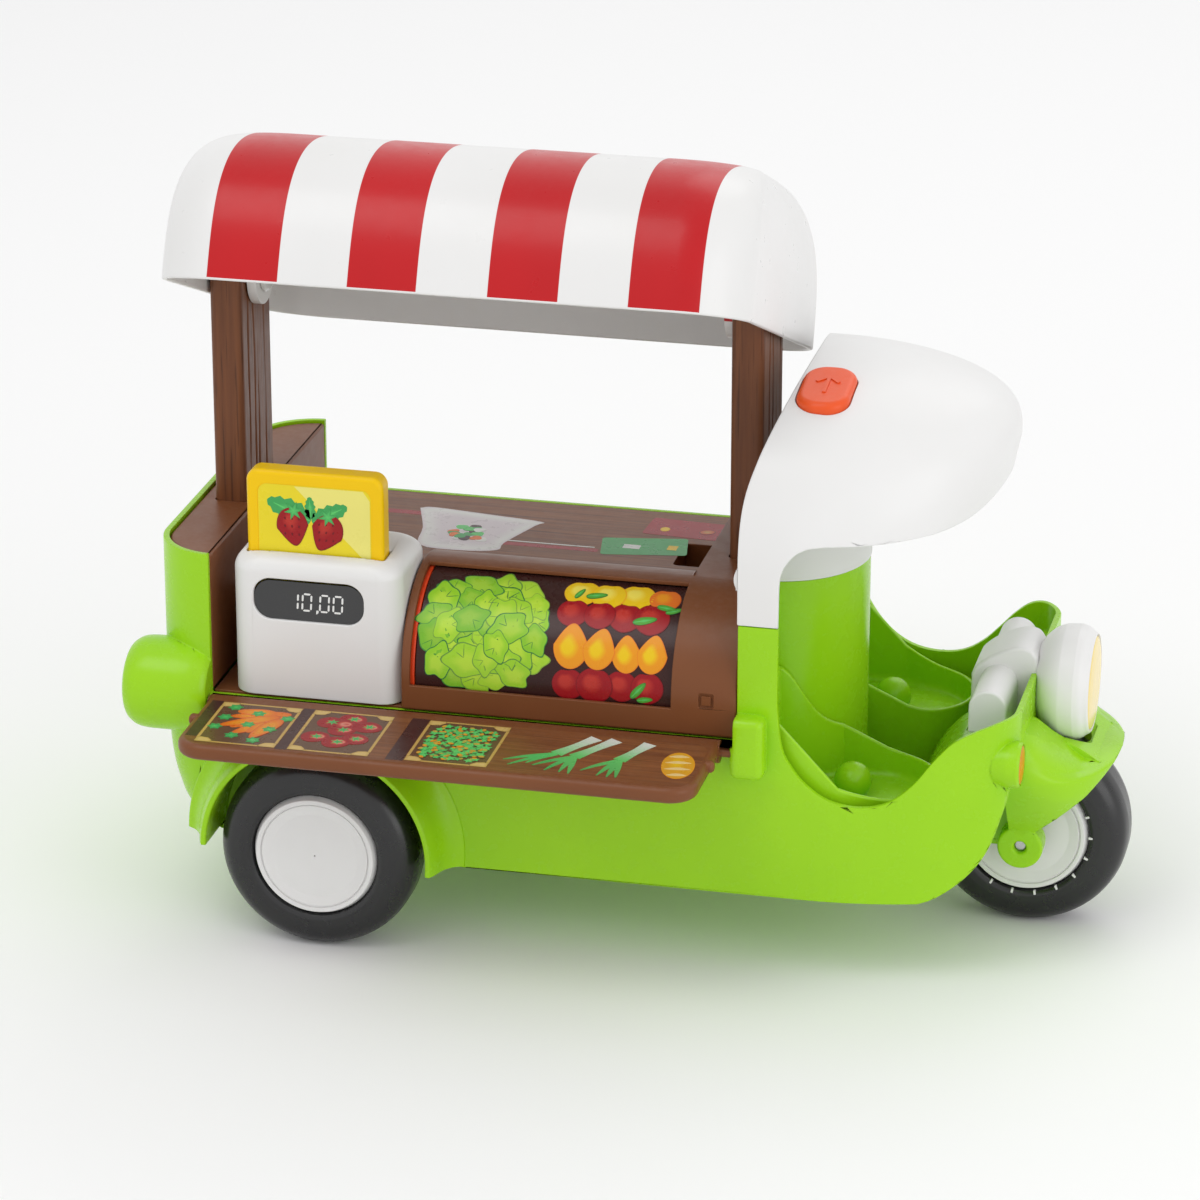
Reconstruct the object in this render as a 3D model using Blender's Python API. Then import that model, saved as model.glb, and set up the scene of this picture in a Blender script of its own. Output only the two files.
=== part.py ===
"""Play food truck: a three-wheeled market stall on a scooter front, moulded in plastic.

Metres, +Z up, +X to the front of the truck, -Y to the customer's side.  Pieces are modelled about the
truck's own middle plane and ground line, then carried by one empty that puts the middle of the whole
outline at the world's origin.
"""
import math

import bmesh
import bpy
from mathutils import Matrix, Vector

MM = 0.001

# Fits
GAP = 0.3 * MM                      # between pieces that touch or slide
ROOM = 0.6 * MM                     # round pieces that swing past each other

# Wheels and axles
TYRE_RADIUS = 40.0 * MM
TYRE_WIDTH = 28.0 * MM
RIM_RADIUS = 25.9 * MM
AXLE_RADIUS = 2.0 * MM
REAR_AXLE_X = -91.4 * MM
FRONT_AXLE_X = 176.0 * MM
ARCH_RADIUS = TYRE_RADIUS + 4.5 * MM
ARCH_WALL = 2.2 * MM

# Body tub
BODY_HALF_WIDTH = 83.0 * MM
REAR_WHEEL_OUTER_Y = BODY_HALF_WIDTH + 17.2 * MM
BODY_WALL = 2.5 * MM
BODY_REAR_X = -162.0 * MM
BODY_CORNER = 26.0 * MM
BODY_BOTTOM_Z = 33.5 * MM
BODY_RIM_Z = 156.0 * MM
TAPER_START_X = 100.0 * MM
TAPER_LENGTH = 84.0 * MM
TAPER_DEPTH = 23.0 * MM
POST_X = (73.2 * MM, 88.8 * MM)
POST_TOP_Z = 145.0 * MM
STALL_REAR_X = -137.0 * MM
SILL_Z = 98.0 * MM
FAR_WALL_Z = 127.5 * MM
TAIL_POD_RADIUS = 18.5 * MM
TAIL_POD_REAR_X = -171.7 * MM
TAIL_POD_Y = BODY_HALF_WIDTH - 6.0 * MM
TAIL_POD_Z = 98.5 * MM
SIGNAL_RADIUS = 8.6 * MM
SIGNAL_FRONT_X = 183.4 * MM
SIGNAL_Y = BODY_HALF_WIDTH - TAPER_DEPTH
SIGNAL_Z = 88.7 * MM
LENS_DEPTH = 1.6 * MM

# Base plate
PLATE_THICKNESS = 2.5 * MM
PLATE_Z = BODY_BOTTOM_Z + GAP
PLATE_TOP_Z = PLATE_Z + PLATE_THICKNESS
SCREW_HEAD_RADIUS = 3.2 * MM

# Stall mouldings
SHEET = 2.2 * MM
DECK_Z = 155.0 * MM
COUNTER_Z = 127.5 * MM
STALL_FRONT_X = 73.0 * MM
BLOCK_X = 47.5 * MM
FRAME_X = -60.0 * MM
POCKET_X = (25.0 * MM, 38.0 * MM)
POCKET_Y = (21.0 * MM, 46.0 * MM)
POCKET_DEPTH = 12.0 * MM

# Display drum
DRUM_RADIUS = 36.0 * MM
DRUM_ROOM = 2.5 * MM
DRUM_Y = DRUM_RADIUS + DRUM_ROOM - BODY_HALF_WIDTH
DRUM_Z = 110.0 * MM
DRUM_WALL = 1.8 * MM
DRUM_RIM = 2.0 * MM
FRAME_SKIN = 1.7 * MM
WINDOW_X = (-56.5 * MM, 47.2 * MM)
WINDOW_ANGLES = (98.3, 182.0)
DRUM_AXLE_RADIUS = 1.5 * MM

# Till and its card
TILL_X = (-128.5 * MM, -60.5 * MM)
TILL_Y = (0.4 * MM - BODY_HALF_WIDTH, 44.5 * MM - BODY_HALF_WIDTH)
TILL_TOP_Z = 157.0 * MM
TILL_CORNER = 9.0 * MM
TILL_WINDOW = (44.5 * MM, 17.0 * MM)
TILL_WINDOW_Z = 139.7 * MM
TILL_WINDOW_X = -96.8 * MM
CARD_WIDTH = 55.0 * MM
CARD_THICKNESS = 9.6 * MM
CARD_NEAR_Y = TILL_Y[0] + 7.6 * MM
CARD_X = -95.8 * MM
CARD_TOP_Z = 190.0 * MM
CARD_BOTTOM_Z = 128.5 * MM
CARD_TRAVEL = 12.0 * MM

# Fold-up tray
TRAY_X = (-136.0 * MM, 68.0 * MM)
TRAY_THICKNESS = 6.6 * MM
TRAY_DEPTH = 50.6 * MM
TRAY_HINGE_Y = -5.0 * MM - BODY_HALF_WIDTH
TRAY_HINGE_Z = 95.0 * MM
TRAY_BARREL_RADIUS = 4.5 * MM
TRAY_PIN_RADIUS = 2.0 * MM
TRAY_PIN_LENGTH = 5.5 * MM
TRAY_CORNER = 11.0 * MM
SNAP_FROM_HINGE = 20.5 * MM
SNAP_REACH = 2.0 * MM
CATCH_Z = 113.0 * MM

# Canopy and its lift
CANOPY_X = (-157.0 * MM, 74.0 * MM)
CANOPY_HALF_WIDTH = BODY_HALF_WIDTH + 8.0 * MM
CANOPY_HEIGHT = 64.0 * MM
CANOPY_WALL = 2.2 * MM
CANOPY_CORNER = 26.0 * MM
CANOPY_END_CURVE = 24.0 * MM
CANOPY_ARCH_POWER = 3.1
CANOPY_END_POWER = 3.5
CANOPY_TILT = 22.2
CANOPY_PIVOT_Z = 246.0 * MM
CANOPY_RIM_DROP = 11.2 * MM
CANOPY_STROKE = 77.0 * MM
COLUMN_LENGTH_X = 13.0 * MM
COLUMN_WIDTH = 40.0 * MM
REAR_COLUMN_X = -147.1 * MM
FRONT_COLUMN_X = 63.0 * MM
COLUMN_BOTTOM_Z = 129.0 * MM
SPRING_RADIUS = 3.1 * MM
SPRING_WIRE = 0.45 * MM
SPRING_BORE = 4.0 * MM
SPRING_BORE_DEPTH = 30.0 * MM
REAR_SPRING_SEAT_Z = 46.5 * MM
FRONT_SPRING_SEAT_Z = 41.0 * MM
PIVOT_RADIUS = 2.5 * MM
EAR_RADIUS = 13.2 * MM
EAR_THICKNESS = 3.6 * MM

# Cab
CAB_COLUMN_RADIUS = 36.0 * MM
CAB_COLUMN_X = 73.0 * MM
CAB_WALL = 2.4 * MM
BULKHEAD_X = 73.6 * MM
BULKHEAD_TOP_Z = 146.0 * MM
SEAT_FLOOR_Z = 63.5 * MM
SEAT_BACK_Z = 112.0 * MM
SEAT_FRONT_Z = 74.5 * MM
SEAT_WALL = 2.2 * MM
STUD_RADIUS = 5.5 * MM
STUD_X = 111.0 * MM
STUD_Y = BODY_HALF_WIDTH - 38.0 * MM

# Roof over the cab
ROOF_LENGTH = 79.0 * MM
ROOF_CENTRE_X = 88.0 * MM
ROOF_HALF_WIDTH = BODY_HALF_WIDTH
ROOF_TOP_Z = 231.0 * MM
ROOF_SHOULDER_Z = 160.0 * MM
ROOF_BROW_Z = 200.0 * MM
ROOF_WALL = 2.2 * MM
ROOF_POWER = 3.2
ROOF_REAR_X = 72.8 * MM
ROOF_BACK_PANEL_X = 76.6 * MM
LUG_RADIUS = 7.2 * MM
LUG_X = 78.4 * MM
LUG_Z = 163.6 * MM

# Roof button, its rod and the latch
BUTTON_X = 100.0 * MM
BUTTON_Y = -36.0 * MM
BUTTON_SIZE = (23.0 * MM, 39.0 * MM)
BUTTON_TOP_Z = 231.6 * MM
BUTTON_SLOPE = 0.085
BUTTON_TRAVEL = 3.5 * MM
FLANGE_Z = (219.4 * MM, 221.2 * MM)
FLANGE_REACH = 1.6 * MM
ROD_X = 93.0 * MM
ROD_Y = -21.0 * MM
ROD_RADIUS = 2.2 * MM
SHELF_Z = 204.0 * MM
LATCH_Z = (48.6 * MM, 55.5 * MM)
FOOT_Z = 60.0 * MM

# Scooter front
WELL_RADIUS = TYRE_RADIUS + 3.6 * MM
WELL_WALL = 2.4 * MM
WELL_HALF_WIDTH = 17.7 * MM
BOSS_RADIUS = 9.0 * MM
BOSS_OUTER_Y = 28.8 * MM
FRONT_TYRE_HALF = 14.0 * MM
NOSE_ROOT_X = 178.0 * MM
HEADLIGHT_RADIUS = 22.5 * MM
HEADLIGHT_Z = TYRE_RADIUS + 63.4 * MM
HEADLIGHT_X = (179.0 * MM, 201.0 * MM)
HANDLE_X = 163.5 * MM
HANDLE_WIDTH = 15.0 * MM
HANDLE_TOP_Z = 110.0 * MM
HANDLE_HALF_SPAN = 41.0 * MM

GREEN = ("leaf_green_plastic", (0.27, 0.62, 0.012), 0.32, 0.0)
WHITE = ("white_plastic", (0.84, 0.84, 0.82), 0.38, 0.0)
BROWN = ("brown_plastic", (0.165, 0.058, 0.027), 0.45, 0.0)
BLACK = ("tyre_black", (0.012, 0.012, 0.013), 0.5, 0.0)
YELLOW = ("card_yellow", (0.87, 0.60, 0.005), 0.35, 0.0)
ORANGE = ("button_orange", (0.83, 0.09, 0.02), 0.35, 0.0)
AMBER = ("signal_amber", (0.80, 0.30, 0.005), 0.3, 0.0)
RED = ("tail_red", (0.60, 0.015, 0.012), 0.3, 0.0)
CREAM = ("headlight_yellow", (0.86, 0.68, 0.22), 0.3, 0.0)
CLEAR = ("pivot_translucent", (0.75, 0.76, 0.74), 0.25, 0.0)
STEEL = ("steel", (0.55, 0.55, 0.56), 0.3, 1.0)
PRINT = ("drum_label", (0.20, 0.07, 0.03), 0.3, 0.0)


# Scene helpers

def clear_scene():
    """Remove every object of the scene that the script starts in."""
    for item in list(bpy.data.objects):
        bpy.data.objects.remove(item, do_unlink=True)


def finish_material(finish):
    """Return the material for a finish tuple, made once."""
    name, colour, roughness, metallic = finish
    found = bpy.data.materials.get(name)
    if found:
        return found
    made = bpy.data.materials.new(name)
    made.use_nodes = True
    shader = made.node_tree.nodes["Principled BSDF"]
    shader.inputs["Base Color"].default_value = (*colour, 1.0)
    shader.inputs["Roughness"].default_value = roughness
    shader.inputs["Metallic"].default_value = metallic
    made.diffuse_color = (*colour, 1.0)
    return made


def solid(bm, name="piece"):
    """Turn a bmesh into a linked object with its faces pointing out."""
    bmesh.ops.recalc_face_normals(bm, faces=bm.faces)
    mesh = bpy.data.meshes.new(name)
    bm.to_mesh(mesh)
    bm.free()
    item = bpy.data.objects.new(name, mesh)
    bpy.context.collection.objects.link(item)
    return item


def flatten(item):
    """Split every face that isn't flat into triangles, so that the exact boolean sees true planes."""
    bm = bmesh.new()
    bm.from_mesh(item.data)
    bent = []
    for face in bm.faces:
        if len(face.verts) < 4:
            continue
        centre = face.calc_center_median()
        normal = face.normal
        if max(abs((vert.co - centre).dot(normal)) for vert in face.verts) > 2e-7:
            bent.append(face)
    if bent:
        bmesh.ops.triangulate(bm, faces=bent)
        bm.to_mesh(item.data)
    bm.free()


def combine(target, tool, operation):
    """Apply one exact boolean to target and remove the tool."""
    flatten(target)
    flatten(tool)
    step = target.modifiers.new("combine", "BOOLEAN")
    step.object = tool
    step.operation = operation
    step.solver = "EXACT"
    graph = bpy.context.evaluated_depsgraph_get()
    graph.update()
    result = bpy.data.meshes.new_from_object(target.evaluated_get(graph))
    target.modifiers.clear()
    old = target.data
    target.data = result
    bpy.data.meshes.remove(old)
    bpy.data.objects.remove(tool, do_unlink=True)
    return target


def cut(target, *tools):
    """Take each tool away from target."""
    for tool in tools:
        combine(target, tool, "DIFFERENCE")
    return target


def fuse(target, *tools):
    """Join each tool to target."""
    for tool in tools:
        combine(target, tool, "UNION")
    return target


def keep_inside(target, tool):
    """Keep only what target and tool share."""
    return combine(target, tool, "INTERSECT")


def finish(item, name, look, frame, pivot=None, sharp=35.0):
    """Name a piece, dress it, put its origin on its pivot and hang it on the frame empty."""
    item.name = name
    item.data.name = name
    if pivot is not None:
        shift = Vector(pivot)
        item.data.transform(Matrix.Translation(-shift))
        item.location = shift
    item.data.materials.clear()
    item.data.materials.append(finish_material(look))
    item.data.shade_smooth()
    item.data.set_sharp_from_angle(angle=math.radians(sharp))
    item.parent = frame
    return item


# Shape helpers

def arc(centre, radius, start, end, steps):
    """Points on an arc, angles in degrees."""
    points = []
    for i in range(steps + 1):
        angle = math.radians(start + (end - start) * i / steps)
        points.append((centre[0] + radius * math.cos(angle), centre[1] + radius * math.sin(angle)))
    return points


def rounded_rectangle(half_x, half_y, corner, steps=4, centre=(0.0, 0.0)):
    """Counter-clockwise outline with round corners."""
    corner = min(corner, half_x * 0.98, half_y * 0.98)
    points = []
    for sign_x, sign_y, start in ((1, 1, 0), (-1, 1, 90), (-1, -1, 180), (1, -1, 270)):
        middle = (centre[0] + sign_x * (half_x - corner), centre[1] + sign_y * (half_y - corner))
        points += arc(middle, corner, start, start + 90, steps)
    return points


def inset(outline, distance):
    """Move a counter-clockwise outline inwards by a distance, corner by corner."""
    count = len(outline)
    moved = []
    for i in range(count):
        before = Vector(outline[i - 1])
        here = Vector(outline[i])
        after = Vector(outline[(i + 1) % count])
        first = (here - before).normalized()
        second = (after - here).normalized()
        normal = Vector((-first.y - second.y, first.x + second.x))
        normal.normalize()
        slant = max(0.5, normal.dot(Vector((-first.y, first.x))))
        moved.append(tuple(here + normal * (distance / slant)))
    return moved


def loft(rings):
    """Closed solid through rings of equal length, capped at both ends."""
    bm = bmesh.new()
    rows = [[bm.verts.new(point) for point in ring] for ring in rings]
    count = len(rows[0])
    for lower, upper in zip(rows, rows[1:]):
        for i in range(count):
            j = (i + 1) % count
            bm.faces.new((lower[i], lower[j], upper[j], upper[i]))
    bm.faces.new(list(reversed(rows[0])))
    bm.faces.new(rows[-1])
    return solid(bm)


def at_height(outline, z):
    """Lift a plan outline to a height; z is a number or a function of x and y."""
    if callable(z):
        return [(x, y, z(x, y)) for x, y in outline]
    return [(x, y, z) for x, y in outline]


def prism_z(outline, low, high):
    """Upright prism on a plan outline."""
    return loft([at_height(outline, low), at_height(outline, high)])


def prism_y(outline, low, high):
    """Prism along Y of an outline in X and Z."""
    return loft([[(x, low, z) for x, z in outline], [(x, high, z) for x, z in outline]])


def prism_x(outline, low, high):
    """Prism along X of an outline in Y and Z."""
    return loft([[(low, y, z) for y, z in outline], [(high, y, z) for y, z in outline]])


def box(x, y, z):
    """Plain block between three pairs of limits."""
    outline = [(x[0], y[0]), (x[1], y[0]), (x[1], y[1]), (x[0], y[1])]
    return prism_z(outline, z[0], z[1])


def soft_box(x, y, z, radius, segments=2):
    """Block with every edge rounded."""
    item = box(x, y, z)
    bm = bmesh.new()
    bm.from_mesh(item.data)
    bmesh.ops.bevel(bm, geom=list(bm.edges), offset=radius, segments=segments, profile=0.5,
                    affect="EDGES", clamp_overlap=True)
    bpy.data.objects.remove(item, do_unlink=True)
    return solid(bm)


def place_on_axis(axis, centre, along, radius, angle):
    """Point at a distance along an axis and a radius from it."""
    c = radius * math.cos(angle)
    s = radius * math.sin(angle)
    if axis == "X":
        return (along, centre[0] + c, centre[1] + s)
    if axis == "Y":
        return (centre[0] + c, along, centre[1] + s)
    return (centre[0] + c, centre[1] + s, along)


def turned(axis, centre, profile, steps=32):
    """Solid of revolution; the profile's (along, radius) points run from axis to axis."""
    bm = bmesh.new()
    rows = []
    for along, radius in profile:
        if radius <= 0.0:
            rows.append([bm.verts.new(place_on_axis(axis, centre, along, 0.0, 0.0))])
            continue
        turn = [2.0 * math.pi * i / steps for i in range(steps)]
        rows.append([bm.verts.new(place_on_axis(axis, centre, along, radius, a)) for a in turn])
    for lower, upper in zip(rows, rows[1:]):
        for i in range(steps):
            j = (i + 1) % steps
            if len(lower) == 1:
                bm.faces.new((lower[0], upper[j], upper[i]))
            elif len(upper) == 1:
                bm.faces.new((lower[i], lower[j], upper[0]))
            else:
                bm.faces.new((lower[i], lower[j], upper[j], upper[i]))
    return solid(bm)


def turned_ring(axis, centre, section, start=0.0, end=360.0, steps=32):
    """Solid made by turning a closed (along, radius) section about an axis, all round or part of it."""
    bm = bmesh.new()
    whole = abs(end - start - 360.0) < 1e-6
    count = steps if whole else steps + 1
    rows = []
    for i in range(count):
        angle = math.radians(start + (end - start) * i / steps)
        rows.append([bm.verts.new(place_on_axis(axis, centre, along, radius, angle))
                     for along, radius in section])
    points = len(section)
    for i in range(steps):
        lower = rows[i]
        upper = rows[(i + 1) % count]
        for j in range(points):
            k = (j + 1) % points
            bm.faces.new((lower[j], lower[k], upper[k], upper[j]))
    if not whole:
        bm.faces.new(list(reversed(rows[0])))
        bm.faces.new(rows[-1])
    return solid(bm)


def rod(axis, centre, low, high, radius, steps=16):
    """Plain round bar."""
    return turned(axis, centre, [(low, 0.0), (low, radius), (high, radius), (high, 0.0)], steps)


def coil(centre, low, high, radius, wire, turns, points_per_turn=9, sides=4):
    """Helical spring standing on Z, one unbroken tube."""
    bm = bmesh.new()
    count = int(turns * points_per_turn)
    start = low + wire
    rise = high - low - 2.0 * wire
    rows = []
    for i in range(count + 1):
        share = i / count
        angle = 2.0 * math.pi * turns * share
        outward = Vector((math.cos(angle), math.sin(angle), 0.0))
        spot = Vector((centre[0], centre[1], start + rise * share)) + outward * radius
        ring = []
        for j in range(sides):
            roll = 2.0 * math.pi * j / sides
            ring.append(bm.verts.new(spot + (outward * math.cos(roll) + Vector((0, 0, math.sin(roll)))) * wire))
        rows.append(ring)
    for lower, upper in zip(rows, rows[1:]):
        for j in range(sides):
            k = (j + 1) % sides
            bm.faces.new((lower[j], lower[k], upper[k], upper[j]))
    bm.faces.new(list(reversed(rows[0])))
    bm.faces.new(rows[-1])
    return solid(bm)


def mirrored(item):
    """A copy of a piece on the other side of the middle plane."""
    bm = bmesh.new()
    bm.from_mesh(item.data)
    bmesh.ops.scale(bm, vec=(1.0, -1.0, 1.0), verts=bm.verts)
    return solid(bm)


# Body tub

def side_half_width(x):
    """Half width of the tub's outer side at a distance along the truck."""
    ahead = max(0.0, x - TAPER_START_X) / TAPER_LENGTH
    return BODY_HALF_WIDTH - TAPER_DEPTH * ahead * ahead


def tub_outline(rear_x, front_x, wall):
    """Plan of the tub, moved inwards by a wall; the front end is cut square."""
    corner = BODY_CORNER - wall
    half = BODY_HALF_WIDTH - wall
    rear = rear_x + wall
    side = []
    stations = 7
    for i in range(stations + 1):
        x = TAPER_START_X + (front_x - TAPER_START_X) * (1.0 - i / stations)
        side.append((x, side_half_width(x) - wall))
    far = side + arc((rear + corner, half - corner), corner, 90, 180, 6)
    near = [(x, -y) for x, y in reversed(far)]
    return far + near


TUB_FRONT_X = TAPER_START_X + TAPER_LENGTH
TUB_LEVELS = ((0.0, 25.0), (4.5, 16.0), (12.5, 7.5), (20.5, 4.0), (29.5, 1.7), (40.5, 0.5), (56.5, 0.0))


def tub_block(wall, bottom_z, top_z, front_x):
    """The tub's outside, or its hollow when a wall is given."""
    rings = []
    for rise, tuck in TUB_LEVELS:
        z = BODY_BOTTOM_Z + rise * MM
        rings.append(at_height(tub_outline(BODY_REAR_X + tuck * MM, front_x, wall), z))
    low = [(x, y, bottom_z) for x, y, z in rings[0]]
    high = [(x, y, top_z) for x, y, z in rings[-1]]
    if bottom_z < BODY_BOTTOM_Z - MM:
        rings.insert(0, low)
    rings.append(high)
    return loft(rings)


DOOR_EDGE = ((88.8, 114.0), (90.6, 97.0), (94.5, 88.6), (100.5, 81.6), (109.0, 76.0), (120.3, 73.8),
             (131.0, 75.8), (140.5, 83.0), (148.5, 93.2), (155.5, 100.4), (163.0, 104.2), (170.0, 106.6),
             (176.0, 107.8))
NOSE_EDGE = ((133.9, 32.0), (147.6, 34.6), (158.5, 41.2), (166.0, 48.8), (170.6, 56.5), (173.8, 65.5),
             (176.6, 74.5), (179.5, 90.8), (181.6, 104.0), (181.6, 112.0))


def door_and_stall_cut(sill_z, near):
    """Prism that opens one side above its rim: the stall's sill, the post and the cab door."""
    top = BODY_RIM_Z + 20 * MM
    beyond = TUB_FRONT_X + 15 * MM
    outline = [(STALL_REAR_X, top), (STALL_REAR_X, sill_z), (POST_X[0], sill_z), (POST_X[0], POST_TOP_Z),
               (POST_X[1], POST_TOP_Z)]
    outline += [(x * MM, z * MM) for x, z in DOOR_EDGE]
    outline += [(TUB_FRONT_X, 108.2 * MM), (beyond, 108.2 * MM), (beyond, top)]
    outside = BODY_HALF_WIDTH + 30 * MM
    if near:
        return prism_y(outline, -outside, -3.1 * MM)
    return prism_y(outline, -3.3 * MM, outside)


def nose_cut():
    """Prism that trims the front edges of the side walls."""
    beyond = TUB_FRONT_X + 15 * MM
    outline = [(x * MM, z * MM) for x, z in NOSE_EDGE]
    outline += [(TUB_FRONT_X, 125.0 * MM), (beyond, 125.0 * MM), (beyond, 20.0 * MM), (133.9 * MM, 20.0 * MM)]
    outside = BODY_HALF_WIDTH + 30 * MM
    return prism_y(outline, -outside, outside)


def tail_pod(side):
    """Rounded pod for a tail light at a rear corner, also the socket of the tray's pin."""
    r = TAIL_POD_RADIUS
    rear = TAIL_POD_REAR_X
    end = TRAY_X[0] - ROOM
    profile = [(rear, 0.0), (rear, r * 0.70), (rear + 1.2 * MM, r * 0.84), (rear + 4.5 * MM, r * 0.965),
               (rear + 9.0 * MM, r), (end - 13.0 * MM, r), (end - 6.5 * MM, r * 0.96), (end - 2.0 * MM, r * 0.88),
               (end, r * 0.76), (end, 0.0)]
    return turned("X", (side * TAIL_POD_Y, TAIL_POD_Z), profile, 22)


def signal_pod(side):
    """Small pod at the front edge of a side wall for a turn signal."""
    r = SIGNAL_RADIUS
    front = SIGNAL_FRONT_X
    profile = [(front - 17.0 * MM, 0.0), (front - 15.5 * MM, r * 0.45), (front - 11.0 * MM, r * 0.85),
               (front - 5.0 * MM, r), (front - 1.0 * MM, r), (front, r * 0.92), (front, 0.0)]
    return turned("X", (side * SIGNAL_Y, SIGNAL_Z), profile, 16)


def wheel_arch(side):
    """Flared arch and the well behind it, turned about the rear axle."""
    lip = ARCH_RADIUS + 2.3 * MM
    wall = BODY_HALF_WIDTH
    well = ARCH_RADIUS + ARCH_WALL
    inner = REAR_WHEEL_OUTER_Y - TYRE_WIDTH - 4.0 * MM
    section = [(REAR_WHEEL_OUTER_Y - 0.4 * MM, ARCH_RADIUS), (REAR_WHEEL_OUTER_Y - 0.4 * MM, lip),
               (wall + 13.0 * MM, lip + 1.4 * MM), (wall + 7.5 * MM, lip + 3.2 * MM),
               (wall + 3.0 * MM, lip + 6.2 * MM), (wall + 0.6 * MM, lip + 9.8 * MM),
               (wall - 1.2 * MM, lip + 9.8 * MM), (wall - 2.0 * MM, well), (inner, well), (inner, 6.0 * MM),
               (inner + ARCH_WALL, 6.0 * MM), (inner + ARCH_WALL, ARCH_RADIUS)]
    section = [(side * y, r) for y, r in section]
    return turned_ring("Y", (REAR_AXLE_X, TYRE_RADIUS), section, -6.0, 180.0, 18)


def tray_hinge_boss():
    """Rounded boss on the near post that takes the tray's front pin."""
    return soft_box((POST_X[0] - 1.4 * MM, POST_X[1] - 3.6 * MM), (-BODY_HALF_WIDTH - 9.0 * MM, -BODY_HALF_WIDTH + 1.6 * MM),
                    (TRAY_HINGE_Z - 10.0 * MM, TRAY_HINGE_Z + 15.0 * MM), 3.2 * MM)


def tray_pin_hole(side_x, inward):
    """Blind bore for one tray pin."""
    length = TRAY_PIN_LENGTH + 0.6 * MM
    low = min(side_x - 2 * MM * inward, side_x + inward * length)
    high = max(side_x - 2 * MM * inward, side_x + inward * length)
    return rod("X", (TRAY_HINGE_Y, TRAY_HINGE_Z), low, high, TRAY_PIN_RADIUS + GAP, 14)


def body_shell():
    """The green tub with its arches, pods and posts."""
    shell = tub_block(0.0, BODY_BOTTOM_Z, BODY_RIM_Z, TUB_FRONT_X)
    fuse(shell, tail_pod(-1), tail_pod(1), tray_hinge_boss())
    cut(shell, tub_block(BODY_WALL, BODY_BOTTOM_Z - 20 * MM, BODY_RIM_Z + 30 * MM, TUB_FRONT_X + 12 * MM))
    cut(shell, door_and_stall_cut(SILL_Z, True), door_and_stall_cut(FAR_WALL_Z, False), nose_cut())
    for side in (-1, 1):
        limits = sorted((side * (BODY_HALF_WIDTH - 9 * MM), side * (BODY_HALF_WIDTH + 30 * MM)))
        cut(shell, rod("Y", (REAR_AXLE_X, TYRE_RADIUS), limits[0], limits[1], ARCH_RADIUS + 1.0 * MM, 32))
        fuse(shell, wheel_arch(side), signal_pod(side))
        lens = SIGNAL_FRONT_X - LENS_DEPTH
        cut(shell, rod("X", (side * SIGNAL_Y, SIGNAL_Z), lens, lens + 9 * MM, SIGNAL_RADIUS * 0.78, 16))
        rear = TAIL_POD_REAR_X + LENS_DEPTH
        cut(shell, rod("X", (side * TAIL_POD_Y, TAIL_POD_Z), rear - 9 * MM, rear, TAIL_POD_RADIUS * 0.58, 18))
    cut(shell, box((TRAY_X[0] - GAP, TRAY_X[1] + GAP), (-BODY_HALF_WIDTH - 60 * MM, -BODY_HALF_WIDTH - 0.05 * MM),
                   (TRAY_HINGE_Z - TRAY_BARREL_RADIUS - GAP, POST_TOP_Z)))
    cut(shell, tray_pin_hole(TRAY_X[0], -1), tray_pin_hole(POST_X[0] - 1.4 * MM, 1))
    return shell


def lens_disc(side, centre_y, centre_z, face_x, radius, forward):
    """Domed lens seated in the recess of a pod; forward is 1 or -1."""
    seat = face_x - forward * (LENS_DEPTH - GAP)
    profile = [(seat, 0.0), (seat, radius), (face_x - forward * 0.3 * MM, radius), (face_x, radius * 0.86),
               (face_x, 0.0)]
    return turned("X", (side * centre_y, centre_z), profile, 16)


# Base plate

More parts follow.
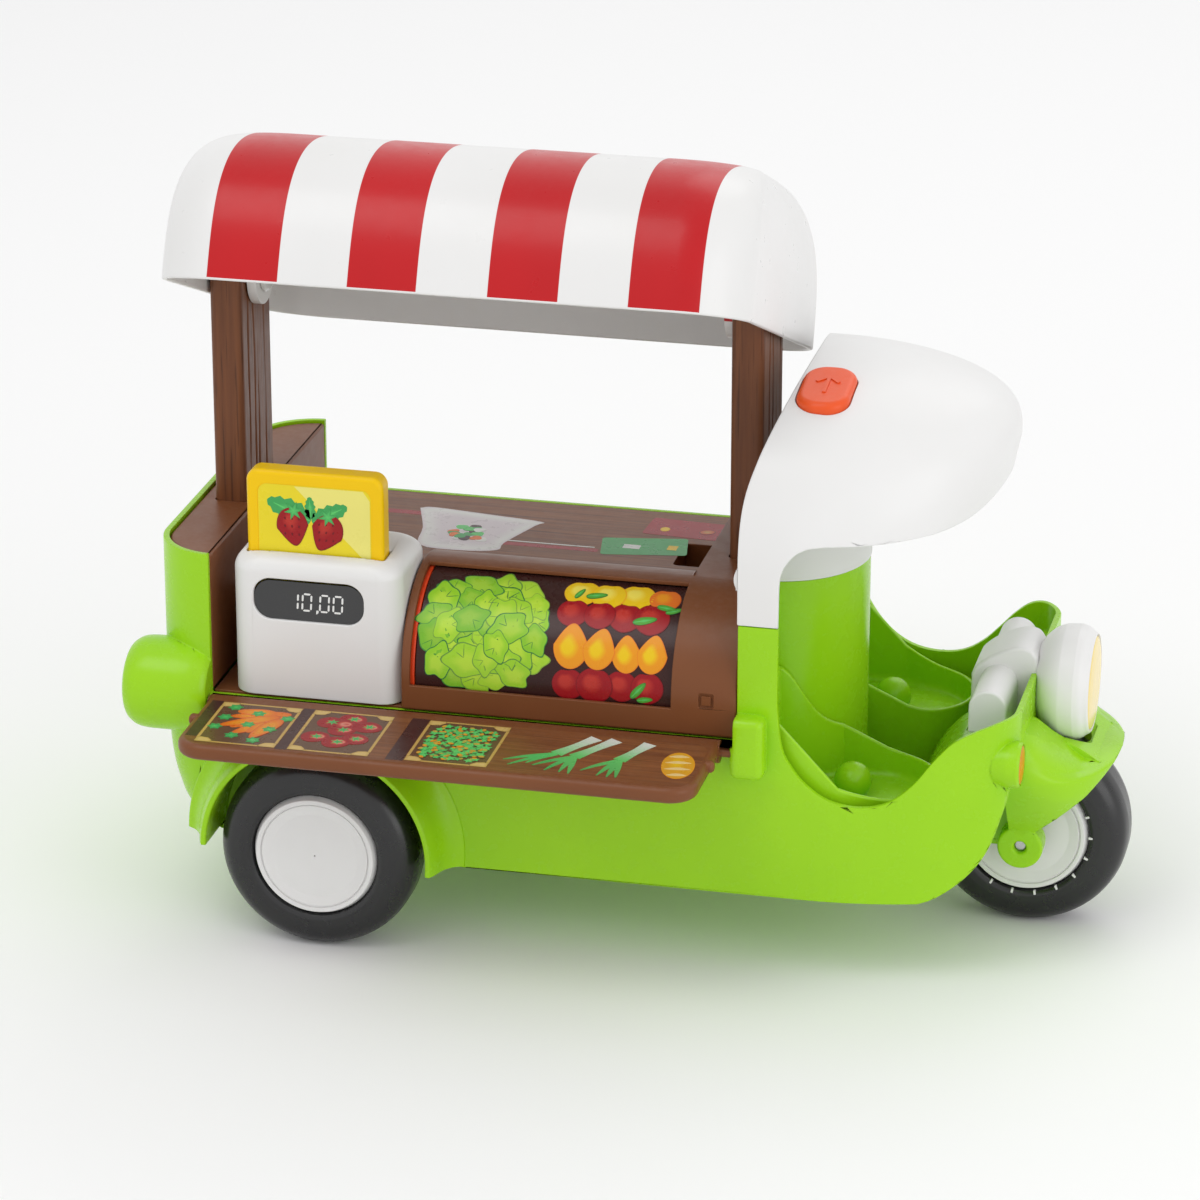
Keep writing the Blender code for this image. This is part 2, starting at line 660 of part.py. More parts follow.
def base_plate():
    """Floor of the tub with axle blocks, wheel notches and the latch's ledge."""
    clear = BODY_WALL + GAP
    rear = BODY_REAR_X + 25.0 * MM
    outline = tub_outline(rear, 140.2 * MM, clear)
    plate = prism_z(outline, PLATE_Z, PLATE_TOP_Z)
    inner = REAR_WHEEL_OUTER_Y - TYRE_WIDTH - 4.0 * MM
    for side in (-1, 1):
        limits = sorted((side * (inner - ROOM), side * (BODY_HALF_WIDTH + 5 * MM)))
        reach = ARCH_RADIUS + 14.5 * MM
        cut(plate, box((REAR_AXLE_X - reach - 5 * MM, REAR_AXLE_X + reach), limits, (PLATE_Z - MM, PLATE_TOP_Z + MM)))
        block = sorted((side * 50.0 * MM, side * 58.0 * MM))
        fuse(plate, box((REAR_AXLE_X - 7 * MM, REAR_AXLE_X + 7 * MM), block,
                        (PLATE_Z + 0.5 * MM, TYRE_RADIUS + AXLE_RADIUS + 3.5 * MM)))
    notch = WELL_RADIUS + WELL_WALL + ROOM
    half = WELL_HALF_WIDTH + WELL_WALL + 1.5 * MM
    cut(plate, box((FRONT_AXLE_X - notch, FRONT_AXLE_X), (-half, half), (PLATE_Z - MM, PLATE_TOP_Z + MM)))
    cut(plate, rod("Y", (REAR_AXLE_X, TYRE_RADIUS), -70 * MM, 70 * MM, AXLE_RADIUS + GAP, 16))
    fuse(plate, box((BULKHEAD_X + CAB_WALL + 1.0 * MM, ROD_X + 3.0 * MM), (ROD_Y - 3.0 * MM, 8.0 * MM),
                    (PLATE_Z + 0.5 * MM, LATCH_Z[0] - GAP)))
    fuse(plate, rod("Z", (FRONT_COLUMN_X, 0.0), PLATE_Z + 0.5 * MM, FRONT_SPRING_SEAT_Z, SPRING_BORE + MM, 14))
    web = BODY_REAR_X + 28.2 * MM
    fuse(plate, box((web, web + 2.4 * MM), (-7 * MM, 7 * MM), (PLATE_Z + 0.5 * MM, REAR_SPRING_SEAT_Z)))
    fuse(plate, box((REAR_COLUMN_X - 2.9 * MM, web + MM), (-6.5 * MM, 6.5 * MM),
                    (REAR_SPRING_SEAT_Z - 2.0 * MM, REAR_SPRING_SEAT_Z - 0.01 * MM)))
    return plate


SCREW_SPOTS = ((-24.0, -66.0), (-24.0, 66.0), (112.0, -58.0), (112.0, 58.0))


def base_screw(spot):
    """One screw head seated under the base plate."""
    low = PLATE_Z - GAP - 1.2 * MM
    high = PLATE_Z - GAP
    profile = [(low, 0.0), (low, SCREW_HEAD_RADIUS * 0.7), (low + 0.5 * MM, SCREW_HEAD_RADIUS),
               (high, SCREW_HEAD_RADIUS), (high, 0.0)]
    return turned("Z", (spot[0] * MM, spot[1] * MM), profile, 12)


# Stall mouldings

def column_slot(x, low, high):
    """Clearance for a column through a moulding."""
    half_x = COLUMN_LENGTH_X / 2 + GAP
    half_y = COLUMN_WIDTH / 2 + GAP
    return box((x - half_x, x + half_x), (-half_y, half_y), (low, high))


def column_sleeve(x, low, high):
    """Guide tube round a column, still to be bored."""
    half_x = COLUMN_LENGTH_X / 2 + GAP + 1.8 * MM
    half_y = COLUMN_WIDTH / 2 + GAP + 1.8 * MM
    return box((x - half_x, x + half_x), (-half_y, half_y), (low, high))


def rear_deck():
    """Raised brown deck at the back, hollow below, with the rear column's guide."""
    clear = BODY_WALL + GAP
    front = STALL_REAR_X
    outline = [(x, y) for x, y in tub_outline(BODY_REAR_X, TUB_FRONT_X, clear)]
    low = SILL_Z + 0.5 * MM
    block = prism_z(outline, low, DECK_Z)
    cut(block, box((front, TUB_FRONT_X + 20 * MM), (-0.2, 0.2), (low - 5 * MM, DECK_Z + 5 * MM)))
    inner = [(x, y) for x, y in tub_outline(BODY_REAR_X, TUB_FRONT_X, clear + SHEET)]
    hollow = prism_z(inner, low - 5 * MM, DECK_Z - SHEET)
    cut(hollow, box((front - SHEET, TUB_FRONT_X + 20 * MM), (-0.2, 0.2), (low - 9 * MM, DECK_Z + 9 * MM)))
    cut(block, hollow)
    fuse(block, column_sleeve(REAR_COLUMN_X, COLUMN_BOTTOM_Z, DECK_Z - 0.8 * MM))
    cut(block, column_slot(REAR_COLUMN_X, COLUMN_BOTTOM_Z - 9 * MM, DECK_Z + 9 * MM))
    return block


def counter_moulding():
    """Counter board with the till's shelf and the sunk card pocket."""
    edge = BODY_HALF_WIDTH - BODY_WALL - GAP
    left = STALL_REAR_X + GAP
    right = BLOCK_X - GAP
    under = COUNTER_Z - SHEET
    shelf_z = SILL_Z + 0.7 * MM
    step = TILL_Y[1] + GAP
    till_end = FRAME_X - GAP
    near = DRUM_Y + BODY_HALF_WIDTH + DRUM_Y + GAP
    outline = [(left, step), (till_end, step), (till_end, near), (right, near), (right, edge), (left, edge)]
    board = prism_z(outline, under, COUNTER_Z)
    fuse(board, box((left, till_end), (step, step + SHEET), (shelf_z - SHEET, COUNTER_Z - 0.5 * MM)))
    fuse(board, box((left, till_end), (-edge, step + SHEET), (shelf_z - SHEET - 0.01 * MM, shelf_z)))
    floor = COUNTER_Z - POCKET_DEPTH
    wall = 1.6 * MM
    fuse(board, box((POCKET_X[0] - wall, POCKET_X[1] + wall), (POCKET_Y[0] - wall, POCKET_Y[1] + wall),
                    (floor - wall, COUNTER_Z - 0.5 * MM)))
    cut(board, box(POCKET_X, POCKET_Y, (floor, COUNTER_Z + 5 * MM)))
    for y in (edge - 9 * MM, 4 * MM):
        fuse(board, box((left + 2 * MM, right - 2 * MM), (y, y + 1.6 * MM), (under - 6 * MM, under + 0.5 * MM)))
    return board


def frame_section(grow, low_z):
    """Arched section in Y and Z of the display frame, concentric with the drum."""
    outer = BODY_HALF_WIDTH + DRUM_Y + grow
    curve = arc((DRUM_Y, DRUM_Z), outer, 180, 0, 20)
    return [(DRUM_Y - outer, low_z)] + curve + [(DRUM_Y + outer, low_z)]


def block_section(grow, low_z, far_y, far_corner):
    """Section in Y and Z of the cross block: the drum's arch at the near end, flat on top."""
    outer = BODY_HALF_WIDTH + DRUM_Y + grow
    curve = arc((DRUM_Y, DRUM_Z), outer, 180, 90, 10)
    top = DRUM_Z + outer
    far = arc((far_y - far_corner + grow, top - far_corner), far_corner, 90, 0, 4)
    return [(DRUM_Y - outer, low_z)] + curve + far + [(far_y + grow, low_z)]


def drum_room_end():
    """Front end of the drum's room, a little inside the cross block."""
    return BLOCK_X + 2.8 * MM


def display_frame():
    """Brown frame round the drum's window, with the cross block that guides the front column."""
    low = SILL_Z + 0.5 * MM
    far = BODY_HALF_WIDTH - BODY_WALL - GAP
    cross_front = STALL_FRONT_X - SHEET
    frame = prism_x(frame_section(0.0, low), FRAME_X, BLOCK_X + 2 * MM)
    fuse(frame, prism_x(block_section(0.0, low, far, 12.0 * MM), BLOCK_X, STALL_FRONT_X))
    cut(frame, prism_x(frame_section(-FRAME_SKIN, low - 9 * MM), FRAME_X + SHEET, drum_room_end()))
    cut(frame, prism_x(block_section(-SHEET, low - 9 * MM, far, 10.0 * MM), drum_room_end() + SHEET, cross_front))
    window = arc((DRUM_Y, DRUM_Z), 60 * MM, WINDOW_ANGLES[0], WINDOW_ANGLES[1], 8)
    window.append((DRUM_Y, DRUM_Z))
    cut(frame, prism_x(window, WINDOW_X[0], WINDOW_X[1]))
    fuse(frame, column_sleeve(FRONT_COLUMN_X, COLUMN_BOTTOM_Z - 4 * MM, DRUM_Z + BODY_HALF_WIDTH + DRUM_Y - 0.8 * MM))
    cut(frame, column_slot(FRONT_COLUMN_X, COLUMN_BOTTOM_Z - 20 * MM, DECK_Z + 9 * MM))
    catch_x = (FRAME_X + STALL_FRONT_X) / 2 + 54.5 * MM
    half = 2.9 * MM
    cut(frame, box((catch_x - half, catch_x + half), (-BODY_HALF_WIDTH - 5 * MM, -BODY_HALF_WIDTH + 1.2 * MM),
                   (CATCH_Z - half, CATCH_Z + half)))
    cut(frame, rod("X", (DRUM_Y, DRUM_Z), FRAME_X - 5 * MM, BLOCK_X + 12 * MM, DRUM_AXLE_RADIUS + GAP, 14))
    return frame


def catch_peg():
    """Small square peg in the tray's catch recess."""
    catch_x = (FRAME_X + STALL_FRONT_X) / 2 + 54.5 * MM
    half = 1.9 * MM
    face = -BODY_HALF_WIDTH
    return box((catch_x - half, catch_x + half), (face + 0.3 * MM, face + 1.2 * MM - GAP), (CATCH_Z - half, CATCH_Z + half))


# Till and card

def till_housing():
    """White till, open below, with a window and a slot for its card."""
    middle_x = (TILL_X[0] + TILL_X[1]) / 2
    middle_y = (TILL_Y[0] + TILL_Y[1]) / 2
    half_x = (TILL_X[1] - TILL_X[0]) / 2
    half_y = (TILL_Y[1] - TILL_Y[0]) / 2
    low = SILL_Z + 1.2 * MM
    edge = 7.0 * MM

    def ring(shrink, z):
        outline = rounded_rectangle(half_x - shrink, half_y - shrink, TILL_CORNER, 4, (middle_x, middle_y))
        return at_height(outline, z)

    def dome(shrink, top):
        rings = []
        for step in range(4):
            angle = math.radians(90.0 * step / 3)
            rings.append(ring(shrink + edge * (1.0 - math.cos(angle)), top - edge + edge * math.sin(angle)))
        return rings

    till = loft([ring(0.0, low)] + dome(0.0, TILL_TOP_Z))
    cut(till, loft([ring(SHEET, low - 5 * MM)] + dome(SHEET, TILL_TOP_Z - SHEET)))
    width, height = TILL_WINDOW
    window = rounded_rectangle(width / 2, height / 2, height * 0.42, 4, (TILL_WINDOW_X, TILL_WINDOW_Z))
    cut(till, prism_y(window, TILL_Y[0] - 5 * MM, CARD_NEAR_Y + 5 * MM))
    slot = GAP + 0.2 * MM
    cut(till, box((CARD_X - CARD_WIDTH / 2 - slot, CARD_X + CARD_WIDTH / 2 + slot),
                  (CARD_NEAR_Y - slot, CARD_NEAR_Y + CARD_THICKNESS + slot), (TILL_TOP_Z - 20 * MM, TILL_TOP_Z + 5 * MM)))
    shelf_z = CARD_BOTTOM_Z - GAP
    fuse(till, box((CARD_X - 12 * MM, CARD_X + 12 * MM), (TILL_Y[0] + 0.8 * MM, CARD_NEAR_Y + CARD_THICKNESS + MM),
                   (shelf_z - SHEET, shelf_z)))
    return till


def price_card():
    """Yellow card that stands in the till's slot."""
    outline = rounded_rectangle(CARD_WIDTH / 2, (CARD_TOP_Z - CARD_BOTTOM_Z) / 2, 5.0 * MM, 3,
                                (CARD_X, (CARD_TOP_Z + CARD_BOTTOM_Z) / 2))
    card = prism_y(outline, CARD_NEAR_Y, CARD_NEAR_Y + CARD_THICKNESS)
    bm = bmesh.new()
    bm.from_mesh(card.data)
    rim = [e for e in bm.edges if abs(e.verts[0].co.y - e.verts[1].co.y) < 1e-7]
    bmesh.ops.bevel(bm, geom=rim, offset=1.4 * MM, segments=2, profile=0.5, affect="EDGES")
    bpy.data.objects.remove(card, do_unlink=True)
    return solid(bm)


# Display drum

def drum_span():
    """Ends of the drum inside the frame."""
    return FRAME_X + SHEET + ROOM, drum_room_end() - ROOM


def drum_shell():
    """Tube that carries the printed goods."""
    low, high = drum_span()
    low += DRUM_RIM + GAP
    high -= DRUM_RIM + GAP
    section = [(low, DRUM_RADIUS), (high, DRUM_RADIUS), (high, DRUM_RADIUS - DRUM_WALL), (low, DRUM_RADIUS - DRUM_WALL)]
    return turned_ring("X", (DRUM_Y, DRUM_Z), section, steps=28)


def drum_end(rear):
    """Orange end disc with its hub and a plug that fits the tube."""
    low, high = drum_span()
    face = low if rear else high
    inward = 1.0 if rear else -1.0
    bore = DRUM_AXLE_RADIUS + GAP
    plug = DRUM_RADIUS - DRUM_WALL - GAP
    section = [(face, bore), (face, DRUM_RADIUS + 0.1 * MM), (face + inward * DRUM_RIM, DRUM_RADIUS + 0.1 * MM),
               (face + inward * DRUM_RIM, plug), (face + inward * 6.0 * MM, plug),
               (face + inward * 6.0 * MM, plug - 1.8 * MM), (face + inward * DRUM_RIM, plug - 1.8 * MM),
               (face + inward * DRUM_RIM, bore + 2.4 * MM), (face + inward * 9.0 * MM, bore + 2.4 * MM),
               (face + inward * 9.0 * MM, bore)]
    return turned_ring("X", (DRUM_Y, DRUM_Z), section, steps=28)


def drum_axle():
    """Steel rod that the drum turns on, held in the frame's ends."""
    return rod("X", (DRUM_Y, DRUM_Z), FRAME_X + 0.4 * MM, drum_room_end() + SHEET + MM, DRUM_AXLE_RADIUS, 14)


# Tray

def tray():
    """Fold-up shelf: rounded plate, hinge barrel, end pins and snap nubs."""
    top = TRAY_HINGE_Z + TRAY_BARREL_RADIUS
    low = top - TRAY_THICKNESS
    near = TRAY_HINGE_Y - TRAY_DEPTH
    middle = (TRAY_X[0] + TRAY_X[1]) / 2
    half = (TRAY_X[1] - TRAY_X[0]) / 2
    outline = [(TRAY_X[1], TRAY_HINGE_Y), (TRAY_X[0], TRAY_HINGE_Y)]
    outline += arc((TRAY_X[0] + TRAY_CORNER, near + TRAY_CORNER), TRAY_CORNER, 180, 270, 5)
    outline += arc((TRAY_X[1] - TRAY_CORNER, near + TRAY_CORNER), TRAY_CORNER, 270, 360, 5)
    plate = prism_z(outline, low, top)
    bm = bmesh.new()
    bm.from_mesh(plate.data)
    rim = [e for e in bm.edges if abs(e.verts[0].co.z - e.verts[1].co.z) < 1e-7
           and min(e.verts[0].co.y, e.verts[1].co.y) < TRAY_HINGE_Y - MM]
    bmesh.ops.bevel(bm, geom=rim, offset=2.2 * MM, segments=2, profile=0.5, affect="EDGES")
    bpy.data.objects.remove(plate, do_unlink=True)
    board = solid(bm)
    fuse(board, rod("X", (TRAY_HINGE_Y, TRAY_HINGE_Z), TRAY_X[0] + 0.01 * MM, TRAY_X[1] - 0.01 * MM,
                    TRAY_BARREL_RADIUS, 20))
    front_end = POST_X[0] - 1.4 * MM + TRAY_PIN_LENGTH
    fuse(board, rod("X", (TRAY_HINGE_Y, TRAY_HINGE_Z), TRAY_X[0] - TRAY_PIN_LENGTH, TRAY_X[0] + 2 * MM, TRAY_PIN_RADIUS, 14))
    fuse(board, rod("X", (TRAY_HINGE_Y, TRAY_HINGE_Z), TRAY_X[1] - 2 * MM, front_end, TRAY_PIN_RADIUS, 14))
    snap_y = TRAY_HINGE_Y - SNAP_FROM_HINGE
    for side in (-1, 1):
        end = middle + side * half
        tip = end + side * SNAP_REACH
        profile = [(end - side * 2.0 * MM, 0.0), (end - side * 2.0 * MM, 2.4 * MM), (tip - side * MM, 2.4 * MM),
                   (tip, 1.4 * MM), (tip, 0.0)]
        fuse(board, turned("X", (snap_y, top - 2.0 * MM), profile, 12))
    return board


# Canopy and columns

def canopy_ring(share, wall):
    """One level of the loaf-shaped canopy, share 0 at its rim and 1 at its crown."""
    end = (1.0 - (1.0 - share ** CANOPY_END_POWER) ** (1.0 / CANOPY_END_POWER)) * CANOPY_END_CURVE
    spread = (1.0 - share ** CANOPY_ARCH_POWER) ** (1.0 / CANOPY_ARCH_POWER)
    middle = (CANOPY_X[0] + CANOPY_X[1]) / 2
    half_x = (CANOPY_X[1] - CANOPY_X[0]) / 2 - wall - end
    half_y = (CANOPY_HALF_WIDTH - wall) * spread
    z = CANOPY_PIVOT_Z - CANOPY_RIM_DROP + (CANOPY_HEIGHT - wall) * share
    return at_height(rounded_rectangle(half_x, half_y, CANOPY_CORNER - wall, 5, (middle, 0.0)), z)


CANOPY_LEVELS = (0.0, 0.2, 0.4, 0.58, 0.72, 0.83, 0.91, 0.96, 0.99, 0.9995)


def canopy_shell():
    """White loaf-shaped shell with the two hanging ears, modelled level and then tilted."""
    outer = [canopy_ring(share, 0.0) for share in reversed(CANOPY_LEVELS)]
    inner = [canopy_ring(share, CANOPY_WALL) for share in CANOPY_LEVELS]
    shell = loft(outer + inner)
    crown = CANOPY_PIVOT_Z - CANOPY_RIM_DROP + CANOPY_HEIGHT - CANOPY_WALL * 0.5
    for x in ear_places():
        ear = arc((0.0, CANOPY_PIVOT_Z), EAR_RADIUS, 180, 360, 10)
        ear = [(y, z) for y, z in ear] + [(EAR_RADIUS, crown), (-EAR_RADIUS, crown)]
        fuse(shell, prism_x(ear, x - EAR_THICKNESS / 2, x + EAR_THICKNESS / 2))
        cut(shell, rod("X", (0.0, CANOPY_PIVOT_Z), x - 9 * MM, x + 9 * MM, PIVOT_RADIUS + GAP, 16))
    return shell


def ear_places():
    """Where the canopy's ears hang, just inside the two columns."""
    beside = COLUMN_LENGTH_X / 2 + ROOM + EAR_THICKNESS / 2
    return REAR_COLUMN_X + beside, FRONT_COLUMN_X - beside


def tilt(item):
    """Tip a canopy piece about its pivot axis, near side up."""
    turn = Matrix.Rotation(math.radians(-CANOPY_TILT), 4, "X")
    pivot = Vector((0.0, 0.0, CANOPY_PIVOT_Z))
    item.data.transform(Matrix.Translation(pivot) @ turn @ Matrix.Translation(-pivot))
    return item


def column(x, rearmost):
    """Flat brown post with a round head and grooves like weathered board."""
    half_y = COLUMN_WIDTH / 2
    half_x = COLUMN_LENGTH_X / 2
    head = arc((0.0, CANOPY_PIVOT_Z), half_y, 0, 180, 10)
    outline = [(-half_y, COLUMN_BOTTOM_Z), (half_y, COLUMN_BOTTOM_Z)] + head
    post = prism_x(outline, x - half_x, x + half_x)
    bm = bmesh.new()
    bm.from_mesh(post.data)
    rim = [e for e in bm.edges if abs(e.verts[0].co.x - e.verts[1].co.x) < 1e-7
           and max(e.verts[0].co.z, e.verts[1].co.z) > COLUMN_BOTTOM_Z + MM]
    bmesh.ops.bevel(bm, geom=rim, offset=1.0 * MM, segments=1, profile=0.5, affect="EDGES")
    bpy.data.objects.remove(post, do_unlink=True)
    post = solid(bm)
    if rearmost:
        foot = [(x - half_x - MM, COLUMN_BOTTOM_Z - MM), (x - half_x + 2.0 * MM, COLUMN_BOTTOM_Z - MM),
                (x - half_x - MM, COLUMN_BOTTOM_Z + 9.0 * MM)]
        cut(post, prism_y(foot, -half_y - MM, half_y + MM))
    cut(post, rod("X", (0.0, CANOPY_PIVOT_Z), x - 20 * MM, x + 20 * MM, PIVOT_RADIUS + GAP, 16))
    cut(post, rod("Z", (x, 0.0), COLUMN_BOTTOM_Z - MM, COLUMN_BOTTOM_Z + SPRING_BORE_DEPTH, SPRING_BORE, 14))
    return post


def pivot_pin(column_x, ear_x):
    """Translucent pin with a broad head on the ear's side."""
    toward = 1.0 if ear_x > column_x else -1.0
    start = column_x - toward * (COLUMN_LENGTH_X / 2 - 0.6 * MM)
    head = ear_x + toward * (EAR_THICKNESS / 2 + GAP)
    profile = [(start, 0.0), (start, PIVOT_RADIUS), (head, PIVOT_RADIUS), (head, EAR_RADIUS * 0.62),
               (head + toward * 1.6 * MM, EAR_RADIUS * 0.55), (head + toward * 1.6 * MM, 0.0)]
    return turned("X", (0.0, CANOPY_PIVOT_Z), profile, 18)


def lift_spring(x, foot_z):
    """Compression spring under a column, drawn with the canopy raised."""
    top = COLUMN_BOTTOM_Z + SPRING_BORE_DEPTH - GAP
    return coil((x, 0.0), foot_z + GAP, top, SPRING_RADIUS, SPRING_WIRE, 9, 7, 3)


# Cab

def cab_bulkhead():
    """Wall behind the seats with the half-round column."""
    half = BODY_HALF_WIDTH - BODY_WALL - GAP
    front = BULKHEAD_X + CAB_WALL
    inner = CAB_COLUMN_RADIUS - CAB_WALL
    turn_in = math.degrees(math.acos((BULKHEAD_X - CAB_COLUMN_X) / inner))
    turn_out = math.degrees(math.acos((front - CAB_COLUMN_X) / CAB_COLUMN_RADIUS))
    outline = [(BULKHEAD_X, -half)]
    outline += [(front, -half)] + arc((CAB_COLUMN_X, 0.0), CAB_COLUMN_RADIUS, -turn_out, turn_out, 18)
    outline += [(front, half), (BULKHEAD_X, half)]
    outline += arc((CAB_COLUMN_X, 0.0), inner, turn_in, -turn_in, 18)
    return prism_z(outline, PLATE_TOP_Z + GAP, BULKHEAD_TOP_Z)


def seat_outline():
    """Plan of the far seat: a rounded bucket cut back round the column."""
    clear = CAB_COLUMN_RADIUS + 1.2 * MM
    rear = BULKHEAD_X + CAB_WALL + ROOM + 3.0 * MM
    inner = 21.5 * MM
    outer = BODY_HALF_WIDTH - BODY_WALL - 3.0 * MM
    nose = 146.0 * MM
    start = math.degrees(math.asin(inner / clear))
    stop = math.degrees(math.acos((rear - CAB_COLUMN_X) / clear))
    points = arc((CAB_COLUMN_X, 0.0), clear, stop, start, 6)
    points += arc((nose - 24 * MM, inner + 24 * MM), 24 * MM, 270, 360, 5)
    points += arc((nose - 26 * MM, outer - 31 * MM), 26 * MM, 0, 75, 4)
    points.append((112.0 * MM, outer))
    points += arc((rear + 6 * MM, outer - 6 * MM), 6 * MM, 90, 180, 3)
    return points


def seat_rim(x, y):
    """Height of a seat's rim: high at the back, sweeping down to the front."""
    start = 82.0 * MM
    length = 32.0 * MM
    share = min(1.0, max(0.0, (x - start) / length))
    ease = share * share * (3.0 - 2.0 * share)
    return SEAT_BACK_Z + (SEAT_FRONT_Z - SEAT_BACK_Z) * ease


def seat():
    """Far seat: bucket with a ball stud, on walls that stand on the base plate."""
    outline = seat_outline()
    foot = PLATE_TOP_Z + GAP
    under = SEAT_FLOOR_Z - SEAT_WALL
    bend = 122.0 * MM
    narrow = [(x if x < bend else bend + (x - bend) * 0.66, y) for x, y in outline]
    rings = [at_height(inset(outline, SEAT_WALL), under), at_height(inset(narrow, SEAT_WALL), foot),
             at_height(narrow, foot), at_height(outline, SEAT_FLOOR_Z), at_height(outline, seat_rim),
             at_height(inset(outline, SEAT_WALL * 0.9), seat_rim),
             at_height(inset(outline, SEAT_WALL * 1.2), SEAT_FLOOR_Z + 5.0 * MM),
             at_height(inset(outline, SEAT_WALL + 2.6 * MM), SEAT_FLOOR_Z)]
    bucket = loft(rings)
    r = STUD_RADIUS
    profile = [(SEAT_FLOOR_Z - MM, 0.0), (SEAT_FLOOR_Z - MM, r * 0.72), (SEAT_FLOOR_Z + 1.4 * MM, r * 0.72)]
    for step in range(5):
        angle = math.radians(-40.0 + 130.0 * step / 4)
        profile.append((SEAT_FLOOR_Z + r + r * math.sin(angle), r * math.cos(angle) if step < 4 else 0.0))
    return fuse(bucket, turned("Z", (STUD_X, STUD_Y), profile, 16))


# Roof over the cab

def roof_block(wall):
    """Helmet-shaped solid of the roof, or its hollow when a wall is given."""
    half = ROOF_HALF_WIDTH - wall
    length = ROOF_LENGTH - wall
    top = ROOF_TOP_Z - wall
    rear_x = ROOF_REAR_X - 6 * MM - 4 * wall
    stations = [(rear_x, -half, 0.0, rear_x)]
    for i in range(17):
        angle = math.radians(-90.0 + 180.0 * i / 16)
        x = ROOF_CENTRE_X + length * math.cos(angle)
        stations.append((x, half * math.sin(angle), math.cos(angle) ** 2, ROOF_CENTRE_X))
    stations.append((rear_x, half, 0.0, rear_x))
    levels = (0.0, 12.0, 26.0, 40.0, 53.0, 65.0, 76.0, 84.0)
    rings = []
    lips = (POST_TOP_Z - 3 * MM - wall * 4, ROOF_SHOULDER_Z)
    for lip in range(2):
        ring = []
        for x, y, forward, spine in stations:
            equator = ROOF_SHOULDER_Z + (ROOF_BROW_Z - ROOF_SHOULDER_Z) * forward
            z = lips[0] if lip == 0 else equator - 14.0 * MM * forward
            tuck = (0.12 if lip == 0 else 0.035) * forward
            ring.append((x + (spine - x) * tuck, y * (1.0 - tuck), z))
        rings.append(ring)
    for level in levels:
        angle = math.radians(level)
        shrink = math.cos(angle) ** (2.0 / ROOF_POWER)
        rise = math.sin(angle) ** (2.0 / ROOF_POWER)
        ring = []
        for x, y, forward, spine in stations:
            equator = ROOF_SHOULDER_Z + (ROOF_BROW_Z - ROOF_SHOULDER_Z) * forward
            ring.append((spine + (x - spine) * shrink, y * shrink, equator + (top - equator) * rise))
        rings.append(ring)
    return loft(rings)


LIP_EDGE = ((88.6, 140.0), (88.8, 150.0), (90.0, 160.0), (93.0, 168.0), (98.5, 174.0), (106.0, 177.5),
            (122.0, 178.6), (148.0, 179.6), (158.0, 182.0), (165.0, 187.0), (172.0, 194.0))
REAR_EDGE = ((72.8, 150.0), (72.8, 178.0), (74.0, 194.0), (77.0, 206.0), (80.6, 216.0), (84.0, 224.0), (87.2, 231.2), (89.0, 236.0))


def lip_cut():
    """Prism that trims the roof below its lip and shapes the two legs."""
    outline = [(x * MM, z * MM) for x, z in LIP_EDGE]
    outline += [(190 * MM, 200 * MM), (190 * MM, 120 * MM), (88.6 * MM, 120 * MM)]
    return prism_y(outline, -0.12, 0.12)


def rear_cut():
    """Prism that trims the roof behind its rear edge."""
    outline = [(x * MM, z * MM) for x, z in REAR_EDGE]
    outline += [(89 * MM, 250 * MM), (50 * MM, 250 * MM), (50 * MM, 110 * MM), (72.8 * MM, 110 * MM)]
    return prism_y(outline, -0.12, 0.12)


BACK_PATH = ((0.0, 120.0), (0.0, 193.0), (2.9, 206.0), (6.2, 217.0), (9.5, 228.0), (12.5, 240.0))


def back_panel():
    """Wall that closes the roof's back between the legs."""
    path = [(ROOF_BACK_PANEL_X + x * MM, z * MM) for x, z in BACK_PATH]
    front = [(x + ROOF_WALL, z) for x, z in reversed(path)]
    panel = prism_y(path + front, -0.12, 0.12)
    cut(panel, box((50 * MM, 120 * MM), (-0.13, 0.13), (100 * MM, BULKHEAD_TOP_Z + GAP + 2 * MM)))
    return keep_inside(panel, roof_block(ROOF_WALL * 0.5))


def behind_panel(ahead):
    """Prism of all that lies behind the back panel's rear face moved ahead by a distance."""
    path = [(ROOF_BACK_PANEL_X + x * MM + ahead, z * MM) for x, z in BACK_PATH]
    return prism_y(path + [(40 * MM, 240 * MM), (40 * MM, 120 * MM)], -0.13, 0.13)


def half_round(outer, low, high, back):
    """Upright half cylinder about the cab column's axis, flat at the back."""
    turn = math.degrees(math.acos((back - CAB_COLUMN_X) / outer))
    return prism_z(arc((CAB_COLUMN_X, 0.0), outer, -turn, turn, 18), low, high)


def roof_collar():
    """Half-round collar that stands on the cab column and carries the spring's shelf."""
    low = BULKHEAD_TOP_Z + GAP
    high = ROOF_TOP_Z - 2.5 * ROOF_WALL
    outer = CAB_COLUMN_RADIUS + 0.4 * MM
    inner = outer - CAB_WALL
    back = ROOF_BACK_PANEL_X + 0.4 * MM
    collar = cut(half_round(outer, low, high, back), behind_panel(0.7 * MM))
    for bottom, top in ((low - 5 * MM, SHELF_Z), (SHELF_Z + SHEET, high + 5 * MM)):
        hollow = cut(half_round(inner, bottom, top, back + MM), behind_panel(ROOF_WALL + 0.4 * MM))
        cut(collar, hollow)
    return keep_inside(collar, roof_block(ROOF_WALL * 0.5))


def button_outline(grow):
    """Plan of the roof button, grown by a clearance."""
    return rounded_rectangle(BUTTON_SIZE[0] / 2 + grow, BUTTON_SIZE[1] / 2 + grow, 9.0 * MM + grow, 5, (BUTTON_X, BUTTON_Y))


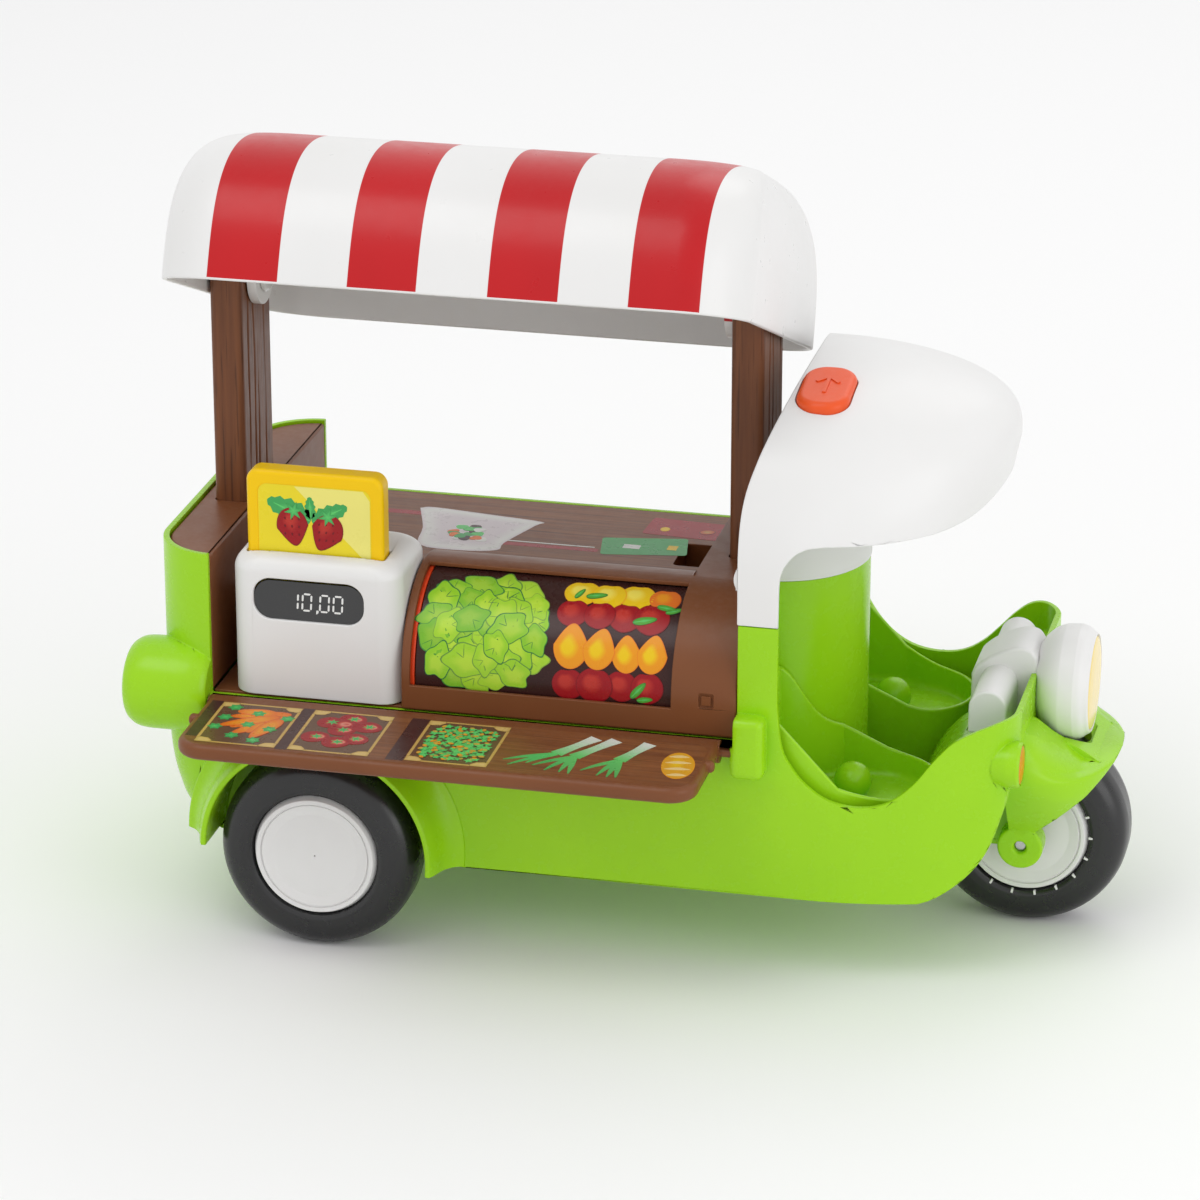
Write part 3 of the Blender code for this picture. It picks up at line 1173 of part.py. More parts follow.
def flange_outline(grow):
    """Plan of the button's flange, which reaches out in front and at both sides."""
    half_x = BUTTON_SIZE[0] / 2 + grow
    half_y = BUTTON_SIZE[1] / 2 + FLANGE_REACH + grow
    return rounded_rectangle(half_x, half_y, 7.0 * MM, 5, (BUTTON_X + FLANGE_REACH / 2, BUTTON_Y))


def roof_lug(side):
    """Round lug in a leg's wall that shows behind its rear edge."""
    limits = sorted((side * (ROOF_HALF_WIDTH - 0.35 * MM), side * (ROOF_HALF_WIDTH - ROOF_WALL + 0.25 * MM)))
    return rod("Y", (LUG_X, LUG_Z), limits[0], limits[1], LUG_RADIUS, 23)


def cab_roof():
    """White roof shell with legs, lugs, back panel, collar and the button's opening."""
    roof = cut(roof_block(0.0), roof_block(ROOF_WALL))
    cut(roof, lip_cut(), rear_cut())
    fuse(roof, roof_lug(-1), roof_lug(1))
    cut(roof, box((50 * MM, 100 * MM), (-0.1, 0.1), (100 * MM, POST_TOP_Z + GAP)))
    fuse(roof, back_panel())
    fuse(roof, roof_collar())
    cut(roof, prism_z(button_outline(GAP + 0.1 * MM), FLANGE_Z[0] - 6.0 * MM, ROOF_TOP_Z + 20 * MM))
    cut(roof, prism_z(flange_outline(GAP), FLANGE_Z[0] - BUTTON_TRAVEL - 1.5 * MM, FLANGE_Z[1] + GAP))
    cut(roof, rod("Z", (ROD_X, ROD_Y), SHELF_Z - 5 * MM, SHELF_Z + 9 * MM, ROD_RADIUS + GAP, 14))
    return roof


def roof_button():
    """Orange push button with a rounded top and a retaining flange."""
    edge = 2.0 * MM

    def top(drop):
        return lambda x, y: BUTTON_TOP_Z - drop + (y - BUTTON_Y) * BUTTON_SLOPE

    rings = [at_height(flange_outline(0.0), FLANGE_Z[0]), at_height(flange_outline(0.0), FLANGE_Z[1]),
             at_height(button_outline(0.0), FLANGE_Z[1] + 0.02 * MM), at_height(button_outline(0.0), top(edge)),
             at_height(button_outline(-edge * 0.3), top(edge * 0.3)), at_height(button_outline(-edge), top(0.0))]
    return loft(rings)


def button_spring():
    """Small return spring round the rod, on the collar's shelf."""
    return coil((ROD_X, ROD_Y), SHELF_Z + SHEET + GAP, FLANGE_Z[0] - GAP, 3.6 * MM, 0.5 * MM, 4, 7, 3)


def release_rod():
    """Rod from the button down the column, with a wedge foot."""
    shaft = rod("Z", (ROD_X, ROD_Y), FOOT_Z + 8.0 * MM, FLANGE_Z[0] - GAP, ROD_RADIUS, 12)
    foot = [(ROD_X - 3.5 * MM, FOOT_Z + 10 * MM), (ROD_X - 3.5 * MM, FOOT_Z), (ROD_X - 2.5 * MM, FOOT_Z),
            (ROD_X + 3.5 * MM, FOOT_Z + 6 * MM), (ROD_X + 3.5 * MM, FOOT_Z + 10 * MM)]
    return fuse(shaft, prism_y(foot, ROD_Y - 2.0 * MM, ROD_Y + 2.0 * MM))


def lift_latch():
    """Sliding plate that the rod's wedge draws off the front column."""
    nose = FRONT_COLUMN_X + COLUMN_LENGTH_X / 2 + GAP
    end = ROD_X + 0.3 * MM
    plate = box((nose, ROD_X + 3.0 * MM), (-7.5 * MM, 7.5 * MM), LATCH_Z)
    fuse(plate, box((BULKHEAD_X + CAB_WALL + 1.4 * MM, end), (ROD_Y - 1.9 * MM, 7.4 * MM),
                    (LATCH_Z[0] + 0.01 * MM, LATCH_Z[1] - 0.01 * MM)))
    lean = FOOT_Z - (ROD_X - 2.5 * MM) - 0.5 * MM
    low = LATCH_Z[1] - MM
    high = FOOT_Z + 1.0 * MM
    ramp = [(low - lean, low), (end - 0.02 * MM, low), (end - 0.02 * MM, high), (high - lean, high)]
    return fuse(plate, prism_y(ramp, ROD_Y - 1.8 * MM, ROD_Y + 1.8 * MM))


# Scooter front

NOSE_LEVELS = ((37.4, 23.6, 22.0), (46.2, 28.1, 25.3), (60.0, 38.5, 30.5), (72.0, 46.5, 33.8), (80.0, 49.5, 34.4),
               (87.0, 49.0, 32.0), (92.0, 46.0, 26.5), (94.6, 41.0, 18.0))


def nose_block(wall):
    """Bow-shaped solid of the front mudguard, or its hollow when a wall is given."""
    rings = []
    for z, half, reach in NOSE_LEVELS:
        half = half * MM - wall
        reach = reach * MM - wall
        height = z * MM - (wall if z > 80.0 else 0.0) - (6.0 * MM if wall > 0.0 and not rings else 0.0)
        ring = []
        for i in range(15):
            angle = math.radians(-90.0 + 180.0 * i / 14)
            power = 2.0 / 2.35
            c = math.cos(angle)
            s = math.sin(angle)
            x = NOSE_ROOT_X + reach * max(c, 0.0) ** power
            y = math.copysign(half * abs(s) ** power, s)
            ring.append((x, y, height))
        rear = NOSE_ROOT_X - 6.63 * MM - wall
        ring.append((rear, half, height))
        ring.insert(0, (rear, -half, height))
        rings.append(ring)
    return loft(rings)


def apron():
    """Curved panel that closes the tub's front between the side walls."""
    clear = 1.6 * MM
    path = ((143.0, PLATE_TOP_Z / MM + 0.5), (148.0, 37.6), (156.5, 42.4), (164.2, 50.0), (168.8, 57.6),
            (171.9, 66.2), (174.7, 75.1), (176.8, 88.1), (177.7, 94.1))
    rings = []
    for x, z in path:
        half = side_half_width(x * MM) - BODY_WALL - GAP
        thick = 2.4 * MM
        back = (x * MM - thick, half - 0.2 * MM, z * MM + (thick * 0.7 if z < 60 else 0.0))
        rings.append([(x * MM, -half, z * MM), (x * MM, half, z * MM), (back[0], back[1], back[2]),
                      (back[0], -back[1], back[2])])
    return loft(rings)


def front_fork():
    """Mudguard, wheel well, apron and fork bosses in one green moulding."""
    wheel = (FRONT_AXLE_X, TYRE_RADIUS)
    guard = nose_block(0.0)
    hollow = nose_block(2.4 * MM)
    scoop = HEADLIGHT_RADIUS + 1.6 * MM
    lamp = (0.0, HEADLIGHT_Z)
    cut(hollow, rod("X", lamp, 150 * MM, 240 * MM, scoop + 2.4 * MM, 27))
    cut(guard, hollow)
    outer = WELL_RADIUS + WELL_WALL
    side = WELL_HALF_WIDTH + WELL_WALL
    fuse(guard, apron())
    fuse(guard, rod("Y", wheel, -side, side, outer, 35))
    cut(guard, rod("X", lamp, 150 * MM, 240 * MM, scoop, 27))
    cut(guard, rod("Y", wheel, -WELL_HALF_WIDTH, WELL_HALF_WIDTH, WELL_RADIUS, 35))
    level = PLATE_TOP_Z / MM + 0.4
    below = [(120, -20), (120, level), (170.2, level), (182.7, 47.7), (213.7, 77.2), (240, 77), (240, -20)]
    cut(guard, prism_y([(x * MM, z * MM) for x, z in below], -0.1, 0.1))
    for sign in (-1, 1):
        cut(guard, rod("X", (sign * SIGNAL_Y, SIGNAL_Z), 150 * MM, 200 * MM, SIGNAL_RADIUS + GAP, 16))
        inner = WELL_HALF_WIDTH + 0.5 * MM
        profile = [(sign * inner, 0.0), (sign * inner, BOSS_RADIUS), (sign * (BOSS_OUTER_Y - MM), BOSS_RADIUS),
                   (sign * BOSS_OUTER_Y, BOSS_RADIUS - MM), (sign * BOSS_OUTER_Y, 0.0)]
        fuse(guard, turned("Y", wheel, profile, 18))
    cut(guard, rod("Y", wheel, -40 * MM, 40 * MM, AXLE_RADIUS + GAP, 16))
    return guard


def handlebar():
    """White T-shaped handle: arched bar across and a taller middle block."""
    half = HANDLE_WIDTH / 2
    foot = 92.0 * MM
    top = HANDLE_TOP_Z
    bar = [(HANDLE_X - half, foot), (HANDLE_X + half, foot)] + arc((HANDLE_X, top - half), half, 0, 180, 8)
    handle = prism_y(bar, -HANDLE_HALF_SPAN, HANDLE_HALF_SPAN)
    well = WELL_RADIUS + WELL_WALL + GAP
    block = [(152.4, 84.0), (178.4, 84.0), (178.6, 113.5), (175.5, 117.2), (169.5, 117.6), (161.0, 114.0), (154.5, 109.0),
             (152.4, 105.0)]
    middle = prism_y([(x * MM, z * MM) for x, z in block], -12.5 * MM, 12.5 * MM)
    cut(middle, rod("Y", (FRONT_AXLE_X, TYRE_RADIUS), -30 * MM, 30 * MM, well, 32))
    fuse(handle, middle)
    return handle


def headlight_shell():
    """White lamp bowl with a seat for its lens."""
    r = HEADLIGHT_RADIUS
    back, front = HEADLIGHT_X
    depth = front - back
    profile = [(back, 0.0), (back, r * 0.36)]
    for step in range(1, 6):
        angle = math.radians(90.0 * step / 6)
        profile.append((back + depth * 0.62 * (1.0 - math.cos(angle)), r * (0.36 + 0.64 * math.sin(angle))))
    profile += [(back + depth * 0.72, r), (front - 1.6 * MM, r * 0.90), (front, r * 0.80), (front - 1.8 * MM, r * 0.76),
                (front - 1.8 * MM, 0.0)]
    return turned("X", (0.0, HEADLIGHT_Z), profile, 24)


def headlight_lens():
    """Flat domed yellow lens."""
    r = HEADLIGHT_RADIUS * 0.76 - GAP
    seat = HEADLIGHT_X[1] - 1.8 * MM + GAP
    profile = [(seat, 0.0), (seat, r), (seat + 1.2 * MM, r), (seat + 2.0 * MM, r * 0.82), (seat + 2.3 * MM, 0.0)]
    return turned("X", (0.0, HEADLIGHT_Z), profile, 24)


# Wheels

def tyre(axle_x, inner_y, outer_y):
    """Black tyre with round shoulders."""
    r = TYRE_RADIUS
    side = 1.0 if outer_y > inner_y else -1.0
    seat = RIM_RADIUS - 1.2 * MM
    section = [(inner_y, seat), (outer_y - side * 3.0 * MM, seat), (outer_y - side * 3.0 * MM, RIM_RADIUS + 0.3 * MM),
               (outer_y - side * 0.4 * MM, RIM_RADIUS + 1.4 * MM), (outer_y, r * 0.76), (outer_y - side * 1.4 * MM, r * 0.88),
               (outer_y - side * 4.8 * MM, r * 0.965), (outer_y - side * 10.0 * MM, r), (inner_y + side * 10.0 * MM, r),
               (inner_y + side * 4.8 * MM, r * 0.965), (inner_y + side * 1.4 * MM, r * 0.88), (inner_y, r * 0.76)]
    return turned_ring("Y", (axle_x, TYRE_RADIUS), section, steps=32)


def wheel_hub(axle_x, inner_y, outer_y, through):
    """White wheel centre: dished face, rim and a boss bored for the axle."""
    side = 1.0 if outer_y > inner_y else -1.0
    seat = RIM_RADIUS - 1.2 * MM - GAP
    bore = AXLE_RADIUS + GAP
    face = outer_y
    back = inner_y
    disc = 2.4 * MM
    shelf = face - side * (3.0 * MM - GAP)
    section = [(back, seat), (shelf, seat), (shelf, RIM_RADIUS), (face - side * 0.5 * MM, RIM_RADIUS), (face, RIM_RADIUS - MM),
               (face, RIM_RADIUS * 0.82), (face - side * 1.6 * MM, RIM_RADIUS * 0.74)]
    if through:
        section += [(face - side * 0.8 * MM, bore + MM), (face - side * 0.8 * MM, bore)]
    else:
        section += [(face - side * 0.6 * MM, RIM_RADIUS * 0.36), (face - side * 0.4 * MM, 0.3 * MM),
                    (face - side * 2.4 * MM, 0.3 * MM), (face - side * 2.4 * MM, bore)]
    section += [(back, bore), (back, bore + 3.4 * MM), (face - side * (disc + 1.6 * MM), bore + 3.4 * MM),
                (face - side * (disc + 2.2 * MM), seat - 2.0 * MM), (back, seat - 2.0 * MM)]
    return turned_ring("Y", (axle_x, TYRE_RADIUS), section, steps=28)


# Assembly

def outline_middle():
    """Middle of the truck's whole outline in plan, from the pieces that reach furthest."""
    rear = TAIL_POD_REAR_X
    front = FRONT_AXLE_X + TYRE_RADIUS
    near = TRAY_HINGE_Y - TRAY_DEPTH
    far = REAR_WHEEL_OUTER_Y
    return (rear + front) / 2, (near + far) / 2


def build():
    """Make every piece and hang it on the frame empty."""
    clear_scene()
    frame = bpy.data.objects.new("truck_frame", None)
    bpy.context.collection.objects.link(frame)
    middle = outline_middle()
    frame.location = (-middle[0], -middle[1], 0.0)

    finish(body_shell(), "body_shell", GREEN, frame)
    finish(base_plate(), "base_plate", GREEN, frame)
    for number, spot in enumerate(SCREW_SPOTS, 1):
        finish(base_screw(spot), f"base_screw_{number}", STEEL, frame)
    for side, word in ((-1, "near"), (1, "far")):
        signal = lens_disc(side, SIGNAL_Y, SIGNAL_Z, SIGNAL_FRONT_X, SIGNAL_RADIUS * 0.78 - GAP, 1)
        finish(signal, "turn_signal_" + word, AMBER, frame)
        tail = lens_disc(side, TAIL_POD_Y, TAIL_POD_Z, TAIL_POD_REAR_X, TAIL_POD_RADIUS * 0.58 - GAP, -1)
        finish(tail, "tail_light_" + word, RED, frame)

    finish(rear_deck(), "rear_deck", BROWN, frame)
    finish(counter_moulding(), "counter", BROWN, frame)
    finish(display_frame(), "display_frame", BROWN, frame)
    finish(catch_peg(), "tray_catch_peg", BROWN, frame)
    finish(till_housing(), "till_housing", WHITE, frame)
    finish(price_card(), "price_card", YELLOW, frame, (CARD_X, CARD_NEAR_Y + CARD_THICKNESS / 2, CARD_BOTTOM_Z))
    drum_pivot = ((FRAME_X + BLOCK_X) / 2, DRUM_Y, DRUM_Z)
    finish(drum_shell(), "drum_shell", PRINT, frame, drum_pivot)
    finish(drum_end(True), "drum_end_rear", ORANGE, frame, drum_pivot)
    finish(drum_end(False), "drum_end_front", ORANGE, frame, drum_pivot)
    finish(drum_axle(), "drum_axle", STEEL, frame)
    finish(tray(), "fold_tray", BROWN, frame, ((TRAY_X[0] + TRAY_X[1]) / 2, TRAY_HINGE_Y, TRAY_HINGE_Z))

    canopy_pivot = ((CANOPY_X[0] + CANOPY_X[1]) / 2, 0.0, CANOPY_PIVOT_Z)
    finish(tilt(canopy_shell()), "canopy_shell", WHITE, frame, canopy_pivot)
    rear_ear, front_ear = ear_places()
    finish(column(REAR_COLUMN_X, True), "rear_column", BROWN, frame, (REAR_COLUMN_X, 0.0, COLUMN_BOTTOM_Z))
    finish(column(FRONT_COLUMN_X, False), "front_column", BROWN, frame, (FRONT_COLUMN_X, 0.0, COLUMN_BOTTOM_Z))
    finish(pivot_pin(REAR_COLUMN_X, rear_ear), "rear_pivot_pin", CLEAR, frame, (rear_ear, 0.0, CANOPY_PIVOT_Z))
    finish(pivot_pin(FRONT_COLUMN_X, front_ear), "front_pivot_pin", CLEAR, frame, (front_ear, 0.0, CANOPY_PIVOT_Z))
    finish(lift_spring(REAR_COLUMN_X, REAR_SPRING_SEAT_Z), "rear_lift_spring", STEEL, frame)
    finish(lift_spring(FRONT_COLUMN_X, FRONT_SPRING_SEAT_Z), "front_lift_spring", STEEL, frame)

    finish(cab_bulkhead(), "cab_bulkhead", GREEN, frame)
    far_seat = seat()
    finish(mirrored(far_seat), "seat_near", GREEN, frame)
    finish(far_seat, "seat_far", GREEN, frame)
    finish(cab_roof(), "cab_roof", WHITE, frame)
    button_pivot = (BUTTON_X, BUTTON_Y, FLANGE_Z[0])
    finish(roof_button(), "roof_button", ORANGE, frame, button_pivot)
    finish(button_spring(), "button_spring", STEEL, frame)
    finish(release_rod(), "release_rod", STEEL, frame, button_pivot)
    finish(lift_latch(), "lift_latch", WHITE, frame, (FRONT_COLUMN_X, 0.0, LATCH_Z[0]))

    finish(front_fork(), "front_fork", GREEN, frame)
    finish(handlebar(), "handlebar", WHITE, frame)
    finish(headlight_shell(), "headlight_shell", WHITE, frame)
    finish(headlight_lens(), "headlight_lens", CREAM, frame)
    axle = rod("Y", (FRONT_AXLE_X, TYRE_RADIUS), -BOSS_OUTER_Y + 2.5 * MM, BOSS_OUTER_Y - 2.5 * MM, AXLE_RADIUS, 16)
    finish(axle, "front_axle", STEEL, frame)
    reach = REAR_WHEEL_OUTER_Y - 3.4 * MM
    finish(rod("Y", (REAR_AXLE_X, TYRE_RADIUS), -reach, reach, AXLE_RADIUS, 16), "rear_axle", STEEL, frame)

    front_pivot = (FRONT_AXLE_X, 0.0, TYRE_RADIUS)
    finish(tyre(FRONT_AXLE_X, FRONT_TYRE_HALF, -FRONT_TYRE_HALF), "front_tyre", BLACK, frame, front_pivot)
    hub = wheel_hub(FRONT_AXLE_X, FRONT_TYRE_HALF, -FRONT_TYRE_HALF, True)
    finish(hub, "front_hub", WHITE, frame, front_pivot)
    for side, word in ((-1, "near"), (1, "far")):
        outer = side * REAR_WHEEL_OUTER_Y
        inner = side * (REAR_WHEEL_OUTER_Y - TYRE_WIDTH)
        pivot = (REAR_AXLE_X, (outer + inner) / 2, TYRE_RADIUS)
        finish(tyre(REAR_AXLE_X, inner, outer), "rear_tyre_" + word, BLACK, frame, pivot)
        finish(wheel_hub(REAR_AXLE_X, inner, outer, False), "rear_hub_" + word, WHITE, frame, pivot)


build()
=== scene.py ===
"""Play food truck: smooth moulded pieces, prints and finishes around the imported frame.

Sizes in the classes are millimetres in the truck's own frame: X to the front, Y to the far side, Z up,
with the middle plane at Y 0.  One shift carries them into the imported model's frame.
"""
import logging
import math
import random
from contextlib import contextmanager
from dataclasses import dataclass, field
from enum import Enum
from typing import Callable, Iterator, Optional, Sequence, Union

import bmesh
import bpy
from mathutils import Matrix, Vector, noise


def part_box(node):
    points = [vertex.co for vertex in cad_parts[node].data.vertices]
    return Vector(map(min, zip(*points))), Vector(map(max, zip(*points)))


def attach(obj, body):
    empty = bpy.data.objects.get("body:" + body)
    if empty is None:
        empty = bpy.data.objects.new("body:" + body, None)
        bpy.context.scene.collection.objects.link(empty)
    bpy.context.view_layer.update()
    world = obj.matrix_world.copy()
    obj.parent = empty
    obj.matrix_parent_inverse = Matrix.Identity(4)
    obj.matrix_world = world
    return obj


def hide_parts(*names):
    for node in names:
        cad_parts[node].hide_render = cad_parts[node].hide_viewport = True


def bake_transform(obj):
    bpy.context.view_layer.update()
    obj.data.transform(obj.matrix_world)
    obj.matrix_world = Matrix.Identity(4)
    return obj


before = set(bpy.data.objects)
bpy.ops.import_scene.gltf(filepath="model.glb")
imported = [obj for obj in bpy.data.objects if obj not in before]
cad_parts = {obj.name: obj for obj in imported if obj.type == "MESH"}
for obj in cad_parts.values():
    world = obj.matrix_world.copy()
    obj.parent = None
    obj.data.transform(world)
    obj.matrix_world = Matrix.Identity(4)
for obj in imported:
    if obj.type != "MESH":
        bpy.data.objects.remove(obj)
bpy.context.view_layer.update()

LOG = logging.getLogger("food_truck")
MM = 0.001

Pair = tuple[float, float]
Triple = tuple[float, float, float]
Colour = tuple[float, float, float]
Outline = list[Pair]
Ring = list[Triple]

AXLE_PLACE = Vector((176.0, 0.0, 40.0)) * MM
LOW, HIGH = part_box("front_axle")
SHIFT = (LOW + HIGH) / 2.0 - AXLE_PLACE


class Axis(Enum):
    """The three directions of the truck."""

    X = 0
    Y = 1
    Z = 2


class Op(Enum):
    """Ways to combine two closed forms."""

    CUT = "DIFFERENCE"
    FUSE = "UNION"
    KEEP = "INTERSECT"


class Slot(Enum):
    """Material slots of the record."""

    GREEN = "leaf_green"
    WHITE = "white"
    BROWN = "brown"
    YELLOW = "yellow"
    ORANGE = "orange"
    AMBER = "amber"
    RED = "red"
    CREAM = "cream"
    CLEAR = "clear"
    PRINT = "print"
    TYRE = "tyre"
    STEEL = "steel"


# Outlines


def steps(count: int) -> int:
    return count


def arc(centre: Pair, radius: float, start: float, end: float, count: int) -> Outline:
    """Points on an arc.

    Args:
        centre: Middle of the arc.
        radius: Radius of the arc.
        start: First angle in degrees.
        end: Last angle in degrees.
        count: Number of spans.

    Returns:
        The points from start to end.
    """
    turns = [math.radians(start + (end - start) * i / count) for i in range(count + 1)]
    return [(centre[0] + radius * math.cos(a), centre[1] + radius * math.sin(a)) for a in turns]


def rounded(half_x: float, half_y: float, corner: float, count: int = 10,
            centre: Pair = (0.0, 0.0)) -> Outline:
    """Counter-clockwise rectangle with round corners.

    Args:
        half_x: Half of the first side.
        half_y: Half of the second side.
        corner: Corner radius, kept within the sides.
        count: Spans in each corner.
        centre: Middle of the rectangle.

    Returns:
        The closed outline's points.
    """
    corner = min(corner, half_x * 0.98, half_y * 0.98)
    points: Outline = []
    for sx, sy, start in ((1, 1, 0), (-1, 1, 90), (-1, -1, 180), (1, -1, 270)):
        middle = (centre[0] + sx * (half_x - corner), centre[1] + sy * (half_y - corner))
        points += arc(middle, corner, start, start + 90, count)
    return points


def inset(outline: Outline, distance: float) -> Outline:
    """Move a counter-clockwise outline inwards, corner by corner."""
    count = len(outline)
    moved: Outline = []
    for i in range(count):
        before, here, after = (Vector(outline[(i + k) % count]) for k in (-1, 0, 1))
        first = (here - before).normalized()
        second = (after - here).normalized()
        normal = Vector((-first.y - second.y, first.x + second.x)).normalized()
        slant = max(0.5, normal.dot(Vector((-first.y, first.x))))
        spot = here + normal * (distance / slant)
        moved.append((spot.x, spot.y))
    return moved


def height_at(curve: Sequence[Pair], x: float) -> float:
    """Height of a curve above a distance along the truck."""
    for (x0, z0), (x1, z1) in zip(curve, curve[1:]):
        if x <= x1:
            return z0 + (z1 - z0) * max(0.0, (x - x0) / (x1 - x0))
    return curve[-1][1]


def smoothed(points: Sequence[Pair], spans: int = 6) -> Outline:
    """A soft curve through a coarse row of points.

    Args:
        points: The points that the curve passes through.
        spans: Spans between one point and the next.

    Returns:
        The finer row of points.
    """
    row = [Vector(p) for p in points]
    row = [row[0] * 2 - row[1]] + row + [row[-1] * 2 - row[-2]]
    made: Outline = []
    for a, b, c, d in zip(row, row[1:], row[2:], row[3:]):
        for i in range(spans):
            t = i / spans
            spot = 0.5 * (2 * b + (c - a) * t + (2 * a - 5 * b + 4 * c - d) * t * t
                          + (3 * b - a - 3 * c + d) * t ** 3)
            made.append((spot.x, spot.y))
    made.append((row[-2].x, row[-2].y))
    return made


def between(table: Sequence[Sequence[float]], spans: int) -> list[list[float]]:
    """Rows between the rows of a table whose first column rises, blended softly."""
    columns = [smoothed([(row[0], row[k]) for row in table], spans) for k in range(1, len(table[0]))]
    return [[columns[0][i][0]] + [column[i][1] for column in columns] for i in range(len(columns[0]))]


def at_height(outline: Outline, z: Union[float, Callable[[float, float], float]]) -> Ring:
    """Lift a plan outline to a height, which may depend on the place."""
    if callable(z):
        return [(x, y, z(x, y)) for x, y in outline]
    return [(x, y, z) for x, y in outline]


# Closed forms


class Form:
    """A closed mesh in the truck's own millimetres that can be cut, fused and softened."""

    def __init__(self, bm: bmesh.types.BMesh) -> None:
        """Take over a bmesh and point its faces outwards."""
        bmesh.ops.recalc_face_normals(bm, faces=bm.faces)
        mesh = bpy.data.meshes.new("form")
        bm.to_mesh(mesh)
        bm.free()
        self.item = bpy.data.objects.new("form", mesh)
        bpy.context.scene.collection.objects.link(self.item)

    @classmethod
    def loft(cls, rings: Sequence[Ring]) -> "Form":
        """Closed solid through rings of equal length, capped at both ends."""
        bm = bmesh.new()
        rows = [[bm.verts.new(point) for point in ring] for ring in rings]
        count = len(rows[0])
        for lower, upper in zip(rows, rows[1:]):
            for i in range(count):
                j = (i + 1) % count
                bm.faces.new((lower[i], lower[j], upper[j], upper[i]))
        bm.faces.new(list(reversed(rows[0])))
        bm.faces.new(rows[-1])
        return cls(bm)

    @classmethod
    def prism(cls, axis: Axis, outline: Outline, low: float, high: float) -> "Form":
        """Straight solid along an axis; the outline holds the two other coordinates in order."""
        rings = []
        for along in (low, high):
            ring = []
            for a, b in outline:
                ring.append({Axis.X: (along, a, b), Axis.Y: (a, along, b), Axis.Z: (a, b, along)}[axis])
            rings.append(ring)
        return cls.loft(rings)

    @classmethod
    def box(cls, x: Pair, y: Pair, z: Pair, edge: float = 0.0) -> "Form":
        """Block between three pairs of limits, with round edges where edge is given."""
        outline = [(x[0], y[0]), (x[1], y[0]), (x[1], y[1]), (x[0], y[1])]
        form = cls.prism(Axis.Z, outline, *z)
        return form.round_edges(edge, lambda e: True) if edge else form

    @classmethod
    def turned(cls, axis: Axis, centre: Pair, profile: Sequence[Pair], count: int = 64) -> "Form":
        """Solid of revolution.

        Args:
            axis: Direction that it turns about.
            centre: Place of the axis in the two other coordinates.
            profile: (along, radius) points from axis to axis, or a closed section off the axis.
            count: Spans all round.

        Returns:
            The closed form.
        """
        bm = bmesh.new()
        on_axis = profile[0][1] <= 0.0
        rows = []
        for along, radius in profile:
            turns = [0.0] if radius <= 0.0 else [2.0 * math.pi * i / count for i in range(count)]
            rows.append([bm.verts.new(spot_on(axis, centre, along, radius, a)) for a in turns])
        pairs = list(zip(rows, rows[1:]))
        if not on_axis:
            pairs.append((rows[-1], rows[0]))
        for lower, upper in pairs:
            for i in range(count):
                j = (i + 1) % count
                if len(lower) == 1:
                    bm.faces.new((lower[0], upper[j], upper[i]))
                elif len(upper) == 1:
                    bm.faces.new((lower[i], lower[j], upper[0]))
                else:
                    bm.faces.new((lower[i], lower[j], upper[j], upper[i]))
        return cls(bm)

    @classmethod
    def swept(cls, axis: Axis, centre: Pair, section: Sequence[Pair], start: float, end: float,
              count: int) -> "Form":
        """Closed (along, radius) section turned part of the way about an axis."""
        bm = bmesh.new()
        rows = []
        for i in range(count + 1):
            angle = math.radians(start + (end - start) * i / count)
            rows.append([bm.verts.new(spot_on(axis, centre, along, radius, angle)) for along,
                         radius in section])
        points = len(section)
        for lower, upper in zip(rows, rows[1:]):
            for j in range(points):
                k = (j + 1) % points
                bm.faces.new((lower[j], lower[k], upper[k], upper[j]))
        bm.faces.new(list(reversed(rows[0])))
        bm.faces.new(rows[-1])
        return cls(bm)

    @contextmanager
    def edited(self) -> Iterator[bmesh.types.BMesh]:
        """The form's mesh as a bmesh, written back at the end."""
        bm = bmesh.new()
        bm.from_mesh(self.item.data)
        yield bm
        bm.to_mesh(self.item.data)
        bm.free()

    def _flatten(self) -> None:
        """Split faces that aren't flat, so that the exact solver sees true planes."""
        bm = bmesh.new()
        bm.from_mesh(self.item.data)
        bent = []
        for face in bm.faces:
            if len(face.verts) > 3:
                centre = face.calc_center_median()
                if max(abs((v.co - centre).dot(face.normal)) for v in face.verts) > 2e-4:
                    bent.append(face)
        if bent:
            bmesh.ops.triangulate(bm, faces=bent)
            bm.to_mesh(self.item.data)
        bm.free()

    def combine(self, tool: "Form", operation: Op) -> "Form":
        """Apply one exact boolean with a tool and remove the tool.

        Args:
            tool: The other form.
            operation: How the two combine.

        Returns:
            This form.
        """
        self._flatten()
        tool._flatten()
        step = self.item.modifiers.new("combine", "BOOLEAN")
        step.object = tool.item
        step.operation = operation.value
        step.solver = "EXACT"
        self._bake()
        tool.discard()
        return self

    def cut(self, *tools: "Form") -> "Form":
        """Take tools away."""
        for tool in tools:
            self.combine(tool, Op.CUT)
        return self

    def fuse(self, *tools: "Form") -> "Form":
        """Join tools on."""
        for tool in tools:
            self.combine(tool, Op.FUSE)
        return self

    def keep(self, tool: "Form") -> "Form":
        """Keep what both share."""
        return self.combine(tool, Op.KEEP)

    def _bake(self) -> None:
        """Turn the modified mesh into the form's own."""
        graph = bpy.context.evaluated_depsgraph_get()
        graph.update()
        result = bpy.data.meshes.new_from_object(self.item.evaluated_get(graph))
        self.item.modifiers.clear()
        old = self.item.data
        self.item.data = result
        bpy.data.meshes.remove(old)

    def discard(self) -> None:
        """Remove the form from the scene."""
        bpy.data.objects.remove(self.item, do_unlink=True)

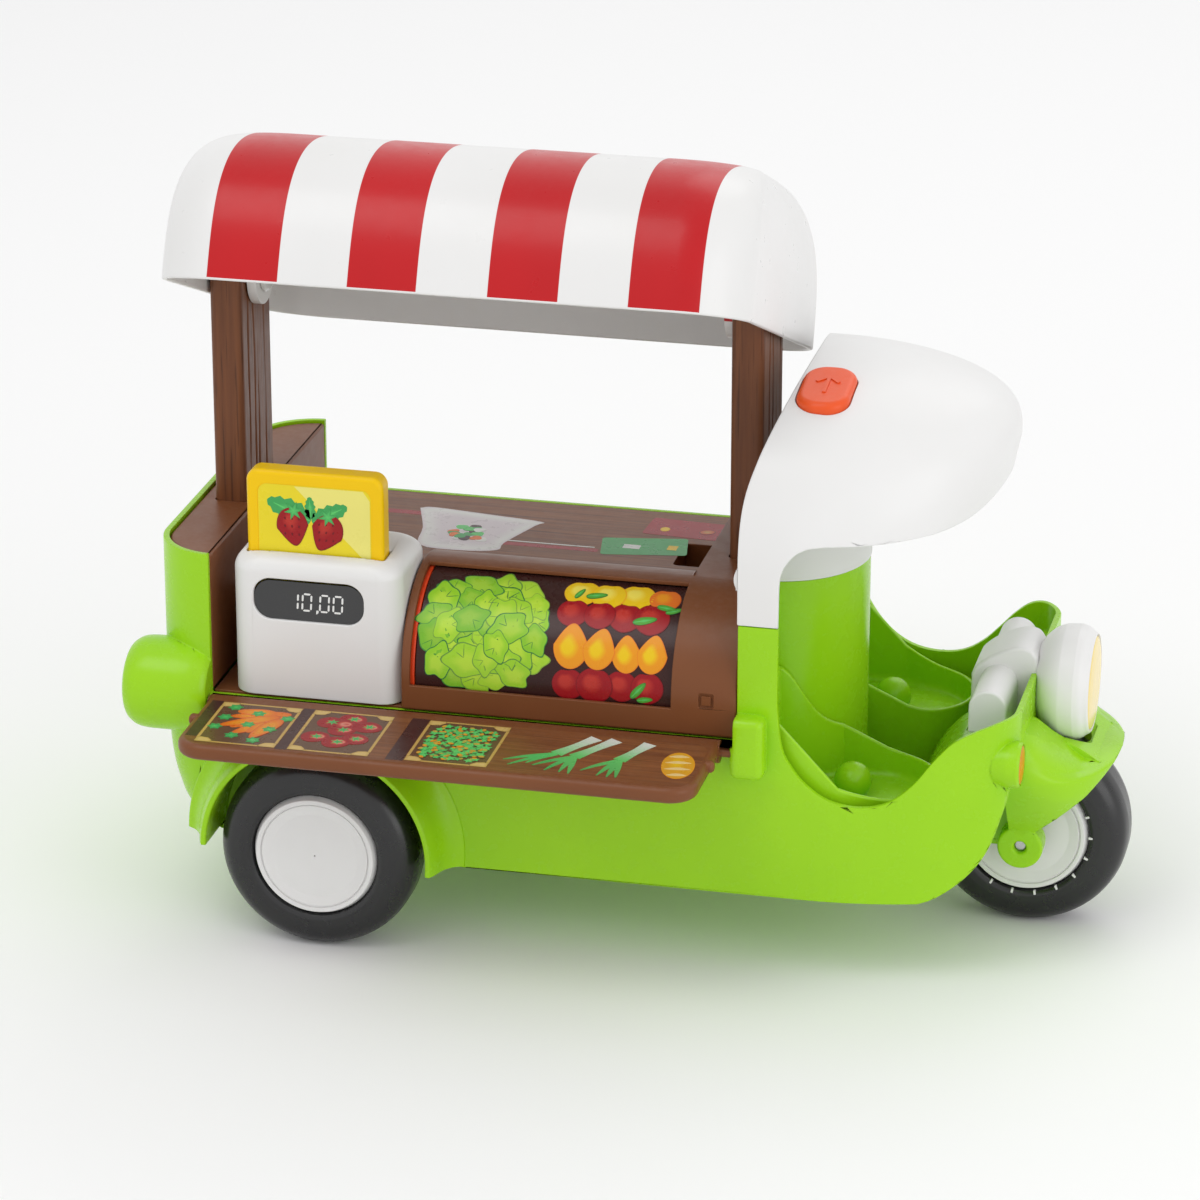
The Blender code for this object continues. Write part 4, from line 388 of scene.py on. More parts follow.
    def round_edges(self, width: float, choose: Callable[[bmesh.types.BMEdge], bool],
                    segments: int = 4) -> "Form":
        """Round chosen edges of a plain form."""
        with self.edited() as bm:
            edges = [e for e in bm.edges if choose(e)]
            bmesh.ops.bevel(bm, geom=edges, offset=width, segments=segments, profile=0.5, affect="EDGES",
                            clamp_overlap=True)
        return self

    def tidy(self, distance: float = 0.02) -> "Form":
        """Merge points that all but meet and drop faces without area."""
        with self.edited() as bm:
            bmesh.ops.remove_doubles(bm, verts=bm.verts, dist=distance)
            bmesh.ops.dissolve_degenerate(bm, edges=bm.edges, dist=distance * 0.5)
        return self

    def soften(self, width: float, angle: float = 38.0, segments: int = 2, merge: float = 0.02) -> "Form":
        """Round every edge that is sharper than an angle."""
        if merge:
            self.tidy(merge)
        step = self.item.modifiers.new("soften", "BEVEL")
        step.width = width
        step.segments = segments
        step.limit_method = "ANGLE"
        step.angle_limit = math.radians(angle)
        step.use_clamp_overlap = False
        step.harden_normals = False
        self._bake()
        return self

    def mirrored(self) -> "Form":
        """The same form on the other side of the middle plane."""
        bm = bmesh.new()
        bm.from_mesh(self.item.data)
        bmesh.ops.scale(bm, vec=(1.0, -1.0, 1.0), verts=bm.verts)
        return Form(bm)

    def outward(self) -> "Form":
        """Point every face outwards."""
        with self.edited() as bm:
            bmesh.ops.recalc_face_normals(bm, faces=bm.faces)
        return self

    def warp(self, move: Callable[[Vector], Vector]) -> "Form":
        """Move every point by a rule."""
        for vertex in self.item.data.vertices:
            vertex.co = move(vertex.co.copy())
        return self


def spot_on(axis: Axis, centre: Pair, along: float, radius: float, angle: float) -> Triple:
    """Point at a distance along an axis, a radius from it."""
    c = radius * math.cos(angle)
    s = radius * math.sin(angle)
    if axis is Axis.X:
        return (along, centre[0] + c, centre[1] + s)
    if axis is Axis.Y:
        return (centre[0] + c, along, centre[1] + s)
    return (centre[0] + c, centre[1] + s, along)


def on_side(side: int, near: float, far: float) -> Pair:
    """Two distances from the middle plane on one side, the lower value first."""
    return (near, far) if side > 0 else (-far, -near)


def rod(axis: Axis, centre: Pair, low: float, high: float, radius: float, count: int = 36) -> Form:
    """Plain round bar."""
    return Form.turned(axis, centre, [(low, 0.0), (low, radius), (high, radius), (high, 0.0)], count)


def round_profile(points: Sequence[Pair], radius: float, count: int = 4) -> list[Pair]:
    """Round the inner corners of an open profile.

    Args:
        points: Corner points of the profile.
        radius: Largest corner radius.
        count: Spans in each rounded corner.

    Returns:
        The finer profile with the same ends.
    """
    made = [points[0]]
    for a, b, c in zip(points, points[1:], points[2:]):
        p, q, r = Vector(a), Vector(b), Vector(c)
        first, second = (p - q), (r - q)
        reach = min(radius, first.length * 0.45, second.length * 0.45)
        start, end = q + first.normalized() * reach, q + second.normalized() * reach
        for i in range(count + 1):
            t = i / count
            spot = start * (1 - t) ** 2 + q * (2 * t * (1 - t)) + end * t * t
            made.append((spot.x, spot.y))
    made.append(points[-1])
    return made


# Node trees


class Sketch:
    """Adds and joins the nodes of one tree."""

    def __init__(self, tree: bpy.types.NodeTree) -> None:
        """Work in a tree that is there already."""
        self.tree = tree
        self.entry: Optional[bpy.types.Node] = None
        self.exit: Optional[bpy.types.Node] = None

    @classmethod
    def group(cls, name: str, kind: str, inputs: Sequence[tuple], outputs: Sequence[tuple]) -> "Sketch":
        """Start a node group with named sockets.

        Args:
            name: Name of the group.
            kind: Type of node tree.
            inputs: (label, socket type, value) of each input.
            outputs: (label, socket type) of each output.

        Returns:
            The sketch with its entry and exit nodes.
        """
        sketch = cls(bpy.data.node_groups.new(name, kind))
        for label, socket_type, value in inputs:
            made = sketch.tree.interface.new_socket(label, in_out="INPUT", socket_type=socket_type)
            if value is not None:
                made.default_value = value
        for label, socket_type in outputs:
            sketch.tree.interface.new_socket(label, in_out="OUTPUT", socket_type=socket_type)
        sketch.entry = sketch.tree.nodes.new("NodeGroupInput")
        sketch.exit = sketch.tree.nodes.new("NodeGroupOutput")
        return sketch

    def feed(self, socket: bpy.types.NodeSocket, value: object) -> None:
        """Join a socket to another, or set its value."""
        if isinstance(value, bpy.types.NodeSocket):
            self.tree.links.new(value, socket)
        elif value is not None:
            socket.default_value = value

    def node(self, kind: str, inputs: Optional[dict] = None, **settings: object) -> bpy.types.Node:
        """Add a node, set its options and feed its inputs."""
        made = self.tree.nodes.new(kind)
        for key, value in settings.items():
            setattr(made, key, value)
        for key, value in (inputs or {}).items():
            self.feed(made.inputs[key], value)
        return made

    def math(self, operation: str, a: object, b: object = None, clamp: bool = False) -> bpy.types.NodeSocket:
        """One sum on two values."""
        return self.node("ShaderNodeMath", {0: a, 1: b}, operation=operation, use_clamp=clamp).outputs[0]

    def span(self, value: object, low: float, high: float, to_low: float = 0.0,
             to_high: float = 1.0) -> bpy.types.NodeSocket:
        """Carry a value from one span to another, held at its ends."""
        inputs = {"Value": value, "From Min": low, "From Max": high, "To Min": to_low, "To Max": to_high}
        return self.node("ShaderNodeMapRange", inputs).outputs[0]

    def blend(self, share: object, a: object, b: object) -> bpy.types.NodeSocket:
        """Mix two colours."""
        full = [value if isinstance(value, bpy.types.NodeSocket) else (*value, 1.0) for value in (a, b)]
        return self.node("ShaderNodeMix", {0: share, 6: full[0], 7: full[1]}, data_type="RGBA").outputs[2]

    def noise(self, place: object, scale: object, detail: float = 2.0,
              rough: float = 0.5) -> bpy.types.NodeSocket:
        """Soft noise value at a place."""
        inputs = {"Vector": place, "Scale": scale, "Detail": detail, "Roughness": rough}
        return self.node("ShaderNodeTexNoise", inputs).outputs["Fac"]


def mould_skin() -> bpy.types.NodeTree:
    """Shader group for moulded plastic: slow flow tone, haze in the gloss and fine grain."""
    s = Sketch.group("mould_skin", "ShaderNodeTree",
                     [("Flow Scale", "NodeSocketFloat", 16.0), ("Grain Scale", "NodeSocketFloat", 2400.0)],
                     [("Tone", "NodeSocketFloat"), ("Haze", "NodeSocketFloat"),
                      ("Height", "NodeSocketFloat")])
    place = s.node("ShaderNodeTexCoord").outputs["Object"]
    flow = s.noise(place, s.entry.outputs["Flow Scale"], 3.0)
    haze = s.noise(place, 170.0, 4.0, 0.6)
    grain = s.noise(place, s.entry.outputs["Grain Scale"], 1.0)
    sink = s.noise(place, 60.0, 1.0)
    s.feed(s.exit.inputs["Tone"], s.span(flow, 0.32, 0.68))
    s.feed(s.exit.inputs["Haze"], s.span(haze, 0.3, 0.7))
    s.feed(s.exit.inputs["Height"],
           s.math("ADD", s.math("MULTIPLY", grain, 0.35), s.math("MULTIPLY", sink, 0.65)))
    return s.tree


def handling_wear() -> bpy.types.NodeTree:
    """Shader group for faint rub marks: thin scuffs that gather in patches."""
    s = Sketch.group("handling_wear", "ShaderNodeTree", [("Amount", "NodeSocketFloat", 0.5)],
                     [("Scuff", "NodeSocketFloat")])
    place = s.node("ShaderNodeTexCoord").outputs["Object"]
    patch = s.span(s.noise(place, 34.0, 2.0), 0.5, 0.72)
    turned = s.node("ShaderNodeMapping",
                    {"Vector": place, "Rotation": (0.5, 0.35, 0.7), "Scale": (90.0, 1500.0, 260.0)})
    thin = s.span(s.noise(turned.outputs[0], 1.0, 2.0, 0.6), 0.66, 0.8)
    mark = s.math("MULTIPLY", s.math("MULTIPLY", patch, thin), s.entry.outputs["Amount"], True)
    s.feed(s.exit.inputs["Scuff"], mark)
    return s.tree


def settled_dust() -> bpy.types.NodeTree:
    """Shader group for a trace of dust on faces that look up."""
    s = Sketch.group("settled_dust", "ShaderNodeTree", [("Amount", "NodeSocketFloat", 0.1)],
                     [("Dust", "NodeSocketFloat")])
    place = s.node("ShaderNodeTexCoord").outputs["Object"]
    up = s.node("ShaderNodeSeparateXYZ", {0: s.node("ShaderNodeNewGeometry").outputs["Normal"]}).outputs["Z"]
    speck = s.span(s.noise(place, 420.0, 5.0, 0.7), 0.42, 0.75)
    dust = s.math("MULTIPLY", s.math("MULTIPLY", s.span(up, 0.5, 1.0), speck), s.entry.outputs["Amount"],
                  True)
    s.feed(s.exit.inputs["Dust"], dust)
    return s.tree


def timber_grain() -> bpy.types.NodeTree:
    """Shader group for printed or moulded timber: long streaks along one direction."""
    s = Sketch.group("timber_grain", "ShaderNodeTree",
                     [("Stretch", "NodeSocketVector", (20.0, 500.0, 500.0)),
                      ("Seed", "NodeSocketVector", (0.0, 0.0, 0.0))],
                     [("Streak", "NodeSocketFloat"), ("Line", "NodeSocketFloat")])
    place = s.node("ShaderNodeTexCoord").outputs["Object"]
    laid = s.node("ShaderNodeVectorMath", {0: place, 1: s.entry.outputs["Stretch"]}, operation="MULTIPLY")
    moved = s.node("ShaderNodeVectorMath", {0: laid.outputs[0], 1: s.entry.outputs["Seed"]},
                   operation="ADD").outputs[0]
    streak = s.span(s.noise(moved, 1.0, 4.0, 0.55), 0.34, 0.66)
    line = s.span(s.noise(moved, 2.3, 1.5, 0.4), 0.6, 0.7)
    s.feed(s.exit.inputs["Streak"], streak)
    s.feed(s.exit.inputs["Line"], line)
    return s.tree


GROUPS = {tree.name: tree for tree in (mould_skin(), handling_wear(), settled_dust(), timber_grain())}


def use(sketch: Sketch, group: str, **values: object) -> bpy.types.Node:
    """Place a shader group in a material with its own values."""
    made = sketch.node("ShaderNodeGroup", node_tree=GROUPS[group])
    for label, value in values.items():
        sketch.feed(made.inputs[label.replace("_", " ").title()], value)
    return made


# Finishes


@dataclass(frozen=True)
class Moulded:
    """Satin moulded plastic with flow tone, faint haze, scuffs and dust."""

    name: str
    colour: Colour
    deep: Colour
    roughness: float = 0.34
    grain: float = 0.05
    wear: float = 0.12
    dust: float = 0.04
    coat: float = 0.0
    metallic: float = 0.0
    specular: float = 0.30

    def base(self, s: Sketch, tone: bpy.types.NodeSocket) -> bpy.types.NodeSocket:
        """Colour of the clean plastic."""
        return s.blend(tone, self.colour, self.deep)

    def relief(self, s: Sketch, height: bpy.types.NodeSocket) -> bpy.types.NodeSocket:
        """Height of the fine relief."""
        return height

    def material(self) -> bpy.types.Material:
        """Make the material, once for each finish."""
        found = bpy.data.materials.get(self.name)
        if found:
            return found
        made = bpy.data.materials.new(self.name)
        made.use_nodes = True
        s = Sketch(made.node_tree)
        shader = made.node_tree.nodes["Principled BSDF"]
        skin = use(s, "mould_skin")
        scuff = use(s, "handling_wear", amount=self.wear).outputs["Scuff"]
        dust = use(s, "settled_dust", amount=self.dust).outputs["Dust"]
        base = self.base(s, skin.outputs["Tone"])
        worn = s.blend(s.math("MULTIPLY", scuff, 0.35), base,
                       tuple(min(1.0, c * 1.3 + 0.03) for c in self.colour))
        s.feed(shader.inputs["Base Color"], s.blend(dust, worn, (0.62, 0.60, 0.56)))
        rough = s.math("ADD",
                       s.span(skin.outputs["Haze"], 0.0, 1.0, self.roughness - 0.03, self.roughness + 0.05),
                       s.math("MULTIPLY", s.math("ADD", scuff, dust), 0.3))
        s.feed(shader.inputs["Roughness"], rough)
        shader.inputs["Metallic"].default_value = self.metallic
        shader.inputs["Specular IOR Level"].default_value = self.specular
        shader.inputs["Coat Weight"].default_value = self.coat
        shader.inputs["Coat Roughness"].default_value = 0.12
        height = self.relief(s, skin.outputs["Height"])
        bump = s.node("ShaderNodeBump", {"Strength": 0.35, "Distance": self.grain * MM, "Height": height})
        s.feed(shader.inputs["Normal"], bump.outputs[0])
        made.diffuse_color = (*self.colour, 1.0)
        return made


@dataclass(frozen=True)
class Striped(Moulded):
    """White canopy plastic with red bands printed across it."""

    band: Colour = (0.55, 0.012, 0.016)
    edges: tuple[Pair, ...] = ()
    shift_x: float = 0.0

    def base(self, s: Sketch, tone: bpy.types.NodeSocket) -> bpy.types.NodeSocket:
        """White with the bands laid over it."""
        plain = s.blend(tone, self.colour, self.deep)
        place = s.node("ShaderNodeSeparateXYZ", {0: s.node("ShaderNodeTexCoord").outputs["Object"]})
        x = place.outputs["X"]
        total: Optional[bpy.types.NodeSocket] = None
        for low, high in self.edges:
            rise = s.span(x, self.shift_x + (low - 0.1) * MM, self.shift_x + (low + 0.1) * MM)
            fall = s.span(x, self.shift_x + (high - 0.1) * MM, self.shift_x + (high + 0.1) * MM)
            one = s.math("SUBTRACT", rise, fall, True)
            total = one if total is None else s.math("ADD", total, one, True)
        printed = s.node("ShaderNodeAttribute", attribute_name="printed").outputs["Fac"]
        band = s.blend(tone, self.band, tuple(c * 0.9 for c in self.band))
        return s.blend(s.math("MULTIPLY", total, printed), plain, band)


@dataclass(frozen=True)
class Timber(Moulded):
    """Brown plastic moulded or printed like timber."""

    stretch: Triple = (500.0, 500.0, 18.0)
    dark: Colour = (0.03, 0.011, 0.006)
    lines: float = 0.5

    def base(self, s: Sketch, tone: bpy.types.NodeSocket) -> bpy.types.NodeSocket:
        """Brown with streaks and dark lines."""
        grain = use(s, "timber_grain", stretch=self.stretch)
        streaked = s.blend(grain.outputs["Streak"], self.colour, self.deep)
        return s.blend(s.math("MULTIPLY", grain.outputs["Line"], self.lines), streaked, self.dark)

    def relief(self, s: Sketch, height: bpy.types.NodeSocket) -> bpy.types.NodeSocket:
        """Fine relief with the streaks cut in."""
        grain = use(s, "timber_grain", stretch=self.stretch)
        return s.math("SUBTRACT", height, s.math("MULTIPLY", grain.outputs["Line"], 1.5))


@dataclass(frozen=True)
class Ink(Moulded):
    """Glossy printed label whose colours are in the piece's own attribute."""

    attribute: str = "ink"

    def base(self, s: Sketch, tone: bpy.types.NodeSocket) -> bpy.types.NodeSocket:
        """The label's colours with a trace of the film's tone."""
        ink = s.node("ShaderNodeAttribute", attribute_name=self.attribute).outputs["Color"]
        return s.blend(s.math("MULTIPLY", tone, 0.08), ink, self.deep)


LEAF_GREEN = Moulded("leaf_green_plastic", (0.33, 0.665, 0.008), (0.305, 0.63, 0.006), 0.25, 0.015)
SOFT_WHITE = Moulded("white_plastic", (0.79, 0.785, 0.78), (0.765, 0.76, 0.75), 0.32, 0.02, 0.08, 0.01)
NUT_BROWN = Moulded("brown_plastic", (0.20, 0.068, 0.022), (0.175, 0.056, 0.018), 0.38, 0.05)
CARVED_BROWN = Timber("carved_brown_plastic", (0.19, 0.066, 0.024), (0.14, 0.048, 0.019), 0.40, 0.12,
                      stretch=(420.0, 420.0, 16.0), lines=0.45)
CARD_YELLOW = Moulded("card_yellow_plastic", (0.90, 0.58, 0.002), (0.87, 0.54, 0.002), 0.32, 0.03,
                      specular=0.2)
BUTTON_ORANGE = Moulded("button_orange_plastic", (0.83, 0.10, 0.018), (0.78, 0.085, 0.014), 0.32, 0.03)
RIM_ORANGE = Moulded("drum_rim_orange", (0.80, 0.065, 0.012), (0.72, 0.05, 0.01), 0.3, 0.03)
LAMP_AMBER = Moulded("signal_amber", (0.76, 0.24, 0.003), (0.70, 0.20, 0.002), 0.24, 0.02)
LAMP_RED = Moulded("tail_red", (0.52, 0.012, 0.01), (0.46, 0.01, 0.008), 0.22, 0.02, coat=0.3)
LAMP_CREAM = Moulded("lamp_yellow", (0.90, 0.72, 0.26), (0.86, 0.67, 0.22), 0.20, 0.02, coat=0.12)
SMOKE_BLACK = Moulded("display_black", (0.010, 0.010, 0.011), (0.014, 0.014, 0.015), 0.12, 0.01, coat=0.5,
                      specular=0.5)
TYRE_BLACK = Moulded("tyre_black", (0.009, 0.009, 0.010), (0.012, 0.012, 0.013), 0.28, 0.05, 0.2, 0.06,
                     specular=0.55)
SPRING_STEEL = Moulded("bright_steel", (0.55, 0.55, 0.56), (0.46, 0.46, 0.47), 0.26, 0.02, 0.5, 0.04,
                       metallic=1.0)
PIN_CLEAR = Moulded("pivot_milky", (0.70, 0.71, 0.69), (0.66, 0.67, 0.65), 0.22, 0.02, coat=0.3)
LABEL_INK = Ink("printed_label", (0.5, 0.5, 0.5), (0.10, 0.05, 0.03), 0.28, 0.02, 0.05, 0.02, coat=0.06,
                specular=0.22)
LABEL_GROUND = Moulded("label_ground", (0.045, 0.013, 0.010), (0.032, 0.009, 0.008), 0.26, 0.02, 0.1, 0.02,
                       coat=0.06, specular=0.22)
PRINTED_PLANK = Timber("printed_plank", (0.245, 0.092, 0.032), (0.16, 0.056, 0.022), 0.34, 0.02, 0.1, 0.03,
                       specular=0.22, stretch=(14.0, 520.0, 520.0), dark=(0.07, 0.024, 0.012), lines=0.6)
DIGIT_WHITE = Moulded("digit_white", (0.85, 0.86, 0.84), (0.80, 0.81, 0.80), 0.4, 0.01, 0.1, 0.0)


def carry(form: Form, name: str, finish: Moulded) -> bpy.types.Object:
    """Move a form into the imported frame, name it and give it its finish."""
    item = form.item
    item.name = name
    item.data.name = name
    item.data.transform(Matrix.Translation(SHIFT) @ Matrix.Scale(MM, 4))
    item.data.materials.clear()
    item.data.materials.append(finish.material())
    item.data.shade_smooth()
    return item


def show(form: Form, name: str, body: str, finish: Moulded, stands_for: Sequence[str] = (),
         sharp: float = 40.0, weighted: bool = True) -> bpy.types.Object:
    """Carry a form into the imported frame, dress it and hang it on its body.

    Args:
        form: The finished form in the truck's own millimetres.
        name: Name of the piece.
        body: Body that it rides on.
        finish: Finish that it wears.
        stands_for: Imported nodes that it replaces.
        sharp: Angle in degrees past which an edge is sharp.
        weighted: Whether broad faces lead the shading.

    Returns:
        The piece.
    """
    item = carry(form, name, finish)
    item.data.set_sharp_from_angle(angle=math.radians(sharp))
    if weighted:
        step = item.modifiers.new("even", "WEIGHTED_NORMAL")
        step.keep_sharp = True
        step.weight = 60
        form._bake()
        item.data.name = name
    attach(item, body)
    if stands_for:
        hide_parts(*stands_for)
    LOG.info("%s: %d faces on %s", name, len(item.data.polygons), body)
    return item


def show_stretched(form: Form, name: str,
                   finish: Moulded) -> bpy.types.Object:
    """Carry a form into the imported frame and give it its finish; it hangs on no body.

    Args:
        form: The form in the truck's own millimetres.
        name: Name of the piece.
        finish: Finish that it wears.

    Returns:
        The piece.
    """
    item = carry(form, name, finish)
    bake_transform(item)
    return item


def packed(name: str) -> list[bpy.types.Object]:
    """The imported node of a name, as a list that is empty if it isn't there."""
    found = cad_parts.get(name)
    return [found] if found else []


# Canopy, columns and their lift


@dataclass
class Canopy:
    """White loaf-shaped canopy with red bands, two ears, and the columns that carry it."""

    span_x: Pair = (-157.0, 74.0)
    half_width: float = 91.0
    height: float = 63.84
    wall: float = 2.2
    corner: float = 26.0
    end_curve: float = 24.0
    arch_power: float = 3.1
    end_power: float = 3.5
    tilt: float = 22.2
    pivot_z: float = 246.0
    rim_drop: float = 11.2
    ear_radius: float = 13.2
    ear_thickness: float = 3.6
    column_size: Pair = (13.0, 40.0)
    column_x: Pair = (-147.1, 63.0)
    column_foot: float = 129.0
    grooves: tuple[tuple[float, ...], ...] = ((0.22, 0.4, 0.52, 0.74), (0.31, 0.47, 0.66, 0.83))
    room: float = 0.6
    bands: tuple[Pair, ...] = ((-132.4, -104.6), (-77.3, -50.4), (-22.8, 4.3), (31.2, 58.0))

    def ring(self, turn: float, wall: float, lift: float = 0.0) -> Ring:
        """One level of the shell; turn runs from 0 degrees at the rim to 90 at the crown."""
        share = math.sin(math.radians(turn)) ** (2.0 / self.arch_power)
        spread = math.cos(math.radians(turn)) ** (2.0 / self.arch_power)
        end = (1.0 - (1.0 - share ** self.end_power) ** (1.0 / self.end_power)) * self.end_curve
        half_x = (self.span_x[1] - self.span_x[0]) / 2 - wall - end
        outline = rounded(half_x, (self.half_width - wall) * spread, self.corner - wall, steps(18),
                          (sum(self.span_x) / 2, 0.0))
        z = self.pivot_z - self.rim_drop + (self.height - wall) * share + lift
        return at_height(outline, z)

    def tip(self, spot: Vector) -> Vector:
        """Tip a point about the pivot, near side up."""
        turn = math.radians(self.tilt)
        up = spot.z - self.pivot_z
        return Vector((spot.x, spot.y * math.cos(turn) + up * math.sin(turn),
                       self.pivot_z - spot.y * math.sin(turn) + up * math.cos(turn)))

    def ears(self) -> Pair:
        """Where the two ears hang, just inside the columns."""
        beside = self.column_size[0] / 2 + self.room + self.ear_thickness / 2
        return self.column_x[0] + beside, self.column_x[1] - beside

    def shell(self) -> Form:
        """The shell with a round rim and both ears."""
        count = steps(44)
        turns = [88.6 * i / count for i in range(count + 1)]
        w = self.wall
        outer = [self.ring(t, 0.0) for t in reversed(turns[1:])]
        rim = [self.ring(0.0, 0.0, 0.8), self.ring(0.0, 0.2, 0.22), self.ring(0.0, w * 0.35, 0.0),
               self.ring(0.0, w * 0.65, 0.0), self.ring(0.0, w - 0.2, 0.22), self.ring(0.0, w, 0.8)]
        inner = [self.ring(t, w) for t in turns[1:]]
        form = Form.loft(outer + rim + inner)
        crown = self.pivot_z - self.rim_drop + self.height - w * 0.5
        for x in self.ears():
            r = self.ear_radius
            outline = arc((0.0, self.pivot_z), r, 180, 360, 41) + [(r, crown), (-r, crown)]
            ear = Form.prism(Axis.X, outline, x - self.ear_thickness / 2, x + self.ear_thickness / 2)
            form.fuse(ear)
        return form.tidy(0.01)

    def mark_outside(self, item: bpy.types.Object) -> None:
        """Store 1 on the faces that carry the printed bands: the shell's outside."""
        mesh = item.data
        mask = mesh.attributes.new("printed", "FLOAT", "FACE")
        turn = math.radians(self.tilt)
        pivot = Vector((0.0, 0.0, self.pivot_z)) * MM + SHIFT
        heart = Vector((sum(self.span_x) / 2, 0.0, self.pivot_z - 60.0)) * MM + SHIFT
        for face in mesh.polygons:
            spot = face.center
            low = (spot - pivot).y * math.sin(turn) + (spot - pivot).z * math.cos(turn)
            above = low > (-self.rim_drop + 0.9) * MM
            mask.data[face.index].value = 1.0 if above and face.normal.dot(spot - heart) > 0.0 else 0.0

    def column(self, x: float, rearmost: bool) -> Form:
        """One flat post with a round head and grooves in its broad faces."""
        half_x, half_y = self.column_size[0] / 2, self.column_size[1] / 2
        across, rows = steps(84), steps(60)
        seeds = self.grooves[1 if x > 0 else 0]
        levels = [self.column_foot + (self.pivot_z - self.column_foot) * i / rows for i in range(rows + 1)]

        def groove(share: float, z: float, side: float) -> float:
            """Depth of the moulded grooves at a place across and up a broad face."""
            depth = 0.0
            for number, seed in enumerate(seeds):
                line = seed + 0.05 * noise.noise(Vector((number * 7.1, z * 0.022, side * 3.0)))
                width = 0.010 + 0.012 * (0.5 + noise.noise(Vector((number * 3.3 + 9.0, z * 0.05, side))))
                drift = noise.noise(Vector((number * 5.7 + 2.0, z * 0.017, side * 2.0)))
                reach = max(0.0, min(1.0, 1.6 * drift + 0.75))
                gap = (share - line) / max(width, 0.006)
                depth += reach * 0.75 * math.exp(-gap * gap)
            return min(depth, 0.95)

        def section(z: float, head: float) -> Ring:
            """Closed plan of the post at a height, narrowed by head in its round top."""
            reach = half_y * head
            outline = rounded(half_x, max(reach, 1.2), min(2.4, max(reach, 1.2) * 0.9), 5)
            ring: Ring = []
            for px, py in dense(outline):
                depth = 0.0
                if abs(px) > half_x - 0.02:
                    depth = groove(0.5 + py / (2 * half_y), z, math.copysign(1.0, px))
                ring.append((x + px - math.copysign(depth, px), py, z))
            return ring

        def dense(outline: Outline) -> Outline:
            """Same outline with its long sides split at a fixed number of places."""
            made: Outline = []
            for i, here in enumerate(outline):
                there = outline[(i + 1) % len(outline)]
                made.append(here)
                if i % 6 == 5:
                    spans = across if abs(here[1] - there[1]) > abs(here[0] - there[0]) else 6
                    for k in range(1, spans):
                        t = k / spans
                        made.append((here[0] + (there[0] - here[0]) * t, here[1] + (there[1] - here[1]) * t))
            return made

        rings = [section(z, 1.0) for z in levels]
        top = steps(26)
        for i in range(1, top + 1):
            turn = math.radians(90.0 * i / top)
            rings.append(section(self.pivot_z + half_y * math.sin(turn) - 0.01, max(math.cos(turn), 0.07)))
        post = Form.loft(rings)
        if rearmost:
            foot = [(x - half_x - 1.0, self.column_foot - 1.0), (x - half_x + 2.0, self.column_foot - 1.0),
                    (x - half_x - 1.0, self.column_foot + 9.0)]
            post.cut(Form.prism(Axis.Y, foot, -half_y - 1.0, half_y + 1.0))
        return post

    def pin(self, column_x: float, ear_x: float) -> Form:
        """Milky pivot pin with a broad domed head on the ear's side."""
        toward = 1.0 if ear_x > column_x else -1.0
        start = column_x - toward * (self.column_size[0] / 2 - 0.6)
        head = ear_x + toward * (self.ear_thickness / 2 + 0.3)
        r = self.ear_radius
        profile = [(start, 0.0), (start, 2.5), (head, 2.5), (head, r * 0.62), (head + toward * 0.7, r * 0.62),
                   (head + toward * 1.3, r * 0.58), (head + toward * 1.6, r * 0.5),
                   (head + toward * 1.6, 0.0)]
        return Form.turned(Axis.X, (0.0, self.pivot_z), profile, steps(48))

    def build(self) -> None:
        """Make the canopy, its pins and the columns."""
        finish = Striped("striped_canopy_plastic", SOFT_WHITE.colour, SOFT_WHITE.deep, 0.30, 0.02, 0.06, 0.01,
                         coat=0.04, band=(0.52, 0.004, 0.008), edges=self.bands, shift_x=SHIFT.x)
        shell = self.shell().warp(self.tip)
        item = show(shell, "canopy", "canopy", finish, ["canopy_shell"], 50.0)
        self.mark_outside(item)
        for x, ear, word in zip(self.column_x, self.ears(), ("rear", "front")):
            show(self.column(x, word == "rear"), f"{word}_post", "lift", CARVED_BROWN,
                 [f"{word}_column"], 55.0)
            show(self.pin(x, ear), f"{word}_pivot", "canopy", PIN_CLEAR, [f"{word}_pivot_pin"])


# Cab roof


